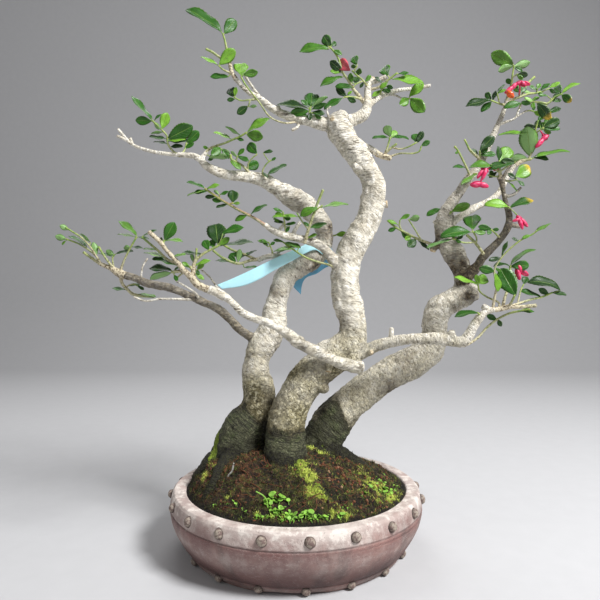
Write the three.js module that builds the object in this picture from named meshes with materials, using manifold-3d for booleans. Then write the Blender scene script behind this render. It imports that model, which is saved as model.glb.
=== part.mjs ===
// Burning bush bonsai: a clump of three trunks from one root base, in a drum pot of unglazed clay.
// Millimetres, +Z up, +X to the right and +Y away from the viewer. The pot stands on Z = 0.
import * as THREE from 'three';
import { mergeVertices } from 'three/addons/utils/BufferGeometryUtils.js';
import Module from 'manifold-3d';

const wasm = await Module();
wasm.setup();

// Clearance that neighbouring pieces keep
const GAP = 0.35;

// Pot
const POT_RADIUS = 150;
const RIM_TOP = 70;
const RIM_OUTER_RADIUS = 146;
const RIM_EDGE = 2.5;
const LIP_RADIUS = 131;
const WALL = 14;
const FLOOR_TOP = 13;
const FLOOR_BOTTOM = 3;
const BELLY_HEIGHT = 50;
const BELLY_POWER = 1.7;
const SHOULDER_POWER = 2;
const BAND_RADIUS = 132;
const FOOT_OUTER_RADIUS = 126;
const FOOT_INNER_RADIUS = 100;
const FOOT_HALF_ANGLE = 48;
const FOOT_MIDDLES = [90, 210, 330];
// Hollow of the pot below the lip, as radius and height; the soil's skirt keeps clear of it
const HOLLOW = [[POT_RADIUS - WALL, 48], [133, 32], [122, 18], [112, FLOOR_TOP]];
const SKIRT = [[131, 33], [120.5, 18.3], [110.5, FLOOR_TOP + GAP]];
// Heights at which the wall's curve is given between its two incised lines
const WALL_HEIGHTS = [22, 36];
const GROOVE_DEPTH = 1.2;
const GROOVE_HALF_HEIGHT = 1.1;
const POT_SIDES = 32;
const UPPER_GROOVE_HEIGHT = 52.2;
const LOWER_GROOVE_HEIGHT = 9.4;
const RIVET_COUNT = 16;
const RIVET_TOP_SHARE = 0.55;
const UPPER_RIVET = { height: 61.5, radius: 5.8, phase: 6.5, sides: 6 };
const LOWER_RIVET = { height: 5.1, radius: 4.2, phase: 4.6, sides: 4 };
const DRAIN_RADIUS = 10;
const DRAIN_OFFSET = 58;
const MESH_SIDE = 34;
const MESH_THICKNESS = 1;
const MESH_CELL = 9.6;
const MESH_BAR = 2.4;

// Soil mound
const MOUND_TOP = 122;
const SOIL_EDGE = 68;
const MOUND_CENTRE = [-20, -6];
const MOUND_POWER = 1.5;
const MOUND_LEFT_FULLNESS = 1.3;
const MOUND_LUMP = 1.6;
const SOIL_SECTORS = 18;
const SOIL_RINGS = 4;
// Halvings of the distance in which a line of sight meets the mound
const SIGHT_STEPS = 16;
const WEED_LEAF_COUNT = 2;
const WEED_LEAF_FLATNESS = 0.6;
const WEED_SUNK = 1.5;

// Leaves
const LEAF_THICKNESS = 0.65;
const LEAF_RIB_THICKNESS = 1;
const PLATE_LENGTH = 31;
const SHORT_LENGTH = 17;
const LEAF_TOOTH = 0.06;
const LEAF_LENGTH_TO_WIDTH = 1.9;
const LEAF_ARCH = 0.1;
const LEAF_FOLD = 0.22;
const LEAF_MOST_SLENDER = 2.3;
const PETIOLE_RADIUS = 0.7;
const PETIOLE_OVERLAP = 0.9;

// Wood and stems: rows nearer than this to the line between their neighbours are left out, in pixels
const LIMB_SLACK = 2.2;
const STEM_SLACK = 1.8;
const ROOT_SIDES = 5;
// How far from a stem's end a leaf or side stem is set, in pixels
const END_INSET = 1.4;

// The photograph is read in pixels on the plane Y = 0, from a level eye in front of the tree.
// A reading [u, v] with a depth (mm, away from the eye) is a point on its line of sight.
const EYE = new THREE.Vector3(4.6, -675, 292);
const MM_PER_PX = 1.2162;
const PICTURE_CENTRE = 300;

function sight(u, v, depth = 0) {
  const across = MM_PER_PX * (u - PICTURE_CENTRE);
  const up = MM_PER_PX * (PICTURE_CENTRE - v);
  const ray = new THREE.Vector3(across, -EYE.y, up);
  return ray.multiplyScalar(1 - depth / EYE.y).add(EYE);
}

function pixelsToLength(pixels, depth) {
  return pixels * MM_PER_PX * (1 - depth / EYE.y);
}

// Thick wood: each row is u, v, depth, apparent width in pixels
const LIMBS = {
  trunkLeft: [
    [238, 470, -6, 54], [240, 452, -4, 50], [240, 440, -2, 45], [247, 425, 0, 41], [256, 410, 2, 33],
    [259, 396, 3, 31],
    [257, 383, 4, 30], [255, 371, 5, 27], [257, 359, 6, 25], [261, 347, 8, 28], [268, 336, 10, 29],
    [274, 324, 12, 28], [275, 310, 13, 23], [278, 297, 14, 20], [282, 285, 16, 20], [290, 273, 18, 21],
    [303, 264, 21, 22], [315, 256, 23, 20], [323, 244, 25, 17], [324, 230, 23, 17], [316, 215, 19, 20],
    [304, 204, 14, 22], [290, 196, 10, 20], [277, 188, 6, 15], [262, 180, 3, 13], [250, 177, 0, 11],
    [238, 176, -2, 10.5], [225, 174.5, -4, 9.5], [213, 170, -6, 9], [204, 164, -8, 8], [199, 158, -9, 6.5],
  ],
  trunkMiddle: [
    [282, 480, -30, 54], [284, 462, -30, 50], [284, 448, -29, 42], [284, 435, -28, 38],
    [286, 420, -28, 36], [291, 405, -27, 35],
    [300, 390, -25, 36], [312, 375, -22, 37], [328, 361, -20, 38], [346, 348, -17, 33],
    [353, 336, -14, 28.5],
    [353.5, 323, -12, 27], [349.5, 309, -10, 29], [345.5, 291, -8, 29], [345, 277, -6, 29],
    [348, 265, -5, 26],
    [351, 252, -3, 28], [359, 237, -2, 28], [368, 221, 0, 24.5], [372.5, 206, 0, 23.5], [374.5, 192, 0, 23],
    [373, 180, 0, 22], [363, 164, 0, 25], [352, 148, 0, 26], [341, 132, 0, 26], [335, 116, 0, 22],
  ],
  trunkRight: [
    [304, 476, 2, 54], [314, 458, 6, 48], [320, 445, 10, 40], [326, 432, 12, 38], [336, 418, 14, 38],
    [347, 405, 16, 34],
    [362, 393, 18, 33], [380, 380, 20, 32], [399, 369, 22, 33], [416, 360, 22, 32], [428, 349, 22, 30],
    [434, 335, 22, 27], [435, 320, 20, 25], [441, 307, 18, 24], [453, 300, 17, 24], [465, 294, 16, 24],
    [475, 290, 16, 18],
  ],
  trunkRightUpper: [
    [463, 291, 15, 18], [463, 278, 14, 17], [460, 266, 13, 19], [454, 254, 12, 21], [449, 244, 12, 19],
    [444.5, 235, 12, 17.5], [443.5, 225, 11, 17], [446, 213, 11, 15], [451, 204, 10, 12.5],
    [459, 193, 10, 11],
    [467, 181, 10, 10], [477, 168, 10, 9], [487, 148, 10, 8], [498, 124, 10, 6], [504, 110, 10, 5],
    [507, 100, 10, 4.5],
  ],
  frontLeft: [
    [362, 368, -42, 14], [350, 365.5, -44, 13], [333, 360, -47, 12.5], [315, 351, -49, 12],
    [300, 343, -52, 13],
    [285, 332, -55, 10], [270, 324, -59, 8.5], [256, 319, -62, 8], [241, 311.5, -67, 8],
    [232, 302.5, -70, 8],
    [219.6, 294, -73, 9], [208, 289, -76, 9],
  ],
  lowerLeft: [
    [264, 344, 8, 10], [253, 338, 3, 9], [239, 329, 5, 9], [229, 318, 9, 9], [217, 308.5, 12, 8.5],
    [203, 302, 16, 8], [189, 295.5, 20, 8], [171, 288, 24, 8], [159, 285.5, 27, 8], [147, 283, 30, 8],
    [135, 278, 33, 8], [126, 275.5, 36, 8.5],
  ],
  middleLeft: [
    [342, 270, -8, 11], [336, 264.5, -10, 11], [331, 256, -12, 10.5], [324, 248.5, -13, 9.5],
    [315, 242.5, -14, 9],
    [303, 239, -16, 8.5], [291, 237, -18, 8], [283, 235, -20, 8], [274, 231, -23, 7], [264, 224.5, -26, 6],
  ],
  behindTag: [
    [296, 267, 14, 6.5], [286, 259.5, 9, 6], [275, 256, 4, 5.5], [265, 257, 1, 5], [258, 260, 0, 5],
  ],
  topLeft: [
    [331, 125, 0, 14], [320, 123, -1, 13], [310, 121, -2, 12], [300, 119.5, -4, 10.5], [290, 117, -6, 9],
    [280, 113, -8, 9], [270, 107, -9, 7.5], [262, 100, -11, 7], [250, 93, -13, 6], [240, 84.5, -14, 5.5],
    [234, 77, -15, 5.5],
  ],
  topRight: [
    [343, 124, 0, 14], [355, 119, 2, 11.5], [364, 114, 4, 12], [367, 105, 5, 9.5], [367.5, 93, 7, 7],
    [368.5, 85, 8, 6], [373, 77, 8, 5.5],
  ],
  topRightCut: [[369, 83, 8, 4.5], [378, 80.5, 6, 5], [386, 77, 4, 5]],
  topRightLong: [
    [366, 107, 5, 7.5], [374, 101, 8, 6.5], [381, 96.5, 11, 5.5], [391, 92.5, 15, 5], [400, 90, 18, 4],
    [415, 88.5, 22, 3.5], [430, 85.5, 26, 3.5],
  ],
  rightStub: [[356, 146, 0, 8], [366, 147, -3, 7], [373, 150.5, -5, 6.5], [379, 155, -7, 6]],
  frontRight: [
    [352, 357, -20, 13], [366, 350.5, -24, 12], [376, 345.5, -27, 11], [391, 341.5, -31, 10.7],
    [406, 339.5, -34, 11], [421, 339.5, -36, 12], [436, 339, -38, 12], [450, 340.5, -39, 12],
    [461, 342, -39, 11.5], [468, 336, -39, 10.5], [474.5, 325, -39, 9.5], [480, 317, -39, 8.5],
    [486, 311.5, -39, 7], [495, 309.5, -39, 6],
  ],
  darkRight: [
    [462, 284, 12, 13], [468, 276, 6, 12], [476, 267.5, 0, 10], [483, 257, -6, 8.5], [492, 248, -11, 8],
    [501, 238.5, -15, 7.5], [508.5, 225, -19, 7], [509, 215, -20, 6], [506, 205, -22, 5],
    [503.5, 193, -24, 5],
    [502, 183, -25, 6], [500.5, 176, -25, 8],
  ],
  whiteRight: [
    [446, 227, 11, 9], [455, 220, 12, 8], [464, 214, 15, 7.5], [475, 207.5, 20, 7], [487, 202, 24, 6.5],
    [497, 195, 28, 6], [503, 186, 30, 5.5], [508, 176, 32, 5], [513, 168, 34, 5], [518, 163.5, 35, 5],
  ],
  leftTip: [
    [203, 162, -8, 6.5], [195, 156.5, -10, 6], [184, 155, -12, 5], [170, 154, -15, 4.2],
    [157, 152.5, -17, 3.6],
    [143, 149, -19, 3.2], [134, 145.5, -21, 3], [126, 140, -22, 3], [117, 136, -23, 2.8],
  ],
};

// Cut stubs, knobs and bare twigs, in the same terms
const BARE_TWIGS = {
  leftTipBuds: [[128, 141, -22, 3.2], [122, 134, -22, 3], [118, 129, -22, 2.5]],
  leftTipBud: [[133, 145, -21, 3], [130, 138, -21, 3]],
  leftUpStub: [[200, 161, -9, 6], [204, 155, -8, 4.5], [208, 150, -7, 3.5]],
  knobHighLeft: [[365, 170, -8, 8], [354, 166, -12, 7]],
  knobRight: [[378, 205, 0, 8], [387.5, 204, -2, 7]],
  knobElbow: [[320, 384, -30, 14], [325, 390, -38, 10]],
  elbowLobe: [[340, 356, -22, 30], [357, 361, -24, 22]],
  frontLeftKnob: [[297, 345, -50, 9], [302, 337, -54, 6.5]],
  frontLeftUnder: [[330, 361, -45, 8], [328.5, 372, -45, 6]],
  whiteStub: [[292, 238, -17, 5], [295, 230, -16, 4], [300, 222.5, -15, 4]],
  smallFork: [[281, 235, -20, 4], [279.5, 230, -21, 3], [283.5, 225, -21, 3]],
  tagTwigStub: [[276, 256, 4, 3], [280, 250.5, 3, 2.5], [285, 246, 2, 2.2]],
  curledTwig: [[141, 280, 31, 2.6], [141.5, 273, 31, 2], [143, 266, 31, 1.8], [147.5, 258.5, 31, 1.8]],
  palePinkTwig: [
    [198, 300, 18, 4], [189, 299.5, 16, 3], [171, 299, 14, 2.4], [159, 299, 13, 2.2], [146, 301, 12, 2.2],
    [134, 297, 12, 2],
  ],
  thinLeftTwig: [[230, 300, -70, 2.5], [217, 287, -62, 1.8], [210, 277.5, -58, 1.8], [200.5, 269, -55, 1.6]],
  lowStubLeft: [[199, 299, 16, 3], [196, 294, 8, 2.6], [188, 288, -10, 2], [176, 281, -30, 1.8]],
  creamStubTop: [[262, 101, -11, 4], [255, 90.5, -12, 2.8], [248, 80.5, -13, 2.5], [245, 75, -13, 2.5]],
  scarKnobTop: [[281, 114, -8, 6], [277, 107, -10, 5.5]],
  lowStubTop: [[299, 121, -4, 4], [297.5, 127, -6, 3], [292, 130.5, -7, 3]],
  trunkTopTwig: [[331, 122, -8, 3], [327, 110, -9, 1.8], [331, 106.5, -10, 1.8]],
  rightCollarKnob: [[472, 294, 4, 14], [474, 285, 2, 8]],
  leftStump: [[446, 241, 12, 9], [434.5, 246.5, 14, 7.5], [432.5, 251.5, 14, 5.5]],
  leftStumpHigh: [[444, 226, 11, 6], [433.5, 221.5, 12, 3.5]],
  frontRightUpStub: [[391, 341, -31, 6], [391.8, 328, -33, 4.5]],
  frontRightKnob: [[452, 338, -39, 9], [452, 330.5, -41, 7]],
  frontRightKnobEnd: [[489, 310, -39, 6], [483, 306, -39, 6]],
  redCut: [[364, 352, -24, 8], [372, 352, -34, 5]],
  darkForkStub: [[508, 224, -19, 5], [514, 225.5, -18, 4.5], [519.5, 227, -17, 3.5]],
  upperForkStub: [[503.5, 195, -24, 4], [509, 196, -25, 3.4], [515, 193.5, -26, 3], [521, 187.5, -27, 2.6]],
  longRightTwig: [
    [496, 126, 10, 3.5], [505.5, 122, 8, 2.6], [511.6, 120, 6, 2.2], [516, 117, 4, 2], [518, 111.6, 2, 2],
    [521, 105.5, 0, 2],
  ],
  bentRightTwig: [[516.5, 117, 4, 1.8], [521, 114, 4, 1.6], [527, 110.5, 4, 1.6]],
  topRightFine: [[389, 94, 15, 2.4], [397, 96, 12, 1.8], [402, 98.5, 10, 1.6], [408, 98.8, 9, 1.6]],
  darkStem: [[503, 178, -25, 3.4], [507, 170.5, -24, 2.8], [511, 165, -23, 2.4]],
};

// Mossy surface roots that leave the base and dive into the soil, as x, y, z and radius in millimetres
const ROOTS = {
  leftRoot: [[-84, -6, 104, 20], [-102, -12, 93, 13], [-115, -14, 83, 8], [-121, -14, 73, 5]],
  leftFrontRoot: [
    [-74, -26, 104, 16], [-84, -46, 97, 10], [-90, -60, 88, 6.5], [-97, -68, 80, 5], [-101, -72, 72, 3.5],
  ],
  frontRoot: [[-8, -40, 104, 15], [6, -60, 97, 12], [17, -80, 89, 10], [27, -95, 83, 8], [38, -103, 75, 6]],
  rightRoot: [[36, 8, 104, 18], [62, 6, 94, 13], [84, 0, 83, 9], [98, -6, 74, 6]],
  backRoot: [[-20, 20, 108, 20], [-26, 50, 98, 14], [-30, 76, 88, 9], [-32, 92, 77, 6]],
  rootBall: [[-20, -4, 46, 48], [-20, -4, 66, 62], [-22, -4, 90, 56], [-24, -4, 110, 34]],
};

// Leafy shoots. stems: rows as above, the first point in the wood that carries them.
// leaves: base u, v, tip u, v, apparent width, and the side seen: 1 upper, -1 under; then the arch if strong
const SHOOTS = {
  topLeftTip: {
    stems: [
      [[236, 79, -15, 4.5], [232, 73, -15, 4.5], [229.5, 62, -16, 3.8], [227, 51, -17, 2.8],
      [225, 41, -18, 2.2],
        [223, 34, -18, 1.8]],
      [[229.5, 63, -16, 3], [220, 57.5, -18, 2.6], [213, 52.5, -19, 2.6], [206, 49, -20, 2.6]],
      [[232.5, 74, -15, 2.6], [223, 69.5, -18, 1.8], [219, 66, -19, 1.5]],
    ],
    leaves: [
      [222, 33, 185, 10, 9, 1, 0.2], [224, 34, 236, 18, 11, 1], [219, 65, 235, 49, 11, 1],
      [229, 77, 210, 77, 5, 1],
    ],
  },
  longThinTop: {
    stems: [
      [[296, 122, -6, 2.4], [285, 123, -14, 1.8], [275, 120, -17, 1.7], [268, 115, -19, 1.7],
        [259, 102, -21, 1.7], [251, 92, -22, 1.7], [246, 85.5, -22, 1.7], [241, 77, -22, 1.7]],
    ],
    leaves: [
      [241, 76, 241, 61, 14, 1], [243, 75, 258, 72, 7, 1],
    ],
  },
  lowTopLeft: {
    stems: [[[257, 99, -12, 3], [249, 100, -14, 2], [241, 100.5, -16, 1.6], [235, 98, -17, 1.4]],
      [[250, 99.8, -14, 1.6], [248.5, 106, -15, 1.4]]],
    leaves: [
      [234, 97, 229, 87, 9, 1], [248, 106, 237, 114, 7, 1],
    ],
  },
  trunkTopCluster: {
    stems: [[[306, 120, -5, 3], [309, 115, -9, 2.2], [310, 108, -10, 2]]],
    leaves: [
      [309, 108, 276, 105, 5.5, 1, 0.16], [309, 110, 290, 113, 7, 1], [311, 107, 312, 92, 13, 1],
      [311, 108, 328, 97, 5, -1], [311, 110, 327, 104, 5, 1],
    ],
  },
  crownStem: {
    stems: [
      [[365, 104, 5, 4.6], [359, 96, 2, 4.2], [354, 90, 0, 3.6], [348, 80, -2, 2.8], [342.5, 72, -4, 2.4],
        [338.5, 59, -6, 2.2], [335, 53, -7, 2], [330, 47, -8, 1.8]],
    ],
    leaves: [
      [330, 47, 321, 34, 8, 1], [329, 48, 299, 52, 7, 1, 0.18], [341, 71, 329, 61, 7, 1],
      [343, 76, 320, 87, 5, 1, 0.2],
    ],
  },
  crownSide: {
    stems: [
      [[368, 87, 7, 2.6], [362, 79.5, -2, 2], [356, 74.5, -7, 1.8], [352, 70.5, -10, 1.7]],
      [[353, 71.5, -9, 1.6], [357, 66, -11, 1.4]],
      [[363, 80.5, -1, 1.6], [356, 84, -4, 1.4]],
    ],
    leaves: [

    ],
  },
  crownLow: {
    stems: [[[361, 99, 2, 3], [353, 97, -2, 2], [344.5, 97, -5, 1.6]]],
    leaves: [
      [344, 97, 324, 109, 5, 1, 0.18],
    ],
  },
  topRightBranchlet: {
    stems: [
      [[370, 89.5, 8, 3.4], [378, 87.5, 5, 2.6], [385, 82.5, 2, 2.4], [390, 78.5, 0, 2.2],
      [397, 73, -2, 2]],
    ],
    leaves: [
      [389, 76.5, 384, 66, 10, 1], [392, 78.5, 423, 82, 6.5, 1, 0.16],
    ],
  },
  topRightFar: {
    stems: [
      [[405, 98.8, 9, 1.8], [410.5, 98.5, 7, 1.6]],
    ],
    leaves: [
      [410, 97.5, 425, 83, 7, 1], [411, 100, 423, 113, 10, 1],
    ],
  },
  topRightInner: {
    stems: [[[380, 97, 10, 2.4], [382, 89, 4, 1.8], [386, 86, 2, 1.6]]],
    leaves: [
      [381, 90, 391, 91.5, 4, 1], [382, 90, 372, 97, 4, 1],
    ],
  },
  rightStubTwigs: {
    stems: [
      [[377, 153.5, -7, 6.2], [383.5, 156.5, -9, 6], [390.5, 158, -11, 6]],
      [[384.5, 155, -9, 3], [387.5, 147, -10, 2.2], [390, 138, -11, 2]],
      [[386, 154, -9, 2.8], [391, 148, -12, 2.4], [396.5, 144, -14, 2.4]],
      [[388, 156, -10, 2.6], [400, 153.5, -13, 1.8], [412, 153.5, -16, 1.7], [419, 151.5, -18, 1.6],
        [421.5, 146, -19, 1.6]],
      [[392, 147.5, -12, 2], [400, 149, -15, 1.7], [408, 147, -17, 1.6], [415.5, 143, -19, 1.6]],
    ],
    leaves: [
      [390, 137, 386.5, 127, 8, -1],
    ],
  },
  lowerLeftEnd: {
    stems: [
      [[125, 275.5, 36, 8.5], [119, 273, 37, 9], [110.6, 268, 37, 5.6], [102, 264.5, 37, 4.4],
      [91, 257.5, 36, 3.2],
        [83.5, 252.3, 35, 3]],
      [[116, 272, 36, 3.4], [107, 260, 32, 2.4], [98.5, 246.6, 29, 2.2]],
      [[121, 270, 36, 3.4], [124.5, 259.5, 33, 2.2], [130, 248.5, 31, 2], [136, 238, 29, 1.9]],
      [[103, 262, 35, 2.4], [95, 255, 30, 2], [80, 244.5, 25, 1.8], [66, 239, 22, 1.7]],
      [[96, 256, 31, 2], [90, 246.5, 22, 1.9], [82, 238, 17, 1.9], [73, 232, 14, 1.9],
      [65.5, 227.5, 11, 1.7]],
      [[114.5, 270, 36, 1.8], [112.5, 259, 38, 1.6], [114.5, 254.5, 38, 1.5]],
      [[119.5, 276, 37, 4.6], [122, 283, 38, 3.4], [127, 289, 40, 3.2], [134, 294.5, 42, 3.6],
      [154, 297, 46, 2.2]],
      [[125, 287, 39, 1.8], [133, 284, 36, 1.5], [138, 286, 35, 1.4]],
    ],
    leaves: [
      [96.6, 255, 93, 242, 6, -1], [137, 236, 118, 221, 6, 1, 0.16],
    ],
  },
  frontLeftEnd: {
    stems: [
      [[211, 290.5, -75.5, 8.4], [204, 288, -77, 8], [197, 284, -79, 8.2], [191, 277, -81, 7.4],
      [185, 271.5, -83, 6],
        [177.5, 262.5, -86, 5.4], [168, 252, -89, 4.8], [159, 241, -92, 4.8], [149, 232, -95, 4.8]],
      [[176, 270, -83, 3.6], [167, 259, -85, 2.8], [158, 250.5, -87, 2.5], [149, 243, -89, 2.5],
      [142, 237, -91, 2.3]],
      [[193, 278, -81, 6], [193.5, 270, -80, 5], [195, 261.5, -80, 3.6], [203, 254, -80, 2.8],
      [211, 249.5, -80, 2.6],
        [218, 246, -80, 2.4]],
      [[194.5, 263, -80, 3], [196, 256, -82, 2.4], [196.6, 248.5, -83, 2.2]],
      [[184, 271, -83, 4], [176, 271.5, -82, 3.6], [172, 272, -81, 3]],
      [[194, 271, -80, 3], [190, 266.5, -81, 3]],
      [[184, 272, -82, 2.2], [178, 277, -78, 1.8], [176, 281, -76, 1.6]],
      [[162, 246, -91, 2.4], [164, 241, -90, 2]],
    ],
    leaves: [
      [164.5, 240, 177, 223.6, 9, 1], [181, 266.5, 161, 261, 4, 1],
      [172, 270.5, 149, 269, 6.5, 1, 0.14], [172, 273, 150, 279.5, 6.5, -1, 0.14],
      [218, 245, 216, 222.4, 17, 1], [209, 250, 203.5, 239.5, 8, 1], [219, 245.5, 229.5, 237.5, 6, 1],
      [219, 246, 253.6, 242.4, 4, 1, 0.1], [219, 244.5, 243, 228, 6, 1],
    ],
  },
  reddishShoot: {
    stems: [
      [[267, 227, -25, 4.6], [259, 221, -28, 3.2], [250, 215.8, -31, 2.9], [240, 210.8, -35, 2.7],
        [230.6, 205.4, -39, 2.6], [223, 201, -42, 2.4], [214, 195, -45, 2.2], [205, 188.5, -48, 2]],
      [[229, 204.8, -39, 2], [232.8, 203, -40, 1.8]],
      [[220, 199, -43, 1.6], [219, 194.5, -44, 1.4]],
    ],
    leaves: [
      [233, 203, 233, 189, 10, 1], [250, 215.5, 267.5, 205, 4, 1, 0.14],
    ],
  },
  greenCutShoot: {
    stems: [
      [[304.5, 243, -18, 4.2], [307, 234, -22, 3.4], [310, 224.5, -24, 3.2], [313.5, 214.5, -26, 3],
        [317, 204.5, -27, 2.8], [320.5, 196, -28, 2.8], [323, 190, -29, 3]],
      [[313.5, 215, -26, 2], [317, 209.5, -29, 1.8], [322.5, 205.5, -31, 1.7]],
      [[308, 230, -23, 1.8], [302.5, 222, -27, 1.6], [297, 213, -29, 1.6]],
    ],
    leaves: [
      [318, 207, 300, 216, 7, 1, 0.22], [322.7, 205.5, 348, 204, 3.4, 1, 0.14],
      [308.5, 228.5, 327, 223.6, 5, 1, 0.1], [299, 217, 272, 217.5, 3, 1, 0.1],
    ],
  },
  hiddenShoot: {
    stems: [[[322, 241, 34, 3.4], [329, 237, 38, 2], [336, 235, 38, 1.8]]],
    leaves: [
      [335.5, 235, 347, 233.5, 5, 1, 0.14], [333, 236, 326, 229, 4, 1],
    ],
  },
  smallForkShoot: {
    stems: [[[286, 234, -20, 2.6], [284.5, 222, -24, 1.8], [283, 212, -26, 1.7]]],
    leaves: [],
  },
  behindTagShoot: {
    stems: [
      [[262, 258.6, 0.5, 4.6], [250, 260.6, -1, 3.4], [238, 263.6, -3, 3], [223, 258, -6, 2.6],
      [213, 250.5, -8, 2.6]],
      [[256, 260, -0.5, 3.2], [243, 253.8, 3, 2.6], [232, 249.8, 5, 2.5], [222, 244, 7, 2.5]],
    ],
    leaves: [
      [236, 263, 215, 261, 3, 1, 0.1], [239, 252.5, 228, 258, 5, 1],
    ],
  },
  aboveTagShoot: {
    stems: [[[272.5, 256.5, 3, 3], [272, 250.5, 1, 1.8], [268.5, 242, -1, 1.6]]],
    leaves: [
      [272.4, 252, 289, 249.5, 3.5, 1, 0.1],
    ],
  },
  overTagTwig: {
    stems: [
      [[334, 266.5, -13, 2.8], [326, 264, -17, 2.3], [318, 262, -18, 2.2], [306, 257.5, -18, 2.1],
      [294, 250, -17, 2],
        [283, 242, -16, 1.8]],
    ],
    leaves: [
      [284, 242.8, 301, 248, 4, 1],
    ],
  },
  leftUpper: {
    stems: [
      [[180, 156, -13, 3.6], [174, 152, -16, 2.4], [169, 146, -18, 2.2], [167.2, 141, -19, 2],
      [167, 136, -20, 1.9],
        [161, 129, -21, 1.8], [152, 120.5, -22, 1.7]],
      [[186, 156, -12, 2.6], [184.5, 150, -8, 2], [186.5, 143, -6, 1.8]],
    ],
    leaves: [
      [152, 120, 131, 96, 5, 1, 0.08], [152, 121, 135.5, 120.5, 8, 1], [162, 129, 167, 112.5, 9, 1],
      [167.3, 139, 193, 126, 14, 1, 0.14], [186.5, 143, 199, 131, 9, 1], [167.3, 141, 186, 139, 5, 1],
    ],
  },
  leftInner: {
    stems: [
      [[204, 155.5, -8, 3.4], [208, 150, -8, 3], [213, 147, -9, 2.6], [225, 143, -12, 2.3],
      [233, 139.5, -14, 2.2],
        [240, 136.5, -16, 2.1], [246.5, 132.5, -18, 1.9]],
      [[216, 146.4, -10, 1.6], [221, 149, -13, 1.4]],
    ],
    leaves: [
      [247, 132, 270, 118, 7, 1, 0.18], [246.5, 133.5, 265, 139.5, 9, 1], [221, 148, 211, 155, 8, 1],
    ],
  },
  archTwig: {
    stems: [
      [[249, 172.5, -3, 3.4], [243.5, 166.5, -8, 2.6], [237, 162, -10, 2.4], [231.5, 159.5, -12, 2.4],
        [230.5, 154.5, -13, 2.4]],
      [[247.5, 170.5, -4, 2], [248.5, 163, -9, 1.6], [253, 157.5, -11, 1.4], [257, 154.5, -12, 1.3]],
      [[235.5, 161.3, -10.5, 1.8], [237.5, 156, -13, 1.5]],
    ],
    leaves: [
      [257, 154, 246.5, 144, 9, 1], [248, 166.5, 260, 164.5, 7, 1],
    ],
  },
  archShoot: {
    stems: [[[265, 178.5, -2, 2.6], [262.5, 171.5, -8, 1.8], [266, 164.5, -10, 1.5], [271, 160, -11, 1.4]]],
    leaves: [
      [264, 167, 287, 165.5, 4, 1, 0.12],
    ],
  },
  gapShoot: {
    stems: [
      [[437, 246, 14, 4.2], [427, 242.5, 20, 3.2], [417, 238.5, 25, 2.8], [407, 233.5, 29, 2.6],
      [396, 227.5, 31, 2.4],
        [387.5, 220.5, 33, 2.2]],
      [[402, 231, 30, 1.8], [399.5, 225, 29, 1.5], [400, 220, 28, 1.4]],
      [[421, 240, 23, 1.8], [414, 228, 20, 1.5], [408.5, 219.5, 18, 1.4]],
    ],
    leaves: [
      [416, 239.5, 407, 248, 8, 1],
    ],
  },
  heartShoot: {
    stems: [
      [[485.5, 257, -8, 4], [480, 249, -13, 3.2], [474.5, 242, -16, 3], [467, 235, -18, 3.2]],
      [[476, 244, -15, 2], [476.5, 238, -20, 1.7], [472.5, 231, -23, 1.7]],
      [[475, 242.5, -16, 2], [463, 242.5, -24, 1.8], [453, 238.5, -28, 1.6]],
    ],
    leaves: [
      [472.3, 230, 472, 214.5, 15, 1], [472, 231.5, 440, 237, 9, 1, 0.24],
      [453, 238.5, 426.5, 248, 3.4, 1, 0.16],
    ],
  },
  darkRightPair: {
    stems: [[[500, 238, -16, 2.8], [495, 233, -21, 1.8], [491, 229.5, -23, 1.6]]],
    leaves: [
      [491.5, 229, 478, 226.5, 6, 1],
    ],
  },
  trunkRightPair: {
    stems: [[[445, 212, 16, 2.6], [441, 209, 24, 1.8]]],
    leaves: [
      [441.5, 209, 426.5, 216, 5.5, 1, 0.14],
    ],
  },
  forkLeaves: {
    stems: [[[449, 215, 6, 2.6], [451.5, 211.5, -1, 1.8]]],
    leaves: [
      [451.5, 212, 470, 204.5, 8, 1, 0.12],
    ],
  },
  cutTwigRight: {
    stems: [
      [[470, 177, 8, 3], [468, 171, 2, 2.4], [463, 160.5, -1, 2.2], [457.5, 150, -3, 2.2],
        [454.5, 146.5, -4, 2.6]],
    ],
    leaves: [
      [466, 168, 452.5, 167.5, 3, 1, 0.16],
    ],
  },
  darkLeafRight: {
    stems: [[[473, 174, 6, 2.4], [477, 173.5, -1, 1.6]]],
    leaves: [
      [477, 174, 461, 185.5, 4.5, 1, 0.14],
    ],
  },
  upperTwigRight: {
    stems: [
      [[482, 160, 8, 3.6], [475, 155, 3, 3.2], [469.5, 149.5, 0, 2.6], [467, 144.5, -2, 2],
      [464.5, 139.5, -3, 2]],
      [[480.5, 158.5, 7, 2.2], [479.5, 151, 0, 1.8]],
    ],
    leaves: [
      [479.5, 151, 494, 136, 9, 1, 0.12], [480, 155, 496, 154.5, 5, 1],
    ],
  },
  nodeCluster: {
    stems: [
      [[500.5, 178, -26, 6], [500, 172, -29, 3], [499.5, 166, -31, 2], [499, 161, -32, 1.8]],
      [[500, 173, -29, 2], [494, 168, -33, 1.7], [491, 164.5, -35, 1.5]],
      [[500, 176, -27, 2.4], [494, 176.5, -31, 1.6], [488, 175, -33, 1.5]],
      [[500.5, 171.5, -29.5, 2], [508, 166, -33, 1.8], [515.5, 162, -36, 1.7]],
    ],
    leaves: [
      [495, 168.5, 469, 168, 6, 1, 0.26], [499.2, 161.5, 514, 147, 11, 1], [515, 162, 501, 160.5, 6, 1],
      [515.5, 163, 488.5, 170, 7, 1, 0.2],
    ],
  },
  sideNodeShoot: {
    stems: [[[503.5, 180.5, -25, 2.6], [510, 181, -28, 1.7], [517, 179.5, -30, 1.6]]],
    leaves: [
      [517, 178.5, 533.5, 166.5, 11, 1, 0.1], [516.5, 179, 507.5, 173.5, 4, 1],
    ],
  },
  whiteTip: {
    stems: [
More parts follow.
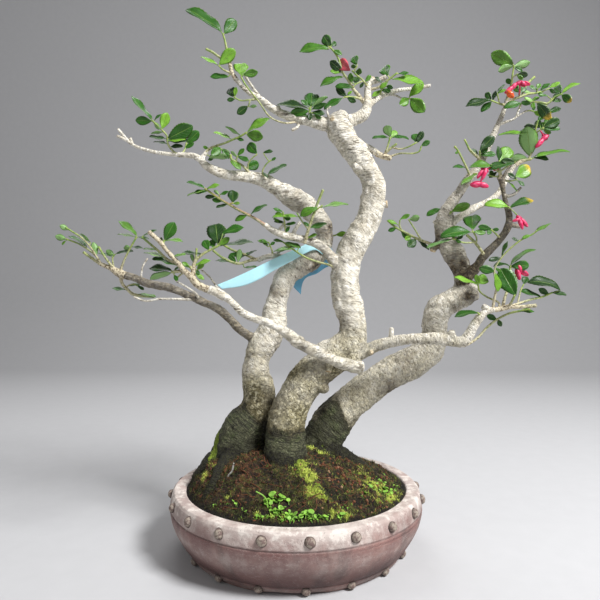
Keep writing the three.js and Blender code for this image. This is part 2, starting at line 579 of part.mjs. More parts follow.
      [[515.5, 165.5, 34.5, 5], [521, 161.5, 35, 4.6], [526, 160, 34, 3.4], [531, 159, 32, 3]],
      [[528.5, 160, 33, 2.6], [532.5, 150, 31, 2.2], [533.5, 140, 30, 2.2], [535.2, 131, 28, 2.2],
      [538, 120.5, 26, 2]],
      [[534.5, 134, 28.5, 1.7], [540, 130, 25, 1.5], [543.5, 127.5, 24, 1.5]],
    ],
    leaves: [
      [529, 159, 511.5, 157.5, 8, -1, 0.18], [531, 157, 528.5, 129.5, 14, -1],
      [532, 158.6, 570, 152, 3.4, 1, 0.1], [543, 127.5, 560, 120, 9, 1], [543.5, 128.5, 560, 129, 5, 1],
      [534.6, 134, 498, 135.6, 2.6, 1],
    ],
  },
  budPair: {
    stems: [[[506, 208, -22, 2.6], [509.5, 207.5, -27, 1.9]],
      [[509, 207.6, -26.5, 1.6], [513, 211, -31, 1.3], [517, 215, -32, 1.3]]],
    leaves: [
      [509, 207, 484, 205, 8, 1, 0.2], [509.8, 207.8, 534, 200.5, 7, 1, 0.16],
    ],
  },
  topShoot: {
    stems: [
      [[506.5, 102, 10, 3.6], [509, 91, 6, 2.4], [511.8, 82, 3, 2.1], [512.3, 76, 1, 1.9],
      [514, 66, -1, 1.8]],
      [[512.3, 77, 1, 1.6], [517.5, 74, -3, 1.4]],
    ],
    leaves: [
      [513.7, 65.5, 491, 54, 12.5, 1], [513.7, 66, 498, 71, 6.5, -1, 0.14],
      [514.3, 66, 530.5, 62.4, 7.5, -1, 0.12],
    ],
  },
  topLeftLeaves: {
    stems: [[[504, 105, 10, 3], [497.5, 103, 4, 1.9], [491.5, 100.5, 1, 1.7]],
      [[500, 104, 7, 1.6], [497, 93, 2, 1.4]]],
    leaves: [
      [491.5, 100.4, 465.5, 107, 7, 1, 0.18], [492, 101.2, 481, 112, 6, 1],
    ],
  },
  topRightSpray: {
    stems: [
      [[505.5, 105, 11, 3.8], [513, 99.5, 14, 3], [520, 97, 16, 2.6], [528, 94, 18, 2.2],
      [536, 93, 20, 2.1],
        [543, 91.5, 22, 1.9]],
      [[520, 97, 16, 2], [519.5, 92, 12, 1.8]],
      [[521, 96.5, 16, 2.2], [525, 88, 20, 2], [529, 82, 22, 2.4], [534.5, 77, 23, 2.5]],
      [[536, 93, 20, 1.6], [537.5, 88.5, 17, 1.5]],
      [[542, 91.6, 22, 1.6], [549, 88.5, 23, 1.5]],
    ],
    leaves: [],
  },
  lowerSpray: {
    stems: [
      [[519.5, 108.5, 1, 2.2], [521.5, 103.5, -1, 2], [531, 101.8, -3, 2.2], [541, 102.5, -5, 2.2],
        [547.5, 103.5, -6, 2.6], [555, 97, -8, 2], [561.5, 94, -10, 1.8]],
    ],
    leaves: [
      [561.8, 94, 580.5, 83.5, 4, 1, 0.2], [561.8, 94.5, 571, 101.5, 7, 1],
      [537, 102.5, 550, 119.5, 9.5, 1, 0.12], [522, 103.5, 503.5, 108.5, 6.5, 1, 0.22],
    ],
  },
  bentTwigLeaves: {
    stems: [[[525, 111.5, 4, 2], [529.5, 110.5, 6, 1.7], [534, 111.5, 8, 1.5]]],
    leaves: [],
  },
  frontRightEnd: {
    stems: [
      [[491.5, 310, -39, 6.2], [500, 309, -38, 5.6], [510, 306.5, -37, 6]],
      [[509, 307.6, -37, 4.6], [522, 306.8, -39, 4.2], [536, 305.5, -41, 4.2]],
      [[492, 309, -39, 3.4], [494.5, 298, -41, 2.7], [496.5, 287, -43, 2.5], [494.5, 270, -44, 1.9],
        [502.5, 256.5, -46, 1.9], [512, 247, -48, 1.9], [521, 240, -50, 1.8], [532, 234.5, -52, 1.7],
        [537, 231, -53, 1.5]],
      [[498, 308, -38, 2.6], [499, 303, -36, 2.2], [487, 297, -32, 2], [479.5, 291, -30, 1.8],
      [478, 284, -29, 1.8]],
      [[502.5, 307.5, -38, 3.6], [505, 297, -36, 3], [508, 288, -34, 2.6], [510, 275, -32, 2.2],
      [510, 266, -31, 2]],
      [[509, 305, -37.5, 3], [513, 299, -46, 2.4], [514.5, 295.5, -49, 2.2]],
      [[510, 306, -37, 3.2], [520, 303, -32, 2.6], [531, 299.5, -28, 2.3], [542, 297, -25, 2.2],
      [552.5, 292.5, -22, 1.9]],
      [[518, 303.5, -33, 1.9], [520.5, 291, -28, 1.6], [523.5, 284.5, -26, 1.5]],
      [[511, 267, -31, 1.6], [515, 268, -31, 1.4]],
    ],
    leaves: [
      [514.5, 295.5, 499, 270.5, 17, 1], [494.5, 270.5, 479, 267.6, 6, 1, 0.14],
      [494.4, 272, 499, 291, 4.5, 1], [478, 284.5, 454, 276.7, 3.8, 1, 0.14],
      [478, 284, 487.5, 275.5, 8, 1], [553, 292.5, 527, 282.5, 8.5, 1, 0.42],
      [541, 297, 519, 290.5, 4.4, 1, 0.14], [510, 266, 536, 249.5, 4.4, 1, 0.14],
      [510.5, 266, 527.5, 262, 9, 1, 0.2],
    ],
  },
  lowRightTwig: {
    stems: [
      [[464, 346, -38, 3], [471, 342.5, -32, 2.7], [478.5, 337, -29, 2.6], [487, 327.5, -28, 2.5],
        [497, 319.5, -29, 2.5], [509, 313.5, -31, 2.4], [520, 311, -33, 2.3], [530, 309.4, -35, 2.2]],
    ],
    leaves: [
      [518, 311.5, 534.5, 311.8, 4, 1], [497, 319.7, 486.5, 315, 5.5, 1],
    ],
  },
  frontRightLeaf: {
    stems: [[[481, 316, -39, 2.8], [477.5, 312.5, -46, 1.7]]],
    leaves: [
      [478, 312.5, 454.5, 317, 5, 1, 0.18],
    ],
  },
};

// Fruit capsules: lobes from u, v to u, v with a width, at a depth; stalk as u, v, depth from the shoot
const STALK_WIDTH = 1.5;
const FRUITS = {
  fruitTop: {
    stalk: [[519, 95, 14], [520, 88, 5], [519, 83, 2]],
    lobes: [
      [515.5, 84.5, 521.5, 81.5, 4.4, 2], [520.5, 82, 525, 85.5, 5, 1.5],
      [523, 82.4, 529.2, 84.5, 4.4, 2.5],
      [516, 83.8, 511.5, 88.5, 4.6, 1.5], [512.8, 87, 505.5, 92.5, 5.2, 1],
    ],
  },
  fruitMiddleRight: {
    stalk: [[540, 130, 25], [544.5, 137, 26.5]],
    lobes: [
      [548, 135.5, 540.5, 141.5, 5.4, 26], [543.5, 139, 536, 147, 5.2, 25], [543, 134.5, 546.5, 139, 5, 28],
    ],
  },
  fruitHanging: {
    stalk: [[494.5, 167, -33], [489, 168, -36], [486, 169, -37]],
    lobes: [
      [484, 168.5, 477.5, 178, 4.4, -38], [486.5, 168.5, 482, 179.5, 4.4, -40],
      [482, 168.5, 487.5, 171.5, 5, -38],
      [471.5, 184.5, 481.5, 184, 7, -39], [478.5, 184, 487.5, 186.5, 5.6, -40],
      [482, 177, 480.5, 183, 2.2, -40],
    ],
  },
  fruitSmall: {
    stalk: [[499.5, 173, -29], [497.5, 170.5, -24]],
    lobes: [[498.5, 167.5, 494.5, 169.5, 5, -24]],
  },
  fruitBelow: {
    stalk: [[517, 215, -32], [518.5, 218, -32]],
    lobes: [
      [518.5, 217.5, 522.5, 229, 4.6, -33], [520, 218, 527.5, 226.5, 4.6, -31],
      [519.5, 219, 513, 221, 3.4, -33],
      [517, 217, 521.5, 219.5, 5, -31],
    ],
  },
  fruitFrontRight: {
    stalk: [[515, 268, -31], [517, 268, -31]],
    lobes: [
      [518, 265, 520.5, 272, 6.5, -31], [516.5, 268.5, 519.5, 279, 5.6, -32],
      [520, 270, 527.5, 275, 5.6, -30],
    ],
  },
};
const ARIL = { from: [508, 92, 512.5, 96.5], width: 6.2, depth: -3 };
const RED_LEAF = [350.5, 70.5, 337, 60.5, 10.5, 1];

// Label strip: its two edges, then the depth; it passes over the left trunk, turns behind it and hangs
const TAG_THICKNESS = 0.7;
const TAG_EDGES = [
  [217, 285, 222, 289, -11], [238, 276, 243, 286, -10], [255, 268, 259, 279.5, -9],
  [273, 259, 275, 270, -5.8], [291, 251, 293, 260.5, -1.5], [302, 246, 306, 253, 5.1],
  [311, 242.5, 315, 250, 9.1],
  [321, 243.5, 322, 254, 11.1], [331, 248.5, 329, 259, 19.1], [334, 254, 331, 262.5, 29],
  [331, 256.5, 330, 265.5, 38], [322, 259.5, 325, 268, 43], [313, 264.5, 317, 273.5, 43],
  [302, 270.5, 306, 278, 42], [297, 278.5, 302, 285, 40], [293.6, 287, 300.8, 294.5, 38],
];

// Loose end of the anchor wire that ties the root base down, as x, y, z along it
const WIRE_RADIUS = 1;
const WIRE_PATH = [[-76, -60, 82], [-75.5, -62, 92], [-74, -64, 99], [-70, -64, 104], [-68.7, -63, 112.5]];

// Weeds on the soil: u, v and the size of their round leaves
const WEEDS = [
  [258, 494, 6], [250, 500, 5], [262, 504, 6], [246, 511, 5], [262, 516, 5],
  [280, 518, 5], [298, 519, 5], [316, 519, 5], [382, 484, 5],
  [371, 512, 5], [393, 494, 4],
];

// Geometry helpers
function toManifold(geometry) {
  const bare = geometry.clone();
  bare.deleteAttribute('normal');
  bare.deleteAttribute('uv');
  const merged = mergeVertices(bare, 1e-5);
  const mesh = new wasm.Mesh({
    numProp: 3,
    vertProperties: new Float32Array(merged.attributes.position.array),
    triVerts: new Uint32Array(merged.index.array),
  });
  return new wasm.Manifold(mesh);
}

function toGeometry(solid) {
  const mesh = solid.getMesh();
  const geometry = new THREE.BufferGeometry();
  geometry.setAttribute('position', new THREE.BufferAttribute(new Float32Array(mesh.vertProperties), 3));
  geometry.setIndex(new THREE.BufferAttribute(new Uint32Array(mesh.triVerts), 1));
  geometry.computeVertexNormals();
  return geometry;
}

function surface(points, faces) {
  const positions = points.flatMap((p) => [p.x, p.y, p.z]);
  const geometry = new THREE.BufferGeometry();
  geometry.setAttribute('position', new THREE.Float32BufferAttribute(positions, 3));
  geometry.setIndex(faces.flat());
  return geometry;
}

function joined(solids) {
  return solids.reduce((whole, solid) => whole.add(solid));
}

function boxesMeet(a, b) {
  const first = a.boundingBox();
  const second = b.boundingBox();
  return [0, 1, 2].every((i) => first.min[i] < second.max[i] && second.min[i] < first.max[i]);
}

function largestPart(solid) {
  const parts = solid.decompose();
  return parts.reduce((best, part) => (part.volume() > best.volume() ? part : best));
}

// A round tube through centres with a radius at each; the ends are flat cuts
function tube(centres, radii, sides, grow = 0) {
  const last = centres.length - 1;
  const path = centres.map((p) => p.clone());
  path[0].addScaledVector(path[0].clone().sub(path[1]).normalize(), grow);
  path[last].addScaledVector(path[last].clone().sub(path[last - 1]).normalize(), grow);
  const points = [];
  let across = new THREE.Vector3(0, 1, 0);
  path.forEach((centre, i) => {
    const before = path[Math.max(i - 1, 0)];
    const after = path[Math.min(i + 1, last)];
    const along = after.clone().sub(before).normalize();
    if (Math.abs(along.dot(across)) > 0.95) {
      across = new THREE.Vector3(1, 0, 0);
    }
    across = across.clone().addScaledVector(along, -along.dot(across)).normalize();
    const third = along.clone().cross(across);
    for (let k = 0; k < sides; k += 1) {
      const angle = (2 * Math.PI * (k + 0.5)) / sides;
      const spoke = across.clone().multiplyScalar(Math.cos(angle)).addScaledVector(third, Math.sin(angle));
      points.push(centre.clone().addScaledVector(spoke, radii[i] + grow));
    }
  });
  const faces = [];
  for (let i = 0; i < last; i += 1) {
    for (let k = 0; k < sides; k += 1) {
      const a = i * sides + k;
      const b = i * sides + ((k + 1) % sides);
      faces.push([a, b, b + sides], [a, b + sides, a + sides]);
    }
  }
  for (let k = 1; k < sides - 1; k += 1) {
    faces.push([0, k + 1, k], [last * sides, last * sides + k, last * sides + k + 1]);
  }
  return toManifold(surface(points, faces));
}

// How far a row strays from the straight stem between two others, in pixels
function strayFrom(first, last, row) {
  const run = [last[0] - first[0], last[1] - first[1]];
  const share = ((row[0] - first[0]) * run[0] + (row[1] - first[1]) * run[1]) / (run[0] ** 2 + run[1] ** 2);
  const t = THREE.MathUtils.clamp(share, 0, 1);
  const off = row.map((value, i) => value - first[i] - t * (last[i] - first[i]));
  return Math.hypot(off[0], off[1], off[2], off[3] / 2);
}

// The rows a stem needs to keep within the slack of all of them
function essential(rows, slack) {
  const first = rows[0];
  const last = rows.at(-1);
  const strays = rows.slice(1, -1).map((row) => strayFrom(first, last, row));
  const worst = Math.max(0, ...strays);
  if (worst < slack) {
    return [first, last];
  }
  const turn = strays.indexOf(worst) + 1;
  return [...essential(rows.slice(0, turn + 1), slack).slice(0, -1), ...essential(rows.slice(turn), slack)];
}

function limb(rows, sides, grow = 0) {
  const centres = rows.map(([u, v, depth]) => sight(u, v, depth));
  const radii = rows.map(([, , depth, width]) => pixelsToLength(width, depth) / 2);
  return tube(centres, radii, sides, grow);
}

function rootTube(rows, grow = 0) {
  const centres = rows.map(([x, y, z]) => new THREE.Vector3(x, y, z));
  return tube(centres, rows.map((row) => row[3]), ROOT_SIDES, grow);
}

function limbSides(rows) {
  const widest = Math.max(...rows.map((row) => row[3]));
  if (widest > 20) {
    return 7;
  }
  if (widest > 11) {
    return 6;
  }
  if (widest > 6.5) {
    return 5;
  }
  return widest > 3.4 ? 4 : 3;
}

// The point of a shoot's stems nearest to a reading, as u, v, depth and width, kept off the stems' ends
function nearestOnStems(stems, u, v) {
  let best = null;
  stems.forEach((rows) => {
    for (let i = 0; i < rows.length - 1; i += 1) {
      const [u0, v0] = rows[i];
      const [u1, v1] = rows[i + 1];
      const span = Math.hypot(u1 - u0, v1 - v0);
      const inset = Math.min(END_INSET / span, 0.5);
      const lowest = i === 0 ? inset : 0;
      const highest = i === rows.length - 2 ? 1 - inset : 1;
      const share = ((u - u0) * (u1 - u0) + (v - v0) * (v1 - v0)) / span ** 2;
      const t = THREE.MathUtils.clamp(share, lowest, highest);
      const at = rows[i].map((value, k) => value + t * (rows[i + 1][k] - value));
      const distance = Math.hypot(at[0] - u, at[1] - v);
      if (best === null || distance < best.distance) {
        best = { distance, at };
      }
    }
  });
  return best.at;
}

// Axis, side and upper normal of a blade from how it is seen
function bladeFrame(base, tipSeen, widthSeen, face) {
  const view = base.clone().sub(EYE).normalize();
  const seen = tipSeen.clone().sub(base);
  const seenLength = seen.length();
  const length = Math.max(seenLength, LEAF_LENGTH_TO_WIDTH * widthSeen);
  const upward = seen.z * face >= 0 ? 1 : -1;
  const lean = upward * Math.sqrt(length * length - seenLength * seenLength);
  const axis = seen.clone().addScaledVector(view, lean).normalize();
  const width = Math.max(widthSeen, length / LEAF_MOST_SLENDER);
  const roll = Math.acos(THREE.MathUtils.clamp(widthSeen / width, 0.15, 1));
  const facing = view.clone().negate();
  facing.addScaledVector(axis, -axis.dot(facing)).normalize().multiplyScalar(face);
  const side = axis.clone().cross(facing);
  const normals = [1, -1].map((sign) => {
    const tilted = facing.clone().multiplyScalar(Math.cos(roll));
    return tilted.addScaledVector(side, sign * Math.sin(roll));
  });
  const normal = normals[0].z > normals[1].z ? normals[0] : normals[1];
  return { length, width, axis, normal, side: axis.clone().cross(normal) };
}

// Half width of a leaf along its midrib, broadest just past the middle
function halfWidth(t) {
  return 0.5 * Math.sin(Math.PI * t ** 1.15) ** 0.85;
}

function bladeStations(length) {
  if (length > PLATE_LENGTH) {
    return 4;
  }
  return length < SHORT_LENGTH ? 2 : 3;
}

// A leaf blade: an arched midrib and two halves folded up along it. A short blade thins to its edge;
// a long one is a plate of even thickness with a toothed edge
function blade(base, frame, arch, grow = 0) {
  const { length, width, axis, normal, side } = frame;
  const stations = bladeStations(length);
  const isPlate = length > PLATE_LENGTH;
  const tall = (isPlate ? LEAF_THICKNESS : LEAF_RIB_THICKNESS) / 2 + grow;
  const at = (t, across) => {
    const spread = across * halfWidth(t) * (width + 2 * grow);
    const tooth = isPlate ? 1 + LEAF_TOOTH * Math.cos(stations * Math.PI * t) : 1;
    const rise = arch * length * 4 * t * (1 - t) + LEAF_FOLD * Math.abs(spread);
    return base.clone()
      .addScaledVector(axis, t * (length + grow))
      .addScaledVector(side, spread * tooth)
      .addScaledVector(normal, rise);
  };
  const points = [];
  const addPoint = (t, across) => {
    const isThick = isPlate || (across === 0 && t > 0 && t < 1);
    const centre = at(t, across);
    const lift = isThick || grow > 0 ? tall : 0;
    points.push(centre.clone().addScaledVector(normal, lift));
    if (lift === 0) {
      return [points.length - 1, points.length - 1];
    }
    points.push(centre.clone().addScaledVector(normal, -lift));
    return [points.length - 2, points.length - 1];
  };
  const rows = [];
  for (let i = 0; i <= stations; i += 1) {
    const t = i / stations;
    const isPoint = i === 0 || i === stations;
    const row = (isPoint ? [0] : [-1, 0, 1]).map((across) => addPoint(t, across));
    rows.push(isPoint ? [row[0], row[0], row[0]] : row);
  }
  const faces = [];
  const addFace = (a, b, c) => {
    if (a !== b && b !== c && a !== c) {
      faces.push([a, b, c]);
    }
  };
  const panel = (a, b, c) => {
    addFace(a[0], b[0], c[0]);
    addFace(a[1], c[1], b[1]);
  };
  for (let i = 0; i < stations; i += 1) {
    const near = rows[i];
    const far = rows[i + 1];
    for (let k = 0; k < 2; k += 1) {
      panel(near[k], near[k + 1], far[k + 1]);
      panel(near[k], far[k + 1], far[k]);
    }
    addFace(near[0][0], far[0][0], far[0][1]);
    addFace(near[0][0], far[0][1], near[0][1]);
    addFace(near[2][0], far[2][1], far[2][0]);
    addFace(near[2][0], near[2][1], far[2][1]);
  }
  return toManifold(surface(points, faces));
}

function leaf(stems, row, grow = 0) {
  const [u, v, tipU, tipV, widthPixels, face, arch = LEAF_ARCH] = row;
  const at = nearestOnStems(stems, u, v);
  const depth = at[2];
  const onStem = sight(at[0], at[1], depth);
  const base = sight(u, v, depth);
  const frame = bladeFrame(base, sight(tipU, tipV, depth), pixelsToLength(widthPixels, depth), face);
  const reach = base.distanceTo(onStem);
  const stemRadius = pixelsToLength(at[3], depth) / 2;
  if (reach < stemRadius + PETIOLE_RADIUS) {
    return [blade(onStem, frame, arch, grow)];
  }
  const outward = base.clone().sub(onStem).divideScalar(reach);
  return [
    tube([onStem, base], [PETIOLE_RADIUS, PETIOLE_RADIUS], 3, grow),
    blade(base.clone().addScaledVector(outward, -PETIOLE_OVERLAP), frame, arch, grow),
  ];
}

function stemSides(width) {
  if (width > 6) {
    return 5;
  }
  return width < 3.3 ? 3 : 4;
}

// Side stems start on the stems before them, at their depth
function branched(stems) {
  return stems.reduce((grown, rows) => {
    if (grown.length === 0) {
      return [rows];
    }
    const [[u, v, , width], ...rest] = rows;
    const [onStemU, onStemV, depth] = nearestOnStems(grown, u, v);
    return [...grown, [[onStemU, onStemV, depth, width], ...rest]];
  }, []);
}

function shoot({ stems, leaves }, grow = 0) {
  const grown = branched(stems.map((rows) => essential(rows, STEM_SLACK)));
  const twigs = grown.map((rows) => limb(rows, stemSides(rows[0][3]), grow));
  const blades = leaves.flatMap((row) => leaf(grown, row, grow));
  return joined([...twigs, ...blades]);
}

// A capsule lobe: an egg between two readings
function lobe([u0, v0, u1, v1, widthPixels, depth], grow = 0) {
  const from = sight(u0, v0, depth);
  const to = sight(u1, v1, depth);
  const geometry = new THREE.SphereGeometry(1, 5, 3);
  const across = pixelsToLength(widthPixels, depth) / 2 + grow;
  geometry.scale(across, from.distanceTo(to) / 2 + 0.7 * across + grow, across);
  const turn = new THREE.Quaternion().setFromUnitVectors(
    new THREE.Vector3(0, 1, 0),
    to.clone().sub(from).normalize(),
  );
  geometry.applyQuaternion(turn);
  const centre = from.add(to).multiplyScalar(0.5);
  geometry.translate(centre.x, centre.y, centre.z);
  return toManifold(geometry);
}

function fruit({ stalk, lobes }, grow = 0) {
  const stem = limb(stalk.map(([u, v, depth]) => [u, v, depth, STALK_WIDTH]), 3, grow);
  return joined([stem, ...lobes.map((row) => lobe(row, grow))]);
}

// Pot: turned shell with two incised grooves, rounded rivets, shallow feet and two drain holes
function potOuterRadius(z) {
  if (z < LOWER_GROOVE_HEIGHT) {
    return FOOT_OUTER_RADIUS + (BAND_RADIUS - FOOT_OUTER_RADIUS) * (z / LOWER_GROOVE_HEIGHT);
  }
  if (z < BELLY_HEIGHT) {
    const down = (BELLY_HEIGHT - z) / (BELLY_HEIGHT - LOWER_GROOVE_HEIGHT);
    return POT_RADIUS - (POT_RADIUS - BAND_RADIUS) * down ** BELLY_POWER;
  }
  const up = (z - BELLY_HEIGHT) / (RIM_TOP - BELLY_HEIGHT);
  return POT_RADIUS - (POT_RADIUS - RIM_OUTER_RADIUS) * up ** SHOULDER_POWER;
}

function grooveAt(height) {
  return [
    [potOuterRadius(height - GROOVE_HALF_HEIGHT), height - GROOVE_HALF_HEIGHT],
    [potOuterRadius(height) - GROOVE_DEPTH, height],
    [potOuterRadius(height + GROOVE_HALF_HEIGHT), height + GROOVE_HALF_HEIGHT],
  ];
}

function shellProfile() {
  const profile = [
    [0, FLOOR_BOTTOM],
    [potOuterRadius(FLOOR_BOTTOM), FLOOR_BOTTOM],
    ...grooveAt(LOWER_GROOVE_HEIGHT),
    ...WALL_HEIGHTS.map((z) => [potOuterRadius(z), z]),
    ...grooveAt(UPPER_GROOVE_HEIGHT),
    [RIM_OUTER_RADIUS, RIM_TOP - RIM_EDGE],
    [RIM_OUTER_RADIUS - RIM_EDGE, RIM_TOP],
    [LIP_RADIUS + RIM_EDGE, RIM_TOP],
    [LIP_RADIUS, RIM_TOP - RIM_EDGE],
    ...HOLLOW,
    [0, FLOOR_TOP],
  ];
  return profile.map(([radius, z]) => new THREE.Vector2(radius, z));
}

// LatheGeometry turns about Y: stand it up on Z, with a facet behind each upper rivet
function lathe(profile, sides) {
  const geometry = new THREE.LatheGeometry(profile, sides);
  geometry.rotateX(Math.PI / 2);
  geometry.rotateZ(THREE.MathUtils.degToRad(UPPER_RIVET.phase + 180 / sides));
  return toManifold(geometry);
}

function rivet({ height, radius, phase, sides }, index) {
  const angle = THREE.MathUtils.degToRad(phase + (360 / RIVET_COUNT) * index);
  const slope = Math.atan((potOuterRadius(height + 1) - potOuterRadius(height - 1)) / 2);
  const geometry = new THREE.CylinderGeometry(RIVET_TOP_SHARE * radius, radius, radius, sides);
  geometry.rotateX(Math.PI + slope);
  geometry.rotateZ(angle);
  const reach = potOuterRadius(height) - 0.4;
  geometry.translate(Math.sin(angle) * reach, -Math.cos(angle) * reach, height);
  return toManifold(geometry);
}

function potFoot(middleDegrees) {
  const from = THREE.MathUtils.degToRad(middleDegrees - FOOT_HALF_ANGLE);
  const to = THREE.MathUtils.degToRad(middleDegrees + FOOT_HALF_ANGLE);
  const shape = new THREE.Shape();
  shape.absarc(0, 0, FOOT_OUTER_RADIUS, from, to, false);
  shape.absarc(0, 0, FOOT_INNER_RADIUS, to, from, true);
  const options = { depth: FLOOR_BOTTOM + 1, bevelEnabled: false, curveSegments: 4 };
  return toManifold(new THREE.ExtrudeGeometry(shape, options));
}

function drainPlug(x) {
  const geometry = new THREE.CylinderGeometry(DRAIN_RADIUS, DRAIN_RADIUS, 4 * FLOOR_TOP, 12);
  geometry.rotateX(Math.PI / 2);
  geometry.translate(x, 0, 0);
  return toManifold(geometry);
}

function makePot() {
  let solid = lathe(shellProfile(), POT_SIDES);
  FOOT_MIDDLES.forEach((middle) => {
    solid = solid.add(potFoot(middle));
  });
  for (let i = 0; i < RIVET_COUNT; i += 1) {
    solid = solid.add(rivet(UPPER_RIVET, i)).add(rivet(LOWER_RIVET, i));
  }
  return solid.subtract(drainPlug(-DRAIN_OFFSET)).subtract(drainPlug(DRAIN_OFFSET));
}

// Plastic netting over a drain hole
function makeDrainMesh(x) {
  const middle = FLOOR_TOP + GAP + MESH_THICKNESS / 2;
  const plate = new THREE.BoxGeometry(MESH_SIDE, MESH_SIDE, MESH_THICKNESS);
  plate.translate(x, 0, middle);
  let net = toManifold(plate);
  const opening = MESH_CELL - MESH_BAR;
  [-0.5, 0.5].forEach((i) => {
    [-0.5, 0.5].forEach((k) => {
      const hole = new THREE.BoxGeometry(opening, opening, 2 * MESH_THICKNESS);
      hole.translate(x + i * MESH_CELL, k * MESH_CELL, middle);
      net = net.subtract(toManifold(hole));
    });
  });
  return net;
}

// The hollow in the soil's underside that the netting lies in
function meshRecess(x) {
  const side = MESH_SIDE + 2 * GAP;
  const height = 2 * (MESH_THICKNESS + 2 * GAP);
  const geometry = new THREE.BoxGeometry(side, side, height);
  geometry.translate(x, 0, FLOOR_TOP);
  return toManifold(geometry);
}

// Height of the mound: from the mound's centre (share 0) to the lip (share 1)
function moundHeight(share, angle) {
  const bumps = Math.sin(3 * angle + 1) + 0.7 * Math.sin(5 * angle + 9 * share);
  const lumps = MOUND_LUMP * Math.sin(Math.PI * share) * bumps;
  const power = MOUND_POWER + MOUND_LEFT_FULLNESS * Math.max(0, -Math.sin(angle));
  return SOIL_EDGE + (MOUND_TOP - SOIL_EDGE) * (1 - share ** power) + lumps;
}

function moundPoint(share, angle) {
  const lip = LIP_RADIUS - GAP - 0.6;
  const x = MOUND_CENTRE[0] * (1 - share) + Math.sin(angle) * lip * share;
  const y = MOUND_CENTRE[1] * (1 - share) - Math.cos(angle) * lip * share;
  return new THREE.Vector3(x, y, moundHeight(share, angle));
}

function soilBody() {
  const points = [moundPoint(0, 0)];
  const sectors = Array.from({ length: SOIL_SECTORS }, (_, k) => (2 * Math.PI * k) / SOIL_SECTORS);
  for (let i = 1; i <= SOIL_RINGS; i += 1) {
    points.push(...sectors.map((angle) => moundPoint(i / SOIL_RINGS, angle)));
  }
  SKIRT.forEach(([radius, z]) => {
    sectors.forEach((angle) => {
      points.push(new THREE.Vector3(Math.sin(angle) * radius, -Math.cos(angle) * radius, z));
    });
  });
  points.push(new THREE.Vector3(0, 0, FLOOR_TOP + GAP));
  const ring = (i) => 1 + i * SOIL_SECTORS;
  const rings = SOIL_RINGS + SKIRT.length;
  const faces = [];
  for (let k = 0; k < SOIL_SECTORS; k += 1) {
    const next = (k + 1) % SOIL_SECTORS;
    faces.push([0, ring(0) + k, ring(0) + next]);
    for (let i = 0; i < rings - 1; i += 1) {
      faces.push([ring(i) + k, ring(i + 1) + next, ring(i) + next]);
      faces.push([ring(i) + k, ring(i + 1) + k, ring(i + 1) + next]);
    }
    faces.push([points.length - 1, ring(rings - 1) + next, ring(rings - 1) + k]);
  }
  return toManifold(surface(points, faces));
}

// Height of the mound over a place: the share of the way from its centre to the lip comes first
function groundAt(x, y) {
  const [cx, cy] = MOUND_CENTRE;
  const from = [x - cx, y - cy];
  const lean = from[0] * cx + from[1] * cy;
  const open = LIP_RADIUS ** 2 - cx ** 2 - cy ** 2;
  const share = (lean + Math.sqrt(lean ** 2 + open * (from[0] ** 2 + from[1] ** 2))) / open;
  return moundHeight(share, Math.atan2(x - cx * (1 - share), cy * (1 - share) - y));
}

// The place on the mound that a reading shows: where its line of sight comes down to the soil
function seenOnMound(u, v) {
  let near = -LIP_RADIUS;
  let far = 0;
  for (let i = 0; i < SIGHT_STEPS; i += 1) {
    const depth = (near + far) / 2;
    const point = sight(u, v, depth);
    if (point.z > groundAt(point.x, point.y)) {
      near = depth;
    } else {
      far = depth;
    }
  }
  return sight(u, v, near);
}

// A weed: low round leaves on the soil
function weed([u, v, size]) {
  const at = seenOnMound(u, v);
  return Array.from({ length: WEED_LEAF_COUNT }, (_, i) => {
    const angle = (2 * Math.PI * i) / WEED_LEAF_COUNT + u;
    const reach = 0.5 * size;
    const geometry = new THREE.OctahedronGeometry(0.75 * size);
    geometry.scale(1, 1, WEED_LEAF_FLATNESS);
    geometry.rotateZ(angle);
    geometry.translate(reach * Math.cos(angle), reach * Math.sin(angle), i - WEED_SUNK);
    geometry.translate(at.x, at.y, at.z);
    return toManifold(geometry);
  });
}

function makeTag(grow = 0) {
  const points = [];
  const faces = [];
  const edges = TAG_EDGES.map(([u0, v0, u1, v1, depth]) => [sight(u0, v0, depth), sight(u1, v1, depth)]);
  edges.forEach(([upper, lower], i) => {
    const before = edges[Math.max(i - 1, 0)];
    const after = edges[Math.min(i + 1, edges.length - 1)];
    const along = after[0].clone().add(after[1]).sub(before[0]).sub(before[1]).normalize();
    const normal = along.cross(upper.clone().sub(lower)).normalize();
    normal.multiplyScalar(TAG_THICKNESS / 2 + grow);
    const rim = upper.clone().sub(lower).normalize().multiplyScalar(grow);
    points.push(upper.clone().add(normal).add(rim), upper.clone().sub(normal).add(rim));
    points.push(lower.clone().sub(normal).sub(rim), lower.clone().add(normal).sub(rim));
  });
  const last = 4 * (edges.length - 1);
  for (let i = 0; i < last; i += 4) {
    for (let k = 0; k < 4; k += 1) {
      const a = i + k;
      const b = i + ((k + 1) % 4);
      faces.push([a, b + 4, b], [a, a + 4, b + 4]);
    }
  }
  faces.push([0, 1, 2], [0, 2, 3], [last, last + 2, last + 1], [last, last + 3, last + 2]);
  return toManifold(surface(points, faces));
}

function makeWire(grow = 0) {
  const centres = WIRE_PATH.map(([x, y, z]) => new THREE.Vector3(x, y, z));
  return tube(centres, WIRE_PATH.map(() => WIRE_RADIUS), 6, grow);
}

function wood(grow = 0) {
  const limbs = [...Object.values(LIMBS), ...Object.values(BARE_TWIGS)];
  const above = limbs.map((rows) => limb(essential(rows, LIMB_SLACK), limbSides(rows), grow));
  const below = Object.values(ROOTS).map((rows) => rootTube(rows, grow));
  return joined([...above, ...below]);
}

function redLeaf(grow = 0) {
  const stems = SHOOTS.crownSide.stems.map((rows) => essential(rows, STEM_SLACK));
  return leaf(branched(stems), RED_LEAF, grow).at(-1);
}

